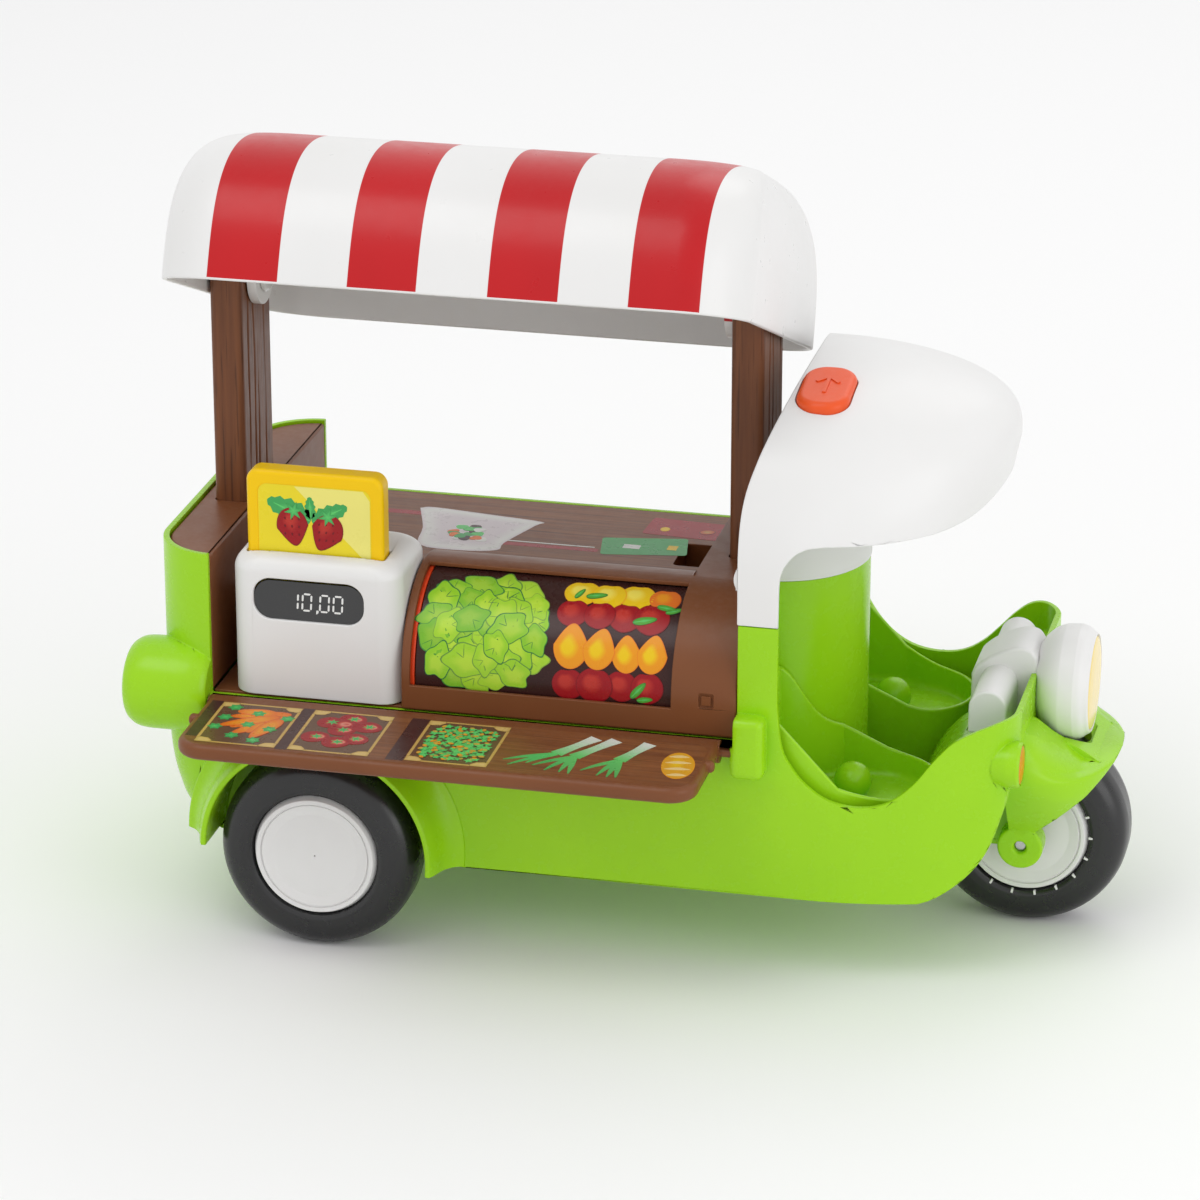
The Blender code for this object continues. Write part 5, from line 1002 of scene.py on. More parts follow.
@dataclass
class CabRoof:
    """White helmet-shaped roof with two legs, a back wall and the orange push button."""

    length: float = 79.0
    centre_x: float = 88.0
    half_width: float = 83.0
    top_z: float = 227.0
    shoulder_z: float = 160.0
    brow_z: float = 200.0
    wall: float = 2.2
    power: float = 2.75
    rear_x: float = 72.8
    leg_foot: float = 145.3
    panel_x: float = 76.6
    column_x: float = 73.0
    column_radius: float = 36.4
    column_wall: float = 2.4
    lug: Triple = (78.4, 163.6, 7.2)
    button_x: float = 96.7
    button_y: float = -32.4
    button_size: Pair = (20.8, 32.4)
    button_top: float = 227.2
    button_slope: float = 0.16
    button_foot: float = 209.0
    button_room: float = 0.4
    button_corner: float = 9.0
    collar_z: Pair = (146.3, 225.5)
    panel_foot: float = 148.3
    lip_edge: tuple[Pair, ...] = ((88.6, 140.0), (88.7, 153.0), (88.9, 163.0), (89.9, 168.0), (92.0, 172.0),
                                  (95.4, 175.6), (100.5, 177.8), (108.0, 178.5), (122.0, 178.6),
                                  (148.0, 179.6), (158.0, 182.0), (165.0, 187.0), (172.0, 194.0))
    rear_edge: tuple[Pair, ...] = ((72.8, 150.0), (72.8, 178.0), (74.0, 194.0), (77.0, 206.0), (80.6, 216.0),
                                   (84.0, 224.0), (87.2, 231.2), (89.0, 236.0))
    back_path: tuple[Pair, ...] = ((0.0, 120.0), (0.0, 193.0), (2.9, 206.0), (6.2, 217.0), (9.5, 228.0),
                                   (12.5, 240.0))

    def block(self, wall: float) -> Form:
        """Solid of the roof, or its hollow when a wall is given."""
        half, length, top = self.half_width - wall, self.length - wall, self.top_z - wall
        rear = self.rear_x - 6.0 - 4.0 * wall
        around = steps(72)
        stations = [(rear, -half, 0.0, rear)]
        for i in range(around + 1):
            angle = math.radians(-90.0 + 180.0 * i / around)
            forward = math.cos(angle) ** 2
            stations.append((self.centre_x + length * math.cos(angle), half * math.sin(angle), forward,
                             self.centre_x))
        stations.append((rear, half, 0.0, rear))
        rings: list[Ring] = []
        for lip in range(2):
            ring: Ring = []
            for x, y, forward, spine in stations:
                equator = self.shoulder_z + (self.brow_z - self.shoulder_z) * forward
                z = 142.0 - wall * 4 if lip == 0 else equator - 14.0 * forward
                tuck = (0.12 if lip == 0 else 0.035) * forward
                ring.append((x + (spine - x) * tuck, y * (1.0 - tuck), z))
            rings.append(ring)
        rise_steps = steps(40)
        for i in range(rise_steps + 1):
            angle = math.radians(89.6 * i / rise_steps)
            shrink, rise = math.cos(angle) ** (2.0 / self.power), math.sin(angle) ** (2.0 / self.power)
            ring = []
            for x, y, forward, spine in stations:
                equator = self.shoulder_z + (self.brow_z - self.shoulder_z) * forward
                ring.append((spine + (x - spine) * shrink, y * shrink, equator + (top - equator) * rise))
            rings.append(ring)
        return Form.loft(rings)

    def behind(self, ahead: float) -> Form:
        """All that lies behind the back wall's rear face, moved ahead by a distance."""
        path = [(self.panel_x + x + ahead, z) for x, z in smoothed(self.back_path[1:], 4)]
        path = [(self.panel_x + ahead, 120.0)] + path
        return Form.prism(Axis.Y, path + [(40.0, 240.0), (40.0, 120.0)], -130.0, 130.0)

    def shell(self) -> Form:
        """Roof with its legs, lugs, back wall, collar and the button's opening."""
        form = self.block(0.0).cut(self.block(self.wall))
        lip = smoothed(self.lip_edge, 5) + [(190.0, 200.0), (190.0, 120.0), (88.6, 120.0)]
        rear = smoothed(self.rear_edge, 5) + [(89.0, 250.0), (50.0, 250.0), (50.0, 110.0), (72.8, 110.0)]
        form.cut(Form.prism(Axis.Y, lip, -120.0, 120.0), Form.prism(Axis.Y, rear, -120.0, 120.0))
        form.cut(Form.box((50.0, 100.0), (-100.0, 100.0), (100.0, self.leg_foot)))
        for side in (-1, 1):
            x, z, r = self.lug
            limits = on_side(side, self.half_width - self.wall + 0.25, self.half_width - 0.35)
            form.fuse(rod(Axis.Y, (x, z), *limits, r, 47))
        form.soften(0.55)
        path = [(self.panel_x, 120.0)] + [(self.panel_x + x, z) for x, z in smoothed(self.back_path[1:], 4)]
        panel = Form.prism(Axis.Y, path + [(x + self.wall, z) for x, z in reversed(path)], -120.0, 120.0)
        panel.cut(Form.box((50.0, 120.0), (-130.0, 130.0), (100.0, self.panel_foot)))
        form.fuse(panel.keep(self.block(self.wall * 0.5)))
        turn = math.degrees(math.acos((self.panel_x + 0.4 - self.column_x) / self.column_radius))
        half = arc((self.column_x, 0.0), self.column_radius, -turn, turn, steps(60))
        collar = Form.prism(Axis.Z, half, *self.collar_z).cut(self.behind(0.7))
        inner = self.column_radius - self.column_wall
        turn = math.degrees(math.acos((self.panel_x + 1.4 - self.column_x) / inner))
        bore = Form.prism(Axis.Z, arc((self.column_x, 0.0), inner, -turn, turn, steps(60)), 140.0, 230.0)
        collar.cut(bore.cut(self.behind(self.wall + 0.4)))
        form.fuse(collar.keep(self.block(self.wall * 0.5)))
        form.cut(Form.prism(Axis.Z, self.button_plan(-self.button_room), self.button_foot - 4.5, 251.0))
        return form.tidy(0.02)

    def button_plan(self, shrink: float) -> Outline:
        """The button's plan drawn in by a distance."""
        half_x, half_y = self.button_size[0] / 2, self.button_size[1] / 2
        return rounded(half_x - shrink, half_y - shrink, self.button_corner - shrink, 9,
                       (self.button_x, self.button_y))

    def button_level(self, y: float, lift: float) -> float:
        """Height over the button's sloped top at a place across the truck."""
        return self.button_top + lift + (y - self.button_y) * self.button_slope

    def button(self) -> Form:
        """Push button with a soft rim and a raised arrow."""
        soft = 2.6
        drops = [(soft * (1.0 - math.cos(turn)), soft * (1.0 - math.sin(turn)))
                 for turn in (math.radians(15.0 * i) for i in range(7))]
        rings = [at_height(self.button_plan(0.0), self.button_foot)]
        for shrink, drop in drops + [(6.0, 0.12)]:
            rings.append([(x, y, self.button_level(y, -drop)) for x, y in self.button_plan(shrink)])
        return Form.loft(rings).fuse(self.arrow())

    def arrow(self) -> Form:
        """Raised arrow on the button's top; it points to the far side, where the canopy's hinge is."""
        half = [(-6.6, 0.7), (4.4, 0.7), (1.2, 3.9), (2.2, 4.9), (7.1, 0.0)]
        outline = half + [(u, -v) for u, v in reversed(half[:-1])]
        plan = [(self.button_x - v, self.button_y + u) for u, v in outline]
        return Form.loft([[(x, y, self.button_level(y, lift)) for x, y in plan] for lift in (-1.7, 0.4)])

    def build(self) -> None:
        """Make the roof and its button."""
        show(self.shell(), "cab_helmet", "truck", SOFT_WHITE, ["cab_roof"], 42.0)
        show(self.button(), "push_button", "button", BUTTON_ORANGE, ["roof_button"], 40.0)


# Body tub


@dataclass
class Tub:
    """Green body: tub with taper, pods, posts and flared arches."""

    half_width: float = 83.0
    wall: float = 2.5
    rear_x: float = -162.0
    corner: float = 26.0
    bottom: float = 33.5
    rim: float = 156.0
    taper: Triple = (100.0, 84.0, 23.0)
    post: Pair = (73.2, 88.8)
    post_top: float = 145.0
    stall_rear: float = -137.0
    sill: float = 98.0
    far_wall: float = 127.5
    pod: tuple[float, float, float, float] = (18.5, -171.7, 77.0, 98.5)
    signal: tuple[float, float, float, float] = (9.2, 180.4, 60.0, 88.7)
    lens_share: float = 0.86
    tail_share: float = 0.58
    nose_x: float = 178.6
    nose_corner: float = 12.0
    axle: Pair = (-91.4, 40.0)
    arch_radius: float = 44.5
    wheel_y: float = 100.2
    tray_x: Pair = (-136.0, 68.0)
    hinge: Pair = (-88.0, 95.0)
    levels: tuple[Pair, ...] = ((0.0, 25.0), (4.5, 16.0), (12.5, 7.5), (20.5, 4.0), (29.5, 1.7), (40.5, 0.5),
                                (56.5, 0.0))
    near_door: tuple[Pair, ...] = ((88.8, 114.0), (90.6, 97.0), (94.5, 88.6), (100.5, 81.6), (109.0, 76.0),
                                   (120.3, 73.8), (131.0, 75.8), (140.5, 83.0), (148.5, 93.2), (155.5, 100.4),
                                   (163.0, 104.2), (169.0, 106.3), (173.0, 107.2), (177.0, 107.6),
                                   (184.0, 107.8))
    far_door: tuple[Pair, ...] = ((88.8, 122.0), (90.6, 108.0), (94.6, 97.0), (101.0, 87.4), (108.5, 80.8),
                                  (117.0, 77.4), (127.0, 77.0), (136.0, 79.4), (144.0, 85.0), (151.0, 92.6),
                                  (157.0, 99.6), (163.5, 105.4), (170.0, 107.8), (177.0, 108.2),
                                  (184.0, 108.4))
    nose_edge: tuple[Pair, ...] = ((133.9, 32.0), (147.6, 34.6), (158.2, 41.2), (165.4, 48.8), (169.8, 56.5),
                                   (172.8, 65.5), (175.2, 74.5), (177.4, 83.0), (180.6, 90.0), (184.0, 112.0))

    def side(self, x: float) -> float:
        """Half width of the outer side at a distance along the truck."""
        start, length, depth = self.taper
        ahead = max(0.0, x - start) / length
        return self.half_width - depth * ahead * ahead

    def outline(self, rear_x: float, front_x: float, wall: float, nose: float = 0.0) -> Outline:
        """Plan of the tub moved inwards by a wall; the front end is square or round-cornered."""
        corner, half, rear = self.corner - wall, self.half_width - wall, rear_x + wall
        stations = steps(28)
        side = []
        for i in range(steps(14) + 1 if nose else 0):
            turn = math.radians(90.0 * i / steps(14))
            x = front_x - nose * (1.0 - math.cos(turn))
            side.append((x, self.side(x) - wall - nose * (1.0 - math.sin(turn))))
        ahead = front_x - nose
        for i in range(1 if nose else 0, stations + 1):
            x = self.taper[0] + (ahead - self.taper[0]) * (1.0 - i / stations)
            side.append((x, self.side(x) - wall))
        far = side + arc((rear + corner, half - corner), corner, 90, 180, steps(20))
        return far + [(x, -y) for x, y in reversed(far)]

    def block(self, wall: float, low: float, top: float) -> Form:
        """The tub's outside, or its hollow when a wall is given."""
        rings = []
        for rise, tuck in smoothed(self.levels, steps(5)):
            plan = self.outline(self.rear_x + max(tuck, 0.0), self.nose_x - wall, wall,
                                self.nose_corner - wall)
            rings.append(at_height(plan, self.bottom + rise))
        if low < self.bottom - 1.0:
            rings.insert(0, [(x, y, low) for x, y, _ in rings[0]])
        rings.append([(x, y, top) for x, y, _ in rings[-1]])
        return Form.loft(rings)

    def opening(self, sill: float, near: bool) -> Form:
        """Prism that opens one side above its rim: sill, post and cab door."""
        top, beyond = self.rim + 20.0, 199.0
        outline = [(self.stall_rear, top), (self.stall_rear, sill), (self.post[0], sill),
                   (self.post[0], self.post_top), (self.post[1], self.post_top)]
        door = self.near_door if near else self.far_door
        outline += smoothed(door, 5) + [(beyond, door[-1][1]), (beyond, top)]
        outside = self.half_width + 30.0
        return Form.prism(Axis.Y, outline, *((-outside, -3.1) if near else (-3.3, outside)))

    def tail(self, side: int) -> Form:
        """Rounded pod at a rear corner."""
        r, rear, y, z = self.pod
        end = self.tray_x[0] - 0.6
        profile = [(rear, 0.0), (rear, r * 0.70), (rear + 1.2, r * 0.84), (rear + 4.5, r * 0.965),
                   (rear + 9.0, r), (end - 13.0, r), (end - 6.5, r * 0.96), (end - 2.0, r * 0.88),
                   (end, r * 0.76), (end, 0.0)]
        return Form.turned(Axis.X, (side * y, z), round_profile(profile, 2.4), steps(61))

    def turn_pod(self, side: int) -> Form:
        """Small pod for a turn signal."""
        r, front, y, z = self.signal
        profile = [(front - 17.0, 0.0), (front - 15.5, r * 0.45), (front - 11.0, r * 0.85), (front - 5.0, r),
                   (front - 1.0, r), (front, r * 0.92), (front, 0.0)]
        return Form.turned(Axis.X, (side * y, z), round_profile(profile, 1.0), steps(49))

    def arch(self, side: int) -> Form:
        """Flared arch and the well behind it."""
        lip, wall, well = self.arch_radius + 2.3, self.half_width, self.arch_radius + 2.2
        inner = self.wheel_y - 32.0
        outer = self.wheel_y - 0.4
        flare = smoothed([(outer, lip - 0.6), (outer - 0.5, lip), (wall + 13.0, lip + 1.4),
                          (wall + 7.5, lip + 3.2), (wall + 3.0, lip + 6.2), (wall + 0.6, lip + 9.8)], 4)
        section = [(outer - 0.5, self.arch_radius), (outer, self.arch_radius + 0.5)] + flare
        section += [(wall - 1.2, lip + 9.8), (wall - 2.0, well), (inner, well), (inner, 6.0),
                    (inner + 2.2, 6.0), (inner + 2.2, self.arch_radius)]
        return Form.swept(Axis.Y, self.axle, [(side * y, r) for y, r in section], -6.0, 180.0, steps(75))

    def shell(self) -> Form:
        """The tub with all that is moulded to it."""
        form = self.block(0.0, self.bottom, self.rim)
        boss = Form.box((self.post[0] - 1.4, self.post[1] - 3.6),
                        (-self.half_width - 9.0, -self.half_width + 1.6),
                        (self.hinge[1] - 10.0, self.hinge[1] + 15.0), 3.2)
        form.fuse(self.tail(-1), self.tail(1), boss)
        form.cut(self.block(self.wall, self.bottom - 20.0, self.rim + 30.0))
        form.cut(self.opening(self.sill, True), self.opening(self.far_wall, False))
        nose = smoothed(self.nose_edge, 4) + [(184.0, 125.0), (199.0, 125.0), (199.0, 20.0), (133.9, 20.0)]
        form.cut(Form.prism(Axis.Y, nose, -113.0, 113.0))
        for side in (-1, 1):
            limits = on_side(side, self.half_width - 9.0, self.half_width + 30.0)
            form.cut(rod(Axis.Y, self.axle, *limits, self.arch_radius + 1.0, steps(93)))
            form.fuse(self.arch(side), self.turn_pod(side))
            r, front, y, z = self.signal
            form.cut(rod(Axis.X, (side * y, z), front - 1.6, front + 7.0, r * self.lens_share, 48))
            r, rear, y, z = self.pod
            form.cut(rod(Axis.X, (side * y, z), rear - 8.0, rear + 1.6, r * self.tail_share, 48))
        form.cut(Form.box((self.tray_x[0] - 0.3, self.tray_x[1] + 0.3), (-143.0, -self.half_width - 0.05),
                          (self.hinge[1] - 4.8, self.post_top)))
        for low, high in ((self.tray_x[0] - 6.1, self.tray_x[0] + 2.0),
                          (self.post[0] - 3.4, self.post[0] + 4.7)):
            form.cut(rod(Axis.X, self.hinge, low, high, 2.3, 24))
        return form

    def lens(self, centre: Pair, face: float, radius: float, forward: int) -> Form:
        """Domed lens in a pod's recess; forward is 1 or -1."""
        profile = [(face - forward * 1.3, 0.0), (face - forward * 1.3, radius),
                   (face - forward * 0.3, radius), (face, radius * 0.86),
                   (face + forward * 0.35, radius * 0.4), (face + forward * 0.4, 0.0)]
        return Form.turned(Axis.X, centre, round_profile(profile, 0.6, 3), steps(48))

    def build(self) -> None:
        """Make the body and its four lenses."""
        show(self.shell().soften(0.45, 40.0), "tub", "truck", LEAF_GREEN, ["body_shell"], 42.0)
        for side, word in ((-1, "near"), (1, "far")):
            r, front, y, z = self.signal
            show(self.lens((side * y, z), front, r * self.lens_share - 0.3, 1), f"signal_{word}", "truck",
                 LAMP_AMBER, [f"turn_signal_{word}"])
            r, rear, y, z = self.pod
            show(self.lens((side * y, z), rear + 0.45, r * 0.58 - 0.3, -1), f"tail_lamp_{word}", "truck",
                 LAMP_RED, [f"tail_light_{word}"])


# Cab seats and the wall behind them


@dataclass
class Cab:
    """Bulkhead with its half-round column, and the two bucket seats."""

    tub: Tub = field(default_factory=Tub)
    column_x: float = 73.0
    column_radius: float = 36.0
    wall: float = 2.4
    bulkhead_x: float = 73.6
    bulkhead_top: float = 146.0
    floor_z: float = 63.5
    seat_wall: float = 2.2
    inner_y: float = 21.5
    stud: Triple = (112.0, 45.0, 7.4)
    foot: float = 36.6
    rim_edge: tuple[Pair, ...] = ((76.0, 113.0), (82.0, 111.0), (86.0, 106.5), (90.0, 99.6), (94.0, 92.8),
                                  (98.0, 88.0), (104.0, 83.4), (111.0, 79.6), (119.0, 76.2), (128.0, 73.8),
                                  (137.0, 73.2), (150.0, 73.6))

    def bulkhead(self) -> Form:
        """Wall behind the seats."""
        half, front = self.tub.half_width - self.tub.wall - 0.3, self.bulkhead_x + self.wall
        inner = self.column_radius - self.wall
        turn_in = math.degrees(math.acos((self.bulkhead_x - self.column_x) / inner))
        turn_out = math.degrees(math.acos((front - self.column_x) / self.column_radius))
        outline = [(self.bulkhead_x, -half), (front, -half)]
        outline += arc((self.column_x, 0.0), self.column_radius, -turn_out, turn_out, steps(60))
        outline += [(front, half), (self.bulkhead_x, half)]
        outline += arc((self.column_x, 0.0), inner, turn_in, -turn_in, steps(60))
        return Form.prism(Axis.Z, outline, self.foot, self.bulkhead_top).soften(0.4, 50.0)

    def plan(self) -> Outline:
        """Plan of the far seat: a rounded bucket cut back round the column."""
        clear = self.column_radius + 1.2
        rear = self.bulkhead_x + self.wall + 3.6
        outer = self.tub.half_width - self.tub.wall - 3.0
        start = math.degrees(math.asin(self.inner_y / clear))
        stop = math.degrees(math.acos((rear - self.column_x) / clear))
        points = arc((self.column_x, 0.0), clear, stop, start, 12)
        points += arc((122.0, self.inner_y + 24.0), 24.0, 270, 360, 16)
        points += arc((120.0, outer - 31.0), 26.0, 0, 75, 12)
        points += smoothed([(points[-1]), (112.0, outer)], 5)[1:]
        points += arc((rear + 6.0, outer - 6.0), 6.0, 90, 180, 8)
        return points

    def rim(self, x: float) -> float:
        """Height of a seat's rim: high at the back, sweeping down to the front."""
        return height_at(smoothed(self.rim_edge, 6), x)

    def seat(self) -> Form:
        """Far seat with a round rim, a coved floor and a ball stud."""
        plan, wall = self.plan(), self.seat_wall
        narrow = [(x if x < 122.0 else 122.0 + (x - 122.0) * 0.66, y) for x, y in plan]
        rings = [at_height(inset(plan, wall), self.floor_z - wall), at_height(inset(narrow, wall), self.foot),
                 at_height(narrow, self.foot), at_height(plan, self.floor_z),
                 at_height(plan, lambda x, y: self.rim(x) - 0.9)]
        for shrink, lift in ((0.15, -0.45), (0.5, -0.1), (0.99, 0.0), (1.48, -0.1), (1.85, -0.45),
                             (1.98, -0.9)):
            rings.append(at_height(inset(plan, shrink), lambda x, y, lift=lift: self.rim(x) + lift))
        for i in range(7):
            turn = math.radians(15.0 * i)
            shrink = wall * 1.15 + 2.6 * (1.0 - math.cos(turn))
            rings.append(at_height(inset(plan, shrink), self.floor_z + 3.6 * (1.0 - math.sin(turn))))
        form = Form.loft(rings)
        x, y, r = self.stud
        profile = [(self.floor_z - 1.0, 0.0), (self.floor_z - 1.0, r * 0.74)]
        for step in range(17):
            angle = math.radians(-42.0 + 132.0 * step / 16)
            profile.append((self.floor_z + r * 0.82 + r * math.sin(angle),
                            r * math.cos(angle) if step < 16 else 0.0))
        return form.fuse(Form.turned(Axis.Z, (x, y), profile, steps(48)))

    def build(self) -> None:
        """Make the bulkhead and both seats."""
        show(self.bulkhead(), "cab_wall", "truck", LEAF_GREEN, ["cab_bulkhead"])
        far = self.seat()
        show(far.mirrored(), "near_seat", "truck", LEAF_GREEN, ["seat_near"])
        show(far, "far_seat", "truck", LEAF_GREEN, ["seat_far"])


# Scooter front


@dataclass
class ScooterFront:
    """Mudguard with apron, wheel well and bosses; handle and headlight."""

    tub: Tub = field(default_factory=Tub)
    wheel: Pair = (176.0, 40.0)
    well_radius: float = 43.6
    well_wall: float = 2.4
    well_half: float = 17.7
    boss_radius: float = 9.0
    foot_edge: tuple[Pair, ...] = ((120.0, 36.7), (170.2, 36.7), (182.7, 47.7), (213.7, 77.2), (240.0, 77.0))
    boss_y: float = 28.8
    nose_root: float = 178.0
    lamp_radius: float = 22.9
    lamp_z: float = 100.8
    lamp_x: Pair = (176.8, 199.6)
    handle_x: float = 163.5
    handle_width: float = 15.0
    handle_top: float = 110.0
    handle_half: float = 41.0
    levels: tuple[Triple, ...] = ((37.4, 23.6, 22.0), (46.2, 28.1, 25.3), (60.0, 38.5, 30.5),
                                  (72.0, 46.5, 33.8), (80.0, 49.5, 34.6), (87.0, 49.0, 32.0),
                                  (92.0, 46.0, 26.5), (94.6, 41.0, 18.0))
    crown_edge: tuple[Pair, ...] = ((150.0, 94.6), (178.0, 94.6), (182.0, 92.4), (186.0, 88.0), (190.0, 84.0),
                                    (195.0, 80.0), (199.0, 77.4), (206.0, 77.2), (212.5, 77.1), (230.0, 77.0))
    apron_path: tuple[Pair, ...] = ((143.0, 36.8), (148.0, 37.6), (156.5, 42.4), (164.2, 50.0), (168.8, 57.6),
                                    (171.9, 66.2), (174.7, 75.1), (176.8, 88.1), (177.7, 94.1))

    def fall(self, x: float, z: float, wall: float) -> float:
        """Level of a place on the mudguard's bow after the crown has been drawn down towards the tip."""
        base, top = 74.0, self.levels[-1][0] - wall
        if z <= base:
            return z
        return base + (z - base) * (height_at(self.crown_edge, x) - wall - base) / (top - base)

    def bow(self, wall: float) -> Form:
        """Bow-shaped solid of the mudguard, or its hollow when a wall is given."""
        rings: list[Ring] = []
        for z, half, reach in between(self.levels, steps(6)):
            half, reach = half - wall, reach - wall
            height = z - (wall if z > 80.0 else 0.0) - (6.0 if wall > 0.0 and not rings else 0.0)
            if rings and height <= rings[-1][0][2]:
                continue
            ring: Ring = []
            around = steps(56)
            for i in range(around + 1):
                angle = math.radians(-90.0 + 180.0 * i / around)
                c, s = math.cos(angle), math.sin(angle)
                power = 2.0 / (2.35 - 0.9 * min(1.0, max(0.0, (z - 66.0) / 18.0)))
                ring.append((self.nose_root + reach * max(c, 0.0) ** power,
                             math.copysign(half * abs(s) ** power, s), height))
            rear = self.nose_root - 6.63 - wall
            ring.append((rear, half, height))
            ring.insert(0, (rear, -half, height))
            rings.append(ring)
        spine = self.nose_root - 3.0
        for share in (0.75, 0.5, 0.25):
            rings.append([(spine + (x - spine) * share, y * share, z) for x, y, z in rings[-1]])
        rings = [[(x, y, self.fall(x, z, wall)) for x, y, z in ring] for ring in rings]
        return Form.loft(rings)

    def apron(self) -> Form:
        """Curved panel that closes the tub's front between the side walls."""
        rings = []
        for x, z in smoothed(self.apron_path, steps(6)):
            half = self.tub.side(x) - self.tub.wall - 0.3
            back = (x - 2.4, half - 0.2, z + (2.4 * 0.7 if z < 60 else 0.0))
            rings.append([(x, -half, z), (x, half, z), (back[0], back[1], back[2]),
                          (back[0], -back[1], back[2])])
        return Form.loft(rings)

    def guard(self) -> Form:
        """The green moulding of the front."""
        form, hollow = self.bow(0.0), self.bow(2.4)
        lamp, scoop, ahead = (0.0, self.lamp_z), self.lamp_radius + 0.8, self.lamp_x[1] + 0.6
        hollow.cut(rod(Axis.X, lamp, 150.0, ahead + 2.4, scoop + 2.4, steps(75)))
        form.cut(hollow)
        outer, side = self.well_radius + self.well_wall, self.well_half + self.well_wall
        form.fuse(self.apron(), rod(Axis.Y, self.wheel, -side, side, outer, steps(95)))
        form.cut(rod(Axis.X, lamp, 150.0, ahead, scoop, steps(75)))
        form.cut(rod(Axis.Y, self.wheel, -self.well_half, self.well_half, self.well_radius, steps(95)))
        below = [(120.0, -20.0), *self.foot_edge, (240.0, -20.0)]
        form.cut(Form.prism(Axis.Y, below, -100.0, 100.0))
        for sign in (-1, 1):
            form.cut(rod(Axis.X, (sign * 60.0, 88.7), 150.0, 200.0, 9.5, 49))
            root, tip, recess = (sign * y for y in (self.well_half + 0.5, self.boss_y, self.boss_y - 1.2))
            profile = [(root, 0.0), (root, self.boss_radius), (tip, self.boss_radius), (tip, 2.9),
                       (recess, 2.3), (recess, 0.0)]
            form.fuse(Form.turned(Axis.Y, self.wheel, round_profile(profile, 1.3), steps(60)))
        form.cut(rod(Axis.Y, self.wheel, -40.0, 40.0, 2.3, 30))
        return form.soften(0.5, 40.0, 2, 0.0)

    def handle(self) -> Form:
        """White handle: a bar across with round ends and a taller middle block."""
        half, foot = self.handle_width / 2, 92.0
        bar = [(self.handle_x - half, foot), (self.handle_x + half, foot)]
        bar += arc((self.handle_x, self.handle_top - half), half, 0, 180, steps(28))
        form = Form.prism(Axis.Y, bar, -self.handle_half, self.handle_half).soften(1.1, 50.0, 4)
        block = [(152.4, 84.0), (178.4, 84.0), (178.6, 113.5), (175.5, 117.2), (169.5, 117.6), (161.0, 114.0),
                 (154.5, 109.0), (152.4, 105.0)]
        shape = [block[0], block[1]] + smoothed(block[2:], 5)
        middle = Form.prism(Axis.Y, shape, -12.5, 12.5).soften(1.6, 45.0, 4)
        well = self.well_radius + self.well_wall + 0.3
        middle.cut(rod(Axis.Y, self.wheel, -30.0, 30.0, well, 80))
        return form.fuse(middle)

    def lamp(self) -> Form:
        """White lamp bowl with a soft brim."""
        r, (back, front) = self.lamp_radius, self.lamp_x
        depth = front - back
        profile = [(back, 0.0), (back, r * 0.36)]
        for step in range(1, 22):
            angle = math.radians(90.0 * step / 24)
            profile.append((back + depth * 0.62 * (1.0 - math.cos(angle)),
                            r * (0.36 + 0.64 * math.sin(angle))))
        profile += smoothed([(back + depth * 0.72, r), (back + depth * 0.84, r * 0.965),
                             (front - 1.6, r * 0.90), (front - 0.5, r * 0.87), (front, r * 0.84)], 4)
        profile += [(front - 1.8, r * 0.815), (front - 1.8, 0.0)]
        return Form.turned(Axis.X, (0.0, self.lamp_z), profile, steps(84))

    def lens(self) -> Form:
        """Shallow domed yellow lens."""
        r, seat = self.lamp_radius * 0.815 - 0.25, self.lamp_x[1] - 1.4
        profile = [(seat, 0.0), (seat, r), (seat + 1.1, r), (seat + 1.6, r * 0.93), (seat + 2.1, r * 0.6),
                   (seat + 2.3, 0.0)]
        return Form.turned(Axis.X, (0.0, self.lamp_z), round_profile(profile, 0.8), steps(72))

    def build(self) -> None:
        """Make the green front, the handle and the headlight."""
        show(self.guard(), "mudguard", "truck", LEAF_GREEN, ["front_fork"], 42.0)
        show(self.handle(), "steering_handle", "truck", SOFT_WHITE, ["handlebar"], 40.0)
        show(self.lamp(), "lamp_bowl", "truck", SOFT_WHITE, ["headlight_shell"], 50.0)
        show(self.lens(), "lamp_lens", "truck", LAMP_CREAM, ["headlight_lens"])


# Wheels


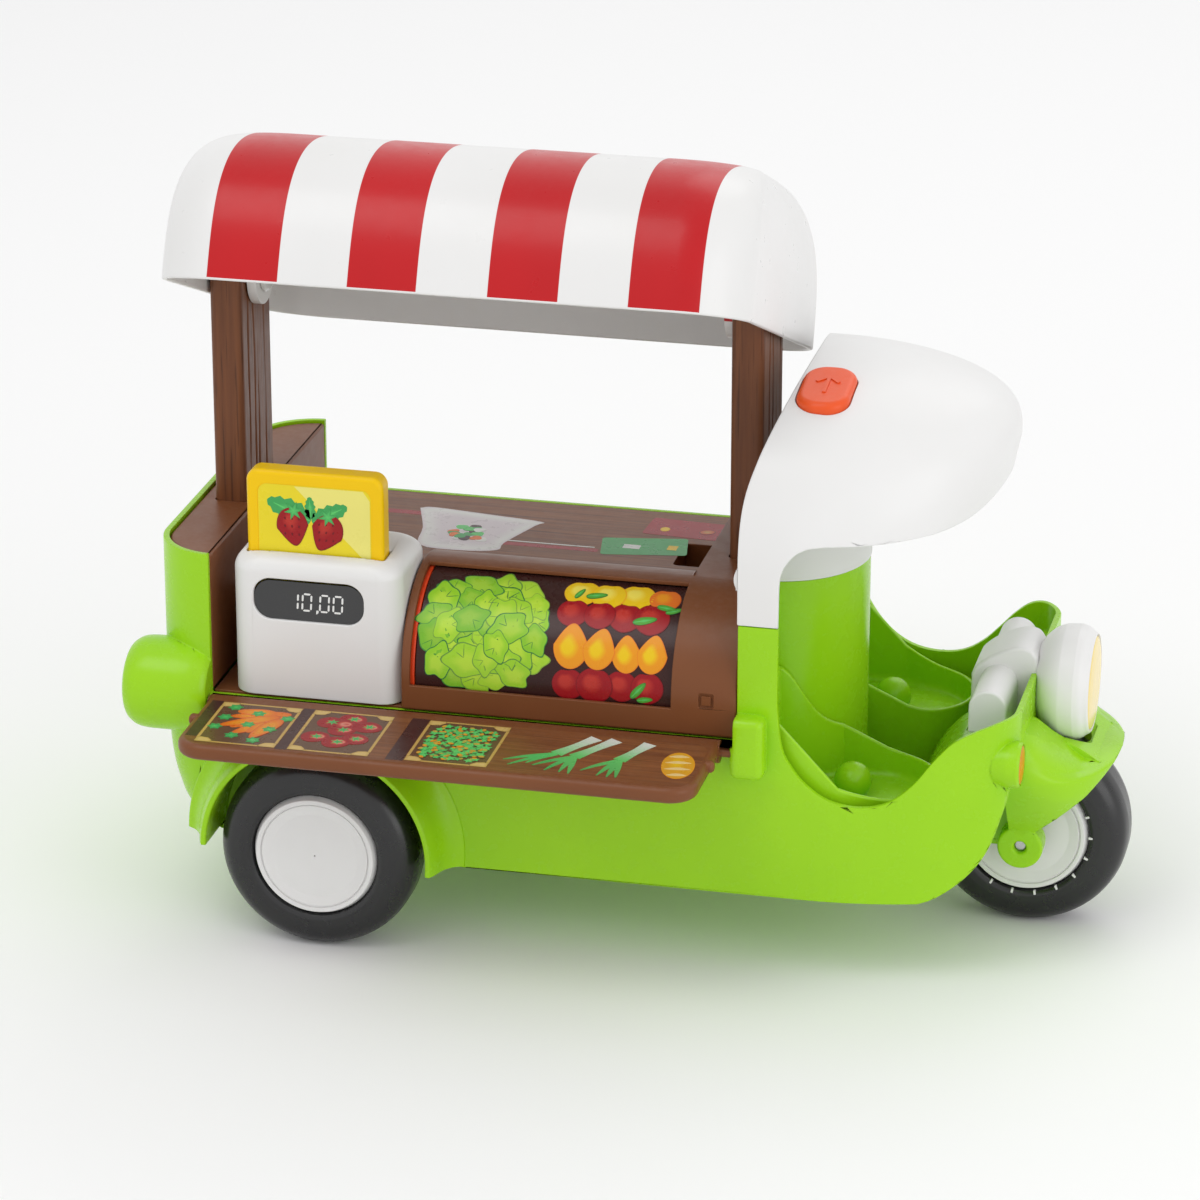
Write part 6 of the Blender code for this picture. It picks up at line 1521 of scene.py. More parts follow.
@dataclass
class Wheel:
    """Black tyre on a dished white centre; the front wheel has small tabs round it."""

    body: str
    axle_x: float
    inner: float
    outer: float
    nodes: tuple[str, str]
    through: bool = False
    tabs: int = 0
    radius: float = 40.0
    rim: float = 24.9

    def tyre(self) -> Form:
        """Tyre with round shoulders."""
        side = 1.0 if self.outer > self.inner else -1.0
        r, seat = self.radius, self.rim - 1.2
        a, b = self.inner, self.outer
        shoulder = [(0.0, r * 0.76), (1.4, r * 0.88), (4.8, r * 0.965), (9.5, r * 0.998)]
        outside = smoothed([(b - side * 0.4, self.rim + 1.4), (b, self.rim + 2.6),
                            *((b - side * back, away) for back, away in shoulder), (b - side * 14.0, r),
                            *((a + side * back, away) for back, away in reversed(shoulder)),
                            (a, self.rim + 1.0)], steps(7))
        low, high = min(a, b), max(a, b)
        outside = [(min(high, max(low, along)), min(away, r)) for along, away in outside]
        section = [(a, seat), (b - side * 3.0, seat), (b - side * 3.0, self.rim + 0.3),
                   (b - side * 0.9, self.rim + 0.7)]
        return Form.turned(Axis.Y, (self.axle_x, r), section + outside, steps(96))

    def centre(self) -> Form:
        """Wheel centre with a raised rim, a fine groove and a dished face."""
        side = 1.0 if self.outer > self.inner else -1.0
        seat, bore, face = self.rim - 1.5, 2.3, self.outer
        shelf = face - side * 2.7
        points = [(face, self.rim - 1.2), (face, self.rim * 0.885), (face - side * 0.9, self.rim * 0.88),
                  (face - side * 0.9, self.rim * 0.865), (face - side * 0.25, self.rim * 0.86),
                  (face - side * 1.0, self.rim * 0.7)]
        if self.through:
            points += [(face - side * 0.9, self.rim * 0.5), (face - side * 0.8, bore + 1.0),
                       (face - side * 0.8, bore)]
        else:
            points += [(face - side * 0.7, self.rim * 0.36), (face - side * 0.5, 0.3),
                       (face - side * 2.4, 0.3), (face - side * 2.4, bore)]
        section = [(self.inner, seat), (shelf, seat), (shelf, self.rim)]
        section += round_profile([(shelf, self.rim)] + points, 0.35, 4)[1:]
        section += [(self.inner, bore), (self.inner, bore + 3.4), (face - side * 4.0, bore + 3.4),
                    (face - side * 4.6, seat - 2.0), (self.inner, seat - 2.0)]
        return Form.turned(Axis.Y, (self.axle_x, self.radius), section, steps(84))

    def build(self) -> None:
        """Make the tyre, the centre and the ring of tabs."""
        word = self.body.replace("_wheel", "")
        tyre, hub = self.nodes
        show(self.tyre(), f"{word}_tyre_round", self.body, TYRE_BLACK, [tyre], 35.0, False)
        show(self.centre(), f"{word}_wheel_centre", self.body, SOFT_WHITE, [hub], 32.0)
        if self.tabs:
            show(self.tab_ring(), f"{word}_wheel_tabs", self.body, SOFT_WHITE)

    def tab_ring(self) -> Form:
        """Small tabs of the centre that show round it through the tyre's seat."""
        side = 1.0 if self.outer > self.inner else -1.0
        part = Form.box((-1.25, 1.0), (-0.45, 0.45), (-1.6, -0.15), 0.12)
        made = RING.form(SOFT_WHITE, radius=self.rim + 1.5, count=self.tabs, part=part.item)
        part.discard()
        made.warp(lambda v: Vector((self.axle_x + v.x, self.outer + side * v.z, self.radius + v.y)))
        return made.outward()


# Shapes made by geometry node trees


class Pattern:
    """A geometry node tree with named sizes; what it makes is kept as a plain mesh."""

    def __init__(self, name: str, sizes: Sequence[tuple]) -> None:
        """Start the tree; sizes are (label, socket type, value)."""
        entries = [("Geometry", "NodeSocketGeometry", None), *sizes, ("Finish", "NodeSocketMaterial", None)]
        self.sketch = Sketch.group(name, "GeometryNodeTree", entries, [("Geometry", "NodeSocketGeometry")])

    def size(self, label: str) -> bpy.types.NodeSocket:
        """Socket of a named size."""
        return self.sketch.entry.outputs[label]

    def instances(self, points: bpy.types.NodeSocket, part: bpy.types.NodeSocket, turn: object,
                  scale: object = None) -> bpy.types.NodeSocket:
        """Put a part on every point, turned about the third axis."""
        s = self.sketch
        source = s.node("GeometryNodeObjectInfo", {"Object": part, "As Instance": False}).outputs["Geometry"]
        about = s.node("ShaderNodeCombineXYZ", {"Z": turn}).outputs[0]
        inputs = {"Points": points, "Instance": source, "Rotation": about, "Scale": scale}
        return s.node("GeometryNodeInstanceOnPoints", inputs).outputs[0]

    def close(self, geometry: bpy.types.NodeSocket) -> "Pattern":
        """End the tree: instances become real and take the finish."""
        s = self.sketch
        real = s.node("GeometryNodeRealizeInstances", {0: geometry}).outputs[0]
        dressed = s.node("GeometryNodeSetMaterial",
                         {"Geometry": real, "Material": self.size("Finish")}).outputs[0]
        s.feed(s.exit.inputs[0], dressed)
        return self

    def form(self, finish: Moulded, carrier: Optional[Form] = None, **sizes: object) -> Form:
        """Run the tree and keep its result.

        Args:
            finish: Finish of what is made.
            carrier: Form that the tree works on, if it needs one.
            sizes: Values of the named sizes.

        Returns:
            The carrier, now holding the result.
        """
        start = carrier or Form(bmesh.new())
        values = {label.replace("_", " ").title(): value for label, value in sizes.items()}
        values["Finish"] = finish.material()
        step = start.item.modifiers.new("pattern", "NODES")
        step.node_group = self.sketch.tree
        for entry in self.sketch.tree.interface.items_tree:
            if entry.in_out == "INPUT" and entry.name in values:
                step[entry.identifier] = values[entry.name]
        start._bake()
        return start.outward()


def coil_pattern() -> Pattern:
    """Round wire wound to a spring with closed ends."""
    p = Pattern("wound_spring", [("Radius", "NodeSocketFloat", 3.0), ("Wire", "NodeSocketFloat", 0.45),
                                 ("Turns", "NodeSocketFloat", 9.0), ("Height", "NodeSocketFloat", 100.0),
                                 ("Place", "NodeSocketVector", (0.0, 0.0, 0.0)),
                                 ("Spans", "NodeSocketInt", 32)])
    s = p.sketch
    path = s.node("GeometryNodeCurveSpiral",
                  {"Resolution": p.size("Spans"), "Rotations": p.size("Turns"), "Height": p.size("Height"),
                                              "Start Radius": p.size("Radius"),
                                              "End Radius": p.size("Radius")})
    round_wire = s.node("GeometryNodeCurvePrimitiveCircle", {"Resolution": 12, "Radius": p.size("Wire")})
    tube = s.node("GeometryNodeCurveToMesh",
                  {"Curve": path.outputs[0], "Profile Curve": round_wire.outputs[0],
                                              "Fill Caps": True})
    placed = s.node("GeometryNodeTransform", {"Geometry": tube.outputs[0], "Translation": p.size("Place")})
    return p.close(placed.outputs[0])


def ring_pattern() -> Pattern:
    """A part repeated round a circle, each turned to face outwards."""
    p = Pattern("ring_of_parts", [("Radius", "NodeSocketFloat", 27.0), ("Count", "NodeSocketInt", 16),
                                  ("Part", "NodeSocketObject", None)])
    s = p.sketch
    circle = s.node("GeometryNodeMeshCircle",
                    {"Vertices": p.size("Count"), "Radius": p.size("Radius")}).outputs[0]
    index = s.node("GeometryNodeInputIndex").outputs[0]
    turn = s.math("DIVIDE", s.math("MULTIPLY", index, 2.0 * math.pi), p.size("Count"))
    return p.close(p.instances(circle, p.size("Part"), turn))


def scatter_pattern() -> Pattern:
    """A part scattered over flat faces, each copy turned, scaled and laid over the one before."""
    p = Pattern("scattered_parts", [("Part", "NodeSocketObject", None), ("Apart", "NodeSocketFloat", 4.0),
                                    ("Seed", "NodeSocketInt", 1), ("Smallest", "NodeSocketFloat", 0.8),
                                    ("Largest", "NodeSocketFloat", 1.2), ("Lift", "NodeSocketFloat", 0.01)])
    s = p.sketch
    spread = s.node("GeometryNodeDistributePointsOnFaces",
                    {"Mesh": s.entry.outputs["Geometry"], "Distance Min": p.size("Apart"),
                                                            "Density Max": 10.0, "Seed": p.size("Seed")},
                    distribute_method="POISSON").outputs[0]
    index = s.node("GeometryNodeInputIndex").outputs[0]
    lift = s.node("ShaderNodeCombineXYZ", {"Z": s.math("MULTIPLY", index, p.size("Lift"))}).outputs[0]
    raised = s.node("GeometryNodeSetPosition", {"Geometry": spread, "Offset": lift}).outputs[0]
    turn = s.node("FunctionNodeRandomValue", {"Min": 0.0, "Max": 2.0 * math.pi, "Seed": 3}, data_type="FLOAT")
    scale = s.node("FunctionNodeRandomValue",
                   {"Min": p.size("Smallest"), "Max": p.size("Largest"), "Seed": 5}, data_type="FLOAT")
    pick = s.node("FunctionNodeRandomValue", {"Min": 0.0, "Max": 1.0, "Seed": 7}, data_type="FLOAT")
    made = p.instances(raised, p.size("Part"), turn.outputs["Value"], scale.outputs["Value"])
    marked = s.node("GeometryNodeStoreNamedAttribute",
                    {"Geometry": made, "Name": "pick", "Value": pick.outputs["Value"]}, data_type="FLOAT",
                    domain="INSTANCE").outputs[0]
    return p.close(marked)


def row_pattern() -> Pattern:
    """A part repeated on every point of a sparse carrier."""
    p = Pattern("parts_on_points", [("Part", "NodeSocketObject", None)])
    return p.close(p.instances(p.sketch.entry.outputs["Geometry"], p.size("Part"), 0.0))


COIL, RING, SCATTER, ROW = coil_pattern(), ring_pattern(), scatter_pattern(), row_pattern()


# Stall mouldings


@dataclass
class Stall:
    """Base plate, rear deck, counter and the frame round the display drum."""

    tub: Tub = field(default_factory=Tub)
    plate_z: Pair = (33.8, 36.3)
    screws: tuple[Pair, ...] = ((-24.0, -66.0), (-24.0, 66.0), (112.0, -58.0), (112.0, 58.0))
    screw_radius: float = 3.2
    sheet: float = 2.2
    deck_z: float = 155.0
    counter_z: float = 127.5
    front_x: float = 73.0
    block_x: float = 47.5
    frame_x: float = -60.0
    pocket: tuple[Pair, Pair, float] = ((25.0, 38.0), (21.0, 46.0), 12.0)
    drum: Pair = (-44.5, 110.0)
    skin: float = 1.7
    window_x: Pair = (-56.5, 47.2)
    window_turn: Pair = (98.3, 182.0)
    till_step: float = -38.2
    column_x: Pair = (-147.1, 63.0)
    column_size: Pair = (13.0, 40.0)
    column_foot: float = 129.0
    catch: Triple = (61.0, 113.0, 2.9)

    def slot(self, x: float, grow: float, low: float, high: float) -> Form:
        """Block round a column, grown by a clearance."""
        half_x, half_y = self.column_size[0] / 2 + 0.3 + grow, self.column_size[1] / 2 + 0.3 + grow
        return Form.prism(Axis.Z, rounded(half_x, half_y, 2.0 + grow, 6, (x, 0.0)), low, high)

    def plate(self) -> Form:
        """Floor of the tub with axle blocks, wheel notches and the latch's ledge."""
        low, top = self.plate_z
        tub = self.tub
        form = Form.prism(Axis.Z, tub.outline(tub.rear_x + 25.0, 140.2, tub.wall + 0.3), low, top)
        for side in (-1, 1):
            form.cut(Form.box((-155.4, -32.4), on_side(side, 67.6, 88.0), (low - 1, top + 1)))
            form.fuse(Form.box((-98.4, -84.4), on_side(side, 50.0, 58.0), (low + 0.5, 45.5)))
        form.cut(Form.box((129.4, 176.0), (-21.6, 21.6), (low - 1, top + 1)))
        form.cut(rod(Axis.Y, (-91.4, 40.0), -70.0, 70.0, 2.3, 30))
        form.fuse(Form.box((77.0, 96.0), (-24.0, 8.0), (low + 0.5, 48.3)),
                  rod(Axis.Z, (63.0, 0.0), low + 0.5, 41.0, 5.0, 30))
        form.fuse(Form.box((-133.8, -131.4), (-7.0, 7.0), (low + 0.5, 46.5)),
                  Form.box((-150.0, -132.8), (-6.5, 6.5), (44.5, 46.49)))
        return form.soften(0.3, 50.0, 2, 0.0)

    def screw_heads(self) -> Form:
        """Pan heads with a cross recess, one at each fixing point."""
        r = self.screw_radius
        head = Form.turned(Axis.Z, (0.0, 0.0),
                           round_profile([(-1.2, 0.0), (-1.2, r * 0.7), (-0.7, r), (0.0, r), (0.0, 0.0)],
                                         0.3), 40)
        for half_x, half_y in ((1.7, 0.35), (0.35, 1.7)):
            head.cut(Form.box((-half_x, half_x), (-half_y, half_y), (-2.0, -0.55)))
        spots = bmesh.new()
        for x, y in self.screws:
            spots.verts.new((x, y, self.plate_z[0] - 0.3))
        made = ROW.form(SPRING_STEEL, Form(spots), part=head.item)
        head.discard()
        return made

    def deck(self) -> Form:
        """Raised deck at the back, hollow below, with the rear column's guide."""
        tub, low, front = self.tub, self.tub.sill + 0.5, self.tub.stall_rear
        form = Form.prism(Axis.Z, tub.outline(tub.rear_x, 184.0, tub.wall + 0.3), low, self.deck_z)
        form.cut(Form.box((front, 210.0), (-200.0, 200.0), (low - 5, self.deck_z + 5)))
        form.soften(1.3, 50.0, 4)
        hollow = Form.prism(Axis.Z, tub.outline(tub.rear_x, 184.0, tub.wall + 2.5), low - 5,
                            self.deck_z - self.sheet)
        hollow.cut(Form.box((front - self.sheet, 210.0), (-200.0, 200.0), (low - 9, self.deck_z + 9)))
        form.cut(hollow).fuse(self.slot(self.column_x[0], 1.8, self.column_foot, self.deck_z - 0.8))
        return form.cut(self.slot(self.column_x[0], 0.0, self.column_foot - 9, self.deck_z + 9))

    def counter(self) -> Form:
        """Counter board with the till's shelf and the sunk card pocket."""
        edge = self.tub.half_width - self.tub.wall - 0.3
        left, right = self.tub.stall_rear + 0.3, self.block_x - 0.3
        under, top = self.counter_z - self.sheet, self.counter_z
        shelf, step = self.tub.sill + 0.7, self.till_step
        till_end, near = self.frame_x - 0.3, -5.7
        outline = [(left, step), (till_end, step), (till_end, near), (right, near), (right, edge),
                   (left, edge)]
        form = Form.prism(Axis.Z, outline, under, top)
        form.fuse(Form.box((left, till_end), (step, step + self.sheet), (shelf - self.sheet, top - 0.5)))
        form.fuse(Form.box((left, till_end), (-edge, step + self.sheet), (shelf - self.sheet - 0.01, shelf)))
        (x0, x1), (y0, y1), depth = self.pocket
        floor, wall = top - depth, 1.6
        form.fuse(Form.box((x0 - wall, x1 + wall), (y0 - wall, y1 + wall), (floor - wall, top - 0.5)))
        middle = ((x0 + x1) / 2, (y0 + y1) / 2)
        form.cut(Form.prism(Axis.Z, rounded((x1 - x0) / 2, (y1 - y0) / 2, 2.0, 8, middle), floor, top + 5))
        for y in (edge - 9.0, 4.0):
            form.fuse(Form.box((left + 2, right - 2), (y, y + 1.6), (under - 6, under + 0.5)))
        return form.soften(0.4, 50.0, 3, 0.0)

    def section(self, grow: float, low: float, far: Optional[Pair] = None) -> Outline:
        """Section in Y and Z: an arch about the drum, or the cross block, flat to a far corner."""
        y, z = self.drum
        outer = self.tub.half_width + y + grow
        if far is None:
            return [(y - outer, low)] + arc((y, z), outer, 180, 0, steps(64)) + [(y + outer, low)]
        far_y, corner = far
        top = z + outer
        bend = arc((far_y - corner + grow, top - corner), corner, 90, 0, steps(16))
        return [(y - outer, low)] + arc((y, z), outer, 180, 90, steps(32)) + bend + [(far_y + grow, low)]

    def frame(self) -> Form:
        """Brown frame round the drum's window, with the cross block that guides the front column."""
        tub, low, y, z = self.tub, self.tub.sill + 0.5, *self.drum
        far = tub.half_width - tub.wall - 0.3
        room_end, cross_front = self.block_x + 2.8, self.front_x - self.sheet
        form = Form.prism(Axis.X, self.section(0.0, low), self.frame_x, self.block_x + 2.0)
        form.fuse(Form.prism(Axis.X, self.section(0.0, low, (far, 12.0)), self.block_x, self.front_x))
        form.soften(1.1, 42.0, 4)
        form.cut(Form.prism(Axis.X, self.section(-self.skin, low - 9), self.frame_x + self.sheet, room_end))
        form.cut(Form.prism(Axis.X, self.section(-self.sheet, low - 9, (far, 10.0)), room_end + self.sheet,
                            cross_front))
        window = arc((y, z), 60.0, *self.window_turn, steps(24)) + [(y, z)]
        opening = Form.prism(Axis.X, window, *self.window_x)
        form.cut(opening)
        form.fuse(self.slot(self.column_x[1], 1.8, self.column_foot - 4, z + tub.half_width + y - 0.8))
        form.cut(self.slot(self.column_x[1], 0.0, self.column_foot - 20, self.deck_z + 9))
        x, height, half = self.catch
        outline = rounded(half, half, 0.8, 5, (x, height))
        form.cut(Form.prism(Axis.Y, outline, -tub.half_width - 5, -tub.half_width + 1.2))
        form.cut(rod(Axis.X, (y, z), self.frame_x - 5, self.block_x + 12, 1.8, 30))
        return form.soften(0.28, 55.0, 2)

    def peg(self) -> Form:
        """Small square peg in the catch recess."""
        x, height, half = self.catch
        face = -self.tub.half_width
        peg = Form.prism(Axis.Y, rounded(half - 1.0, half - 1.0, 0.5, 4, (x, height)), face + 0.35,
                         face + 0.9)
        return peg.soften(0.2, 50.0)

    def build(self) -> None:
        """Make every moulding of the stall."""
        show(self.plate(), "floor_plate", "truck", LEAF_GREEN, ["base_plate"])
        show(self.screw_heads(), "floor_screws", "truck", SPRING_STEEL,
             [f"base_screw_{i}" for i in (1, 2, 3, 4)])
        show(self.deck(), "raised_deck", "truck", NUT_BROWN, ["rear_deck"])
        show(self.counter(), "counter_board", "truck", NUT_BROWN, ["counter"])
        show(self.frame(), "window_frame", "truck", NUT_BROWN, ["display_frame"], 45.0)
        show(self.peg(), "catch_square", "truck", NUT_BROWN, ["tray_catch_peg"])


# Till and card


@dataclass
class Till:
    """White till with a dark display, and the yellow card that stands in its slot."""

    x: Pair = (-128.5, -60.5)
    y: Pair = (-82.6, -38.5)
    low: float = 99.2
    top: float = 157.0
    corner: float = 9.0
    edge: float = 7.0
    wall: float = 2.2
    window: Pair = (44.5, 17.0)
    window_at: Pair = (-96.8, 139.7)
    card_x: float = -95.8
    card_width: float = 55.0
    card_near: float = -75.0
    card_thickness: float = 9.6
    card_z: Pair = (128.5, 190.0)

    def ring(self, shrink: float, z: float) -> Ring:
        """One level of the housing."""
        half_x, half_y = (self.x[1] - self.x[0]) / 2 - shrink, (self.y[1] - self.y[0]) / 2 - shrink
        middle = (sum(self.x) / 2, sum(self.y) / 2)
        return at_height(rounded(half_x, half_y, self.corner, steps(16), middle), z)

    def dome(self, shrink: float, top: float) -> list[Ring]:
        """Levels of the rounded top edge."""
        count = steps(12)
        turns = [math.radians(90.0 * i / count) for i in range(count + 1)]
        return [self.ring(shrink + self.edge * (1 - math.cos(a)),
                          top - self.edge + self.edge * math.sin(a)) for a in turns]

    def housing(self) -> Form:
        """White shell with its display window and card slot."""
        form = Form.loft([self.ring(0.0, self.low)] + self.dome(0.0, self.top))
        form.cut(Form.loft([self.ring(self.wall, self.low - 5)] + self.dome(self.wall, self.top - self.wall)))
        width, height = self.window
        outline = rounded(width / 2, height / 2, height * 0.42, 14, self.window_at)
        form.cut(Form.prism(Axis.Y, outline, self.y[0] - 5, self.card_near + 5))
        gap = 0.5
        half = self.card_width / 2 + gap
        middle = (self.card_x, self.card_near + self.card_thickness / 2)
        form.cut(Form.prism(Axis.Z, rounded(half, self.card_thickness / 2 + gap, 1.6, 6, middle),
                            self.top - 20, self.top + 5))
        form.soften(0.5, 50.0, 3)
        shelf = self.card_z[0] - 0.3
        return form.fuse(Form.box((self.card_x - 12, self.card_x + 12),
                                  (self.y[0] + 0.8, self.card_near + self.card_thickness + 1),
                                  (shelf - self.wall, shelf)))

    def display(self) -> Form:
        """Dark display plate behind the window, lying on the card's face."""
        width, height = self.window
        x, z = self.window_at
        middle = (x, z - 0.45)
        outline = rounded(width / 2 - 0.15, height / 2 - 0.55, height * 0.40, 14, middle)
        plate = Form.prism(Axis.Y, outline, self.y[0] + 1.1, self.y[0] + 2.6)
        return plate.soften(0.25, 50.0)

    def digits(self) -> Form:
        """Seven-bar digits that read a plain amount."""
        lit = {"0": "abcdef", "1": "bc"}
        bars = {"a": (0.0, 1.0, True), "b": (0.5, 0.5, False), "c": (0.5, -0.5, False),
                "d": (0.0, -1.0, True), "e": (-0.5, -0.5, False), "f": (-0.5, 0.5, False)}
        half_w, half_h, thick, slant = 1.75, 3.4, 0.36, 0.06
        x, z = self.window_at
        face = self.y[0] + 1.1
        bm = bmesh.new()
        at = x - 6.2
        for sign in "10,00":
            if sign == ",":
                self._bar(bm, at - 1.0, z - 1.0 - half_h, 0.45, 0.75, face, slant, z, False)
                at += 1.7
                continue
            for key in lit[sign]:
                across, up, level = bars[key]
                long = (half_w if level else half_h / 2) - 0.32
                halves = (long, thick) if level else (thick, long)
                self._bar(bm, at + across * 2 * half_w, z - 0.6 + up * half_h, *halves, face, slant, z, True)
            at += 2 * half_w + 1.9
        return Form(bm)

    def _bar(self, bm: bmesh.types.BMesh, x: float, z: float, half_x: float, half_z: float, face: float,
             slant: float, base: float, pointed: bool) -> None:
        """One bar of a digit as a thin closed plate with pointed ends."""
        if not pointed:
            outline = [(-half_x, half_z), (half_x, half_z), (half_x, -half_z * 0.2), (-half_x * 0.4, -half_z),
                       (-half_x, -half_z)]
        elif half_x > half_z:
            outline = [(-half_x, 0), (-half_x + half_z, half_z), (half_x - half_z, half_z), (half_x, 0),
                       (half_x - half_z, -half_z), (-half_x + half_z, -half_z)]
        else:
            outline = [(0, half_z), (half_x, half_z - half_x), (half_x, -half_z + half_x), (0, -half_z),
                       (-half_x, -half_z + half_x), (-half_x, half_z - half_x)]
        rows = []
        for depth in (-0.12, 0.1):
            rows.append([bm.verts.new((x + a + (z + b - base) * slant, face + depth, z + b)) for a,
                         b in outline])
        count = len(outline)
        for i in range(count):
            j = (i + 1) % count
            bm.faces.new((rows[0][i], rows[0][j], rows[1][j], rows[1][i]))
        bm.faces.new(rows[0])
        bm.faces.new(list(reversed(rows[1])))

    def card(self) -> Form:
        """Yellow card with soft edges and a sunk panel on its near face."""
        low, high = self.card_z
        middle = (self.card_x, (low + high) / 2)
        near, thick = self.card_near, self.card_thickness
        form = Form.prism(Axis.Y, rounded(self.card_width / 2, (high - low) / 2, 5.0, 14, middle), near,
                          near + thick)
        form.soften(1.9, 50.0, 6)
        panel = rounded(self.card_width / 2 - 4.6, (high - low) / 2 - 5.2, 4.0, 10, middle)
        return form.cut(Form.prism(Axis.Y, panel, near - 3, near + 0.22).soften(0.1, 50.0))

    def build(self) -> None:
        """Make the till, its display and the card."""
        show(self.housing(), "till_case", "truck", SOFT_WHITE, ["till_housing"], 45.0)
        for form, name, finish in ((self.display(), "till_display", SMOKE_BLACK),
                                   (self.digits(), "till_digits", DIGIT_WHITE)):
            show(form, name, "truck", finish)
        show(self.card(), "fruit_card", "card", CARD_YELLOW, ["price_card"], 45.0)


# Display drum


@dataclass
class Drum:
    """Turning drum with its orange rims and steel axle."""

    centre: Pair = (-44.5, 110.0)
    span: Pair = (-57.2, 49.7)
    radius: float = 36.0
    wall: float = 1.8
    rim: float = 2.0
    bore: float = 1.8

    def tube(self) -> Form:
        """Tube that carries the label."""
        low, high = self.span[0] + self.rim + 0.3, self.span[1] - self.rim - 0.3
        r, w = self.radius, self.wall
        section = [(low, r - 0.3), (low + 0.3, r), (high - 0.3, r), (high, r - 0.3), (high, r - w),
                   (low, r - w)]
        return Form.turned(Axis.X, self.centre, section, steps(120))

    def end(self, rear: bool) -> Form:
        """Orange end with a rounded rim, a hub and a plug that fits the tube."""
        face, inward = (self.span[0], 1.0) if rear else (self.span[1], -1.0)
        r, rim, plug = self.radius + 0.1, self.rim, self.radius - self.wall - 0.3
        section = [(face, self.bore), (face, r - 0.5), (face + inward * 0.2, r - 0.15),
                   (face + inward * 0.5, r), (face + inward * (rim - 0.3), r), (face + inward * rim, r - 0.3),
                   (face + inward * rim, plug), (face + inward * 6.0, plug),
                   (face + inward * 6.0, plug - 1.8), (face + inward * rim, plug - 1.8),
                   (face + inward * rim, self.bore + 2.4), (face + inward * 9.0, self.bore + 2.4),
                   (face + inward * 9.0, self.bore)]
        return Form.turned(Axis.X, self.centre, section, steps(120))

    def build(self) -> None:
        """Make the drum's mouldings."""
        show(self.tube(), "drum_tube", "drum", LABEL_GROUND, ["drum_shell"])
        show(self.end(True), "drum_rim_rear", "drum", RIM_ORANGE, ["drum_end_rear"])
        show(self.end(False), "drum_rim_front", "drum", RIM_ORANGE, ["drum_end_front"])


# Tray


@dataclass
class Tray:
    """Fold-up shelf with rounded edges, hinge barrel, pins and snap nubs."""

    x: Pair = (-136.0, 68.0)
    hinge: Pair = (-88.0, 95.0)
    barrel: float = 4.5
    thickness: float = 6.6
    depth: float = 50.6
    corner: float = 11.0
    pin: Pair = (2.0, 5.5)
    front_pin_end: float = 77.3
    snap: Pair = (20.5, 2.0)

    def board(self) -> Form:
        """The whole moulding."""
        top = self.hinge[1] + self.barrel
        low, near = top - self.thickness, self.hinge[0] - self.depth
        outline = [(self.x[1], self.hinge[0]), (self.x[0], self.hinge[0])]
        outline += arc((self.x[0] + self.corner, near + self.corner), self.corner, 180, 270, 18)
        outline += arc((self.x[1] - self.corner, near + self.corner), self.corner, 270, 360, 18)
        form = Form.prism(Axis.Z, outline, low, top)
        form.round_edges(2.6, lambda e: abs(e.verts[0].co.z - e.verts[1].co.z) < 1e-4
                         and min(e.verts[0].co.y, e.verts[1].co.y) < self.hinge[0] - 1.0, 6)
        form.fuse(rod(Axis.X, self.hinge, self.x[0] + 0.01, self.x[1] - 0.01, self.barrel, 56))
        radius, length = self.pin
        form.fuse(rod(Axis.X, self.hinge, self.x[0] - length, self.x[0] + 2, radius, 30))
        form.fuse(rod(Axis.X, self.hinge, self.x[1] - 2, self.front_pin_end, radius, 30))
        for side, end in ((-1, self.x[0]), (1, self.x[1])):
            tip = end + side * self.snap[1]
            profile = [(end - side * 2.0, 0.0), (end - side * 2.0, 2.4), (tip - side, 2.4), (tip, 1.4),
                       (tip, 0.0)]
            form.fuse(Form.turned(Axis.X, (self.hinge[0] - self.snap[0], top - 2.2),
                                  round_profile(profile, 0.6), 36))
        return form.soften(0.3, 50.0)

    def build(self) -> None:
        """Make the tray's moulding."""
        show(self.board(), "tray_board", "tray", NUT_BROWN, ["fold_tray"])


# Hidden works


@dataclass
class Works:
    """Springs, and the finishes of the rods that are kept as packed."""

    columns: Pair = (-147.1, 63.0)
    seats: Pair = (46.5, 41.0)
    bore_top: float = 159.0
    spring: Pair = (3.1, 0.45)
    turns: float = 9.0
    button_at: Triple = (93.0, -21.0, 207.0)

    def column_spring(self, x: float, seat: float) -> Form:
        """Spring under a column, drawn with the canopy raised."""
        low = seat + 0.3 + self.spring[1]
        height = self.bore_top - 0.3 - self.spring[1] - low
        return COIL.form(SPRING_STEEL, radius=self.spring[0], wire=self.spring[1], turns=self.turns,
                         height=height, place=(x, 0.0, low), spans=steps(32))

    def button_spring(self) -> Form:
        """Return spring of the roof button."""
        return COIL.form(SPRING_STEEL, radius=3.6, wire=0.5, turns=4.0, height=11.6, place=self.button_at,
                         spans=steps(32))

    def build(self) -> None:
        """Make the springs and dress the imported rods."""
        for x, seat, word in ((self.columns[0], self.seats[0], "rear"),
                              (self.columns[1], self.seats[1], "front")):
            item = show_stretched(self.column_spring(x, seat), f"{word}_column_spring",
                                  SPRING_STEEL)
            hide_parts(f"{word}_lift_spring")
        seat = Vector(self.button_at)
        item = show_stretched(self.button_spring(), "button_return_spring",
                              SPRING_STEEL)
        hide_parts("button_spring")
        for name, finish in (("front_axle", SPRING_STEEL), ("rear_axle", SPRING_STEEL),
                             ("drum_axle", SPRING_STEEL), ("release_rod", SOFT_WHITE),
                             ("lift_latch", SOFT_WHITE)):
            for item in packed(name):
                item.data.materials.clear()
                item.data.materials.append(finish.material())


# Prints


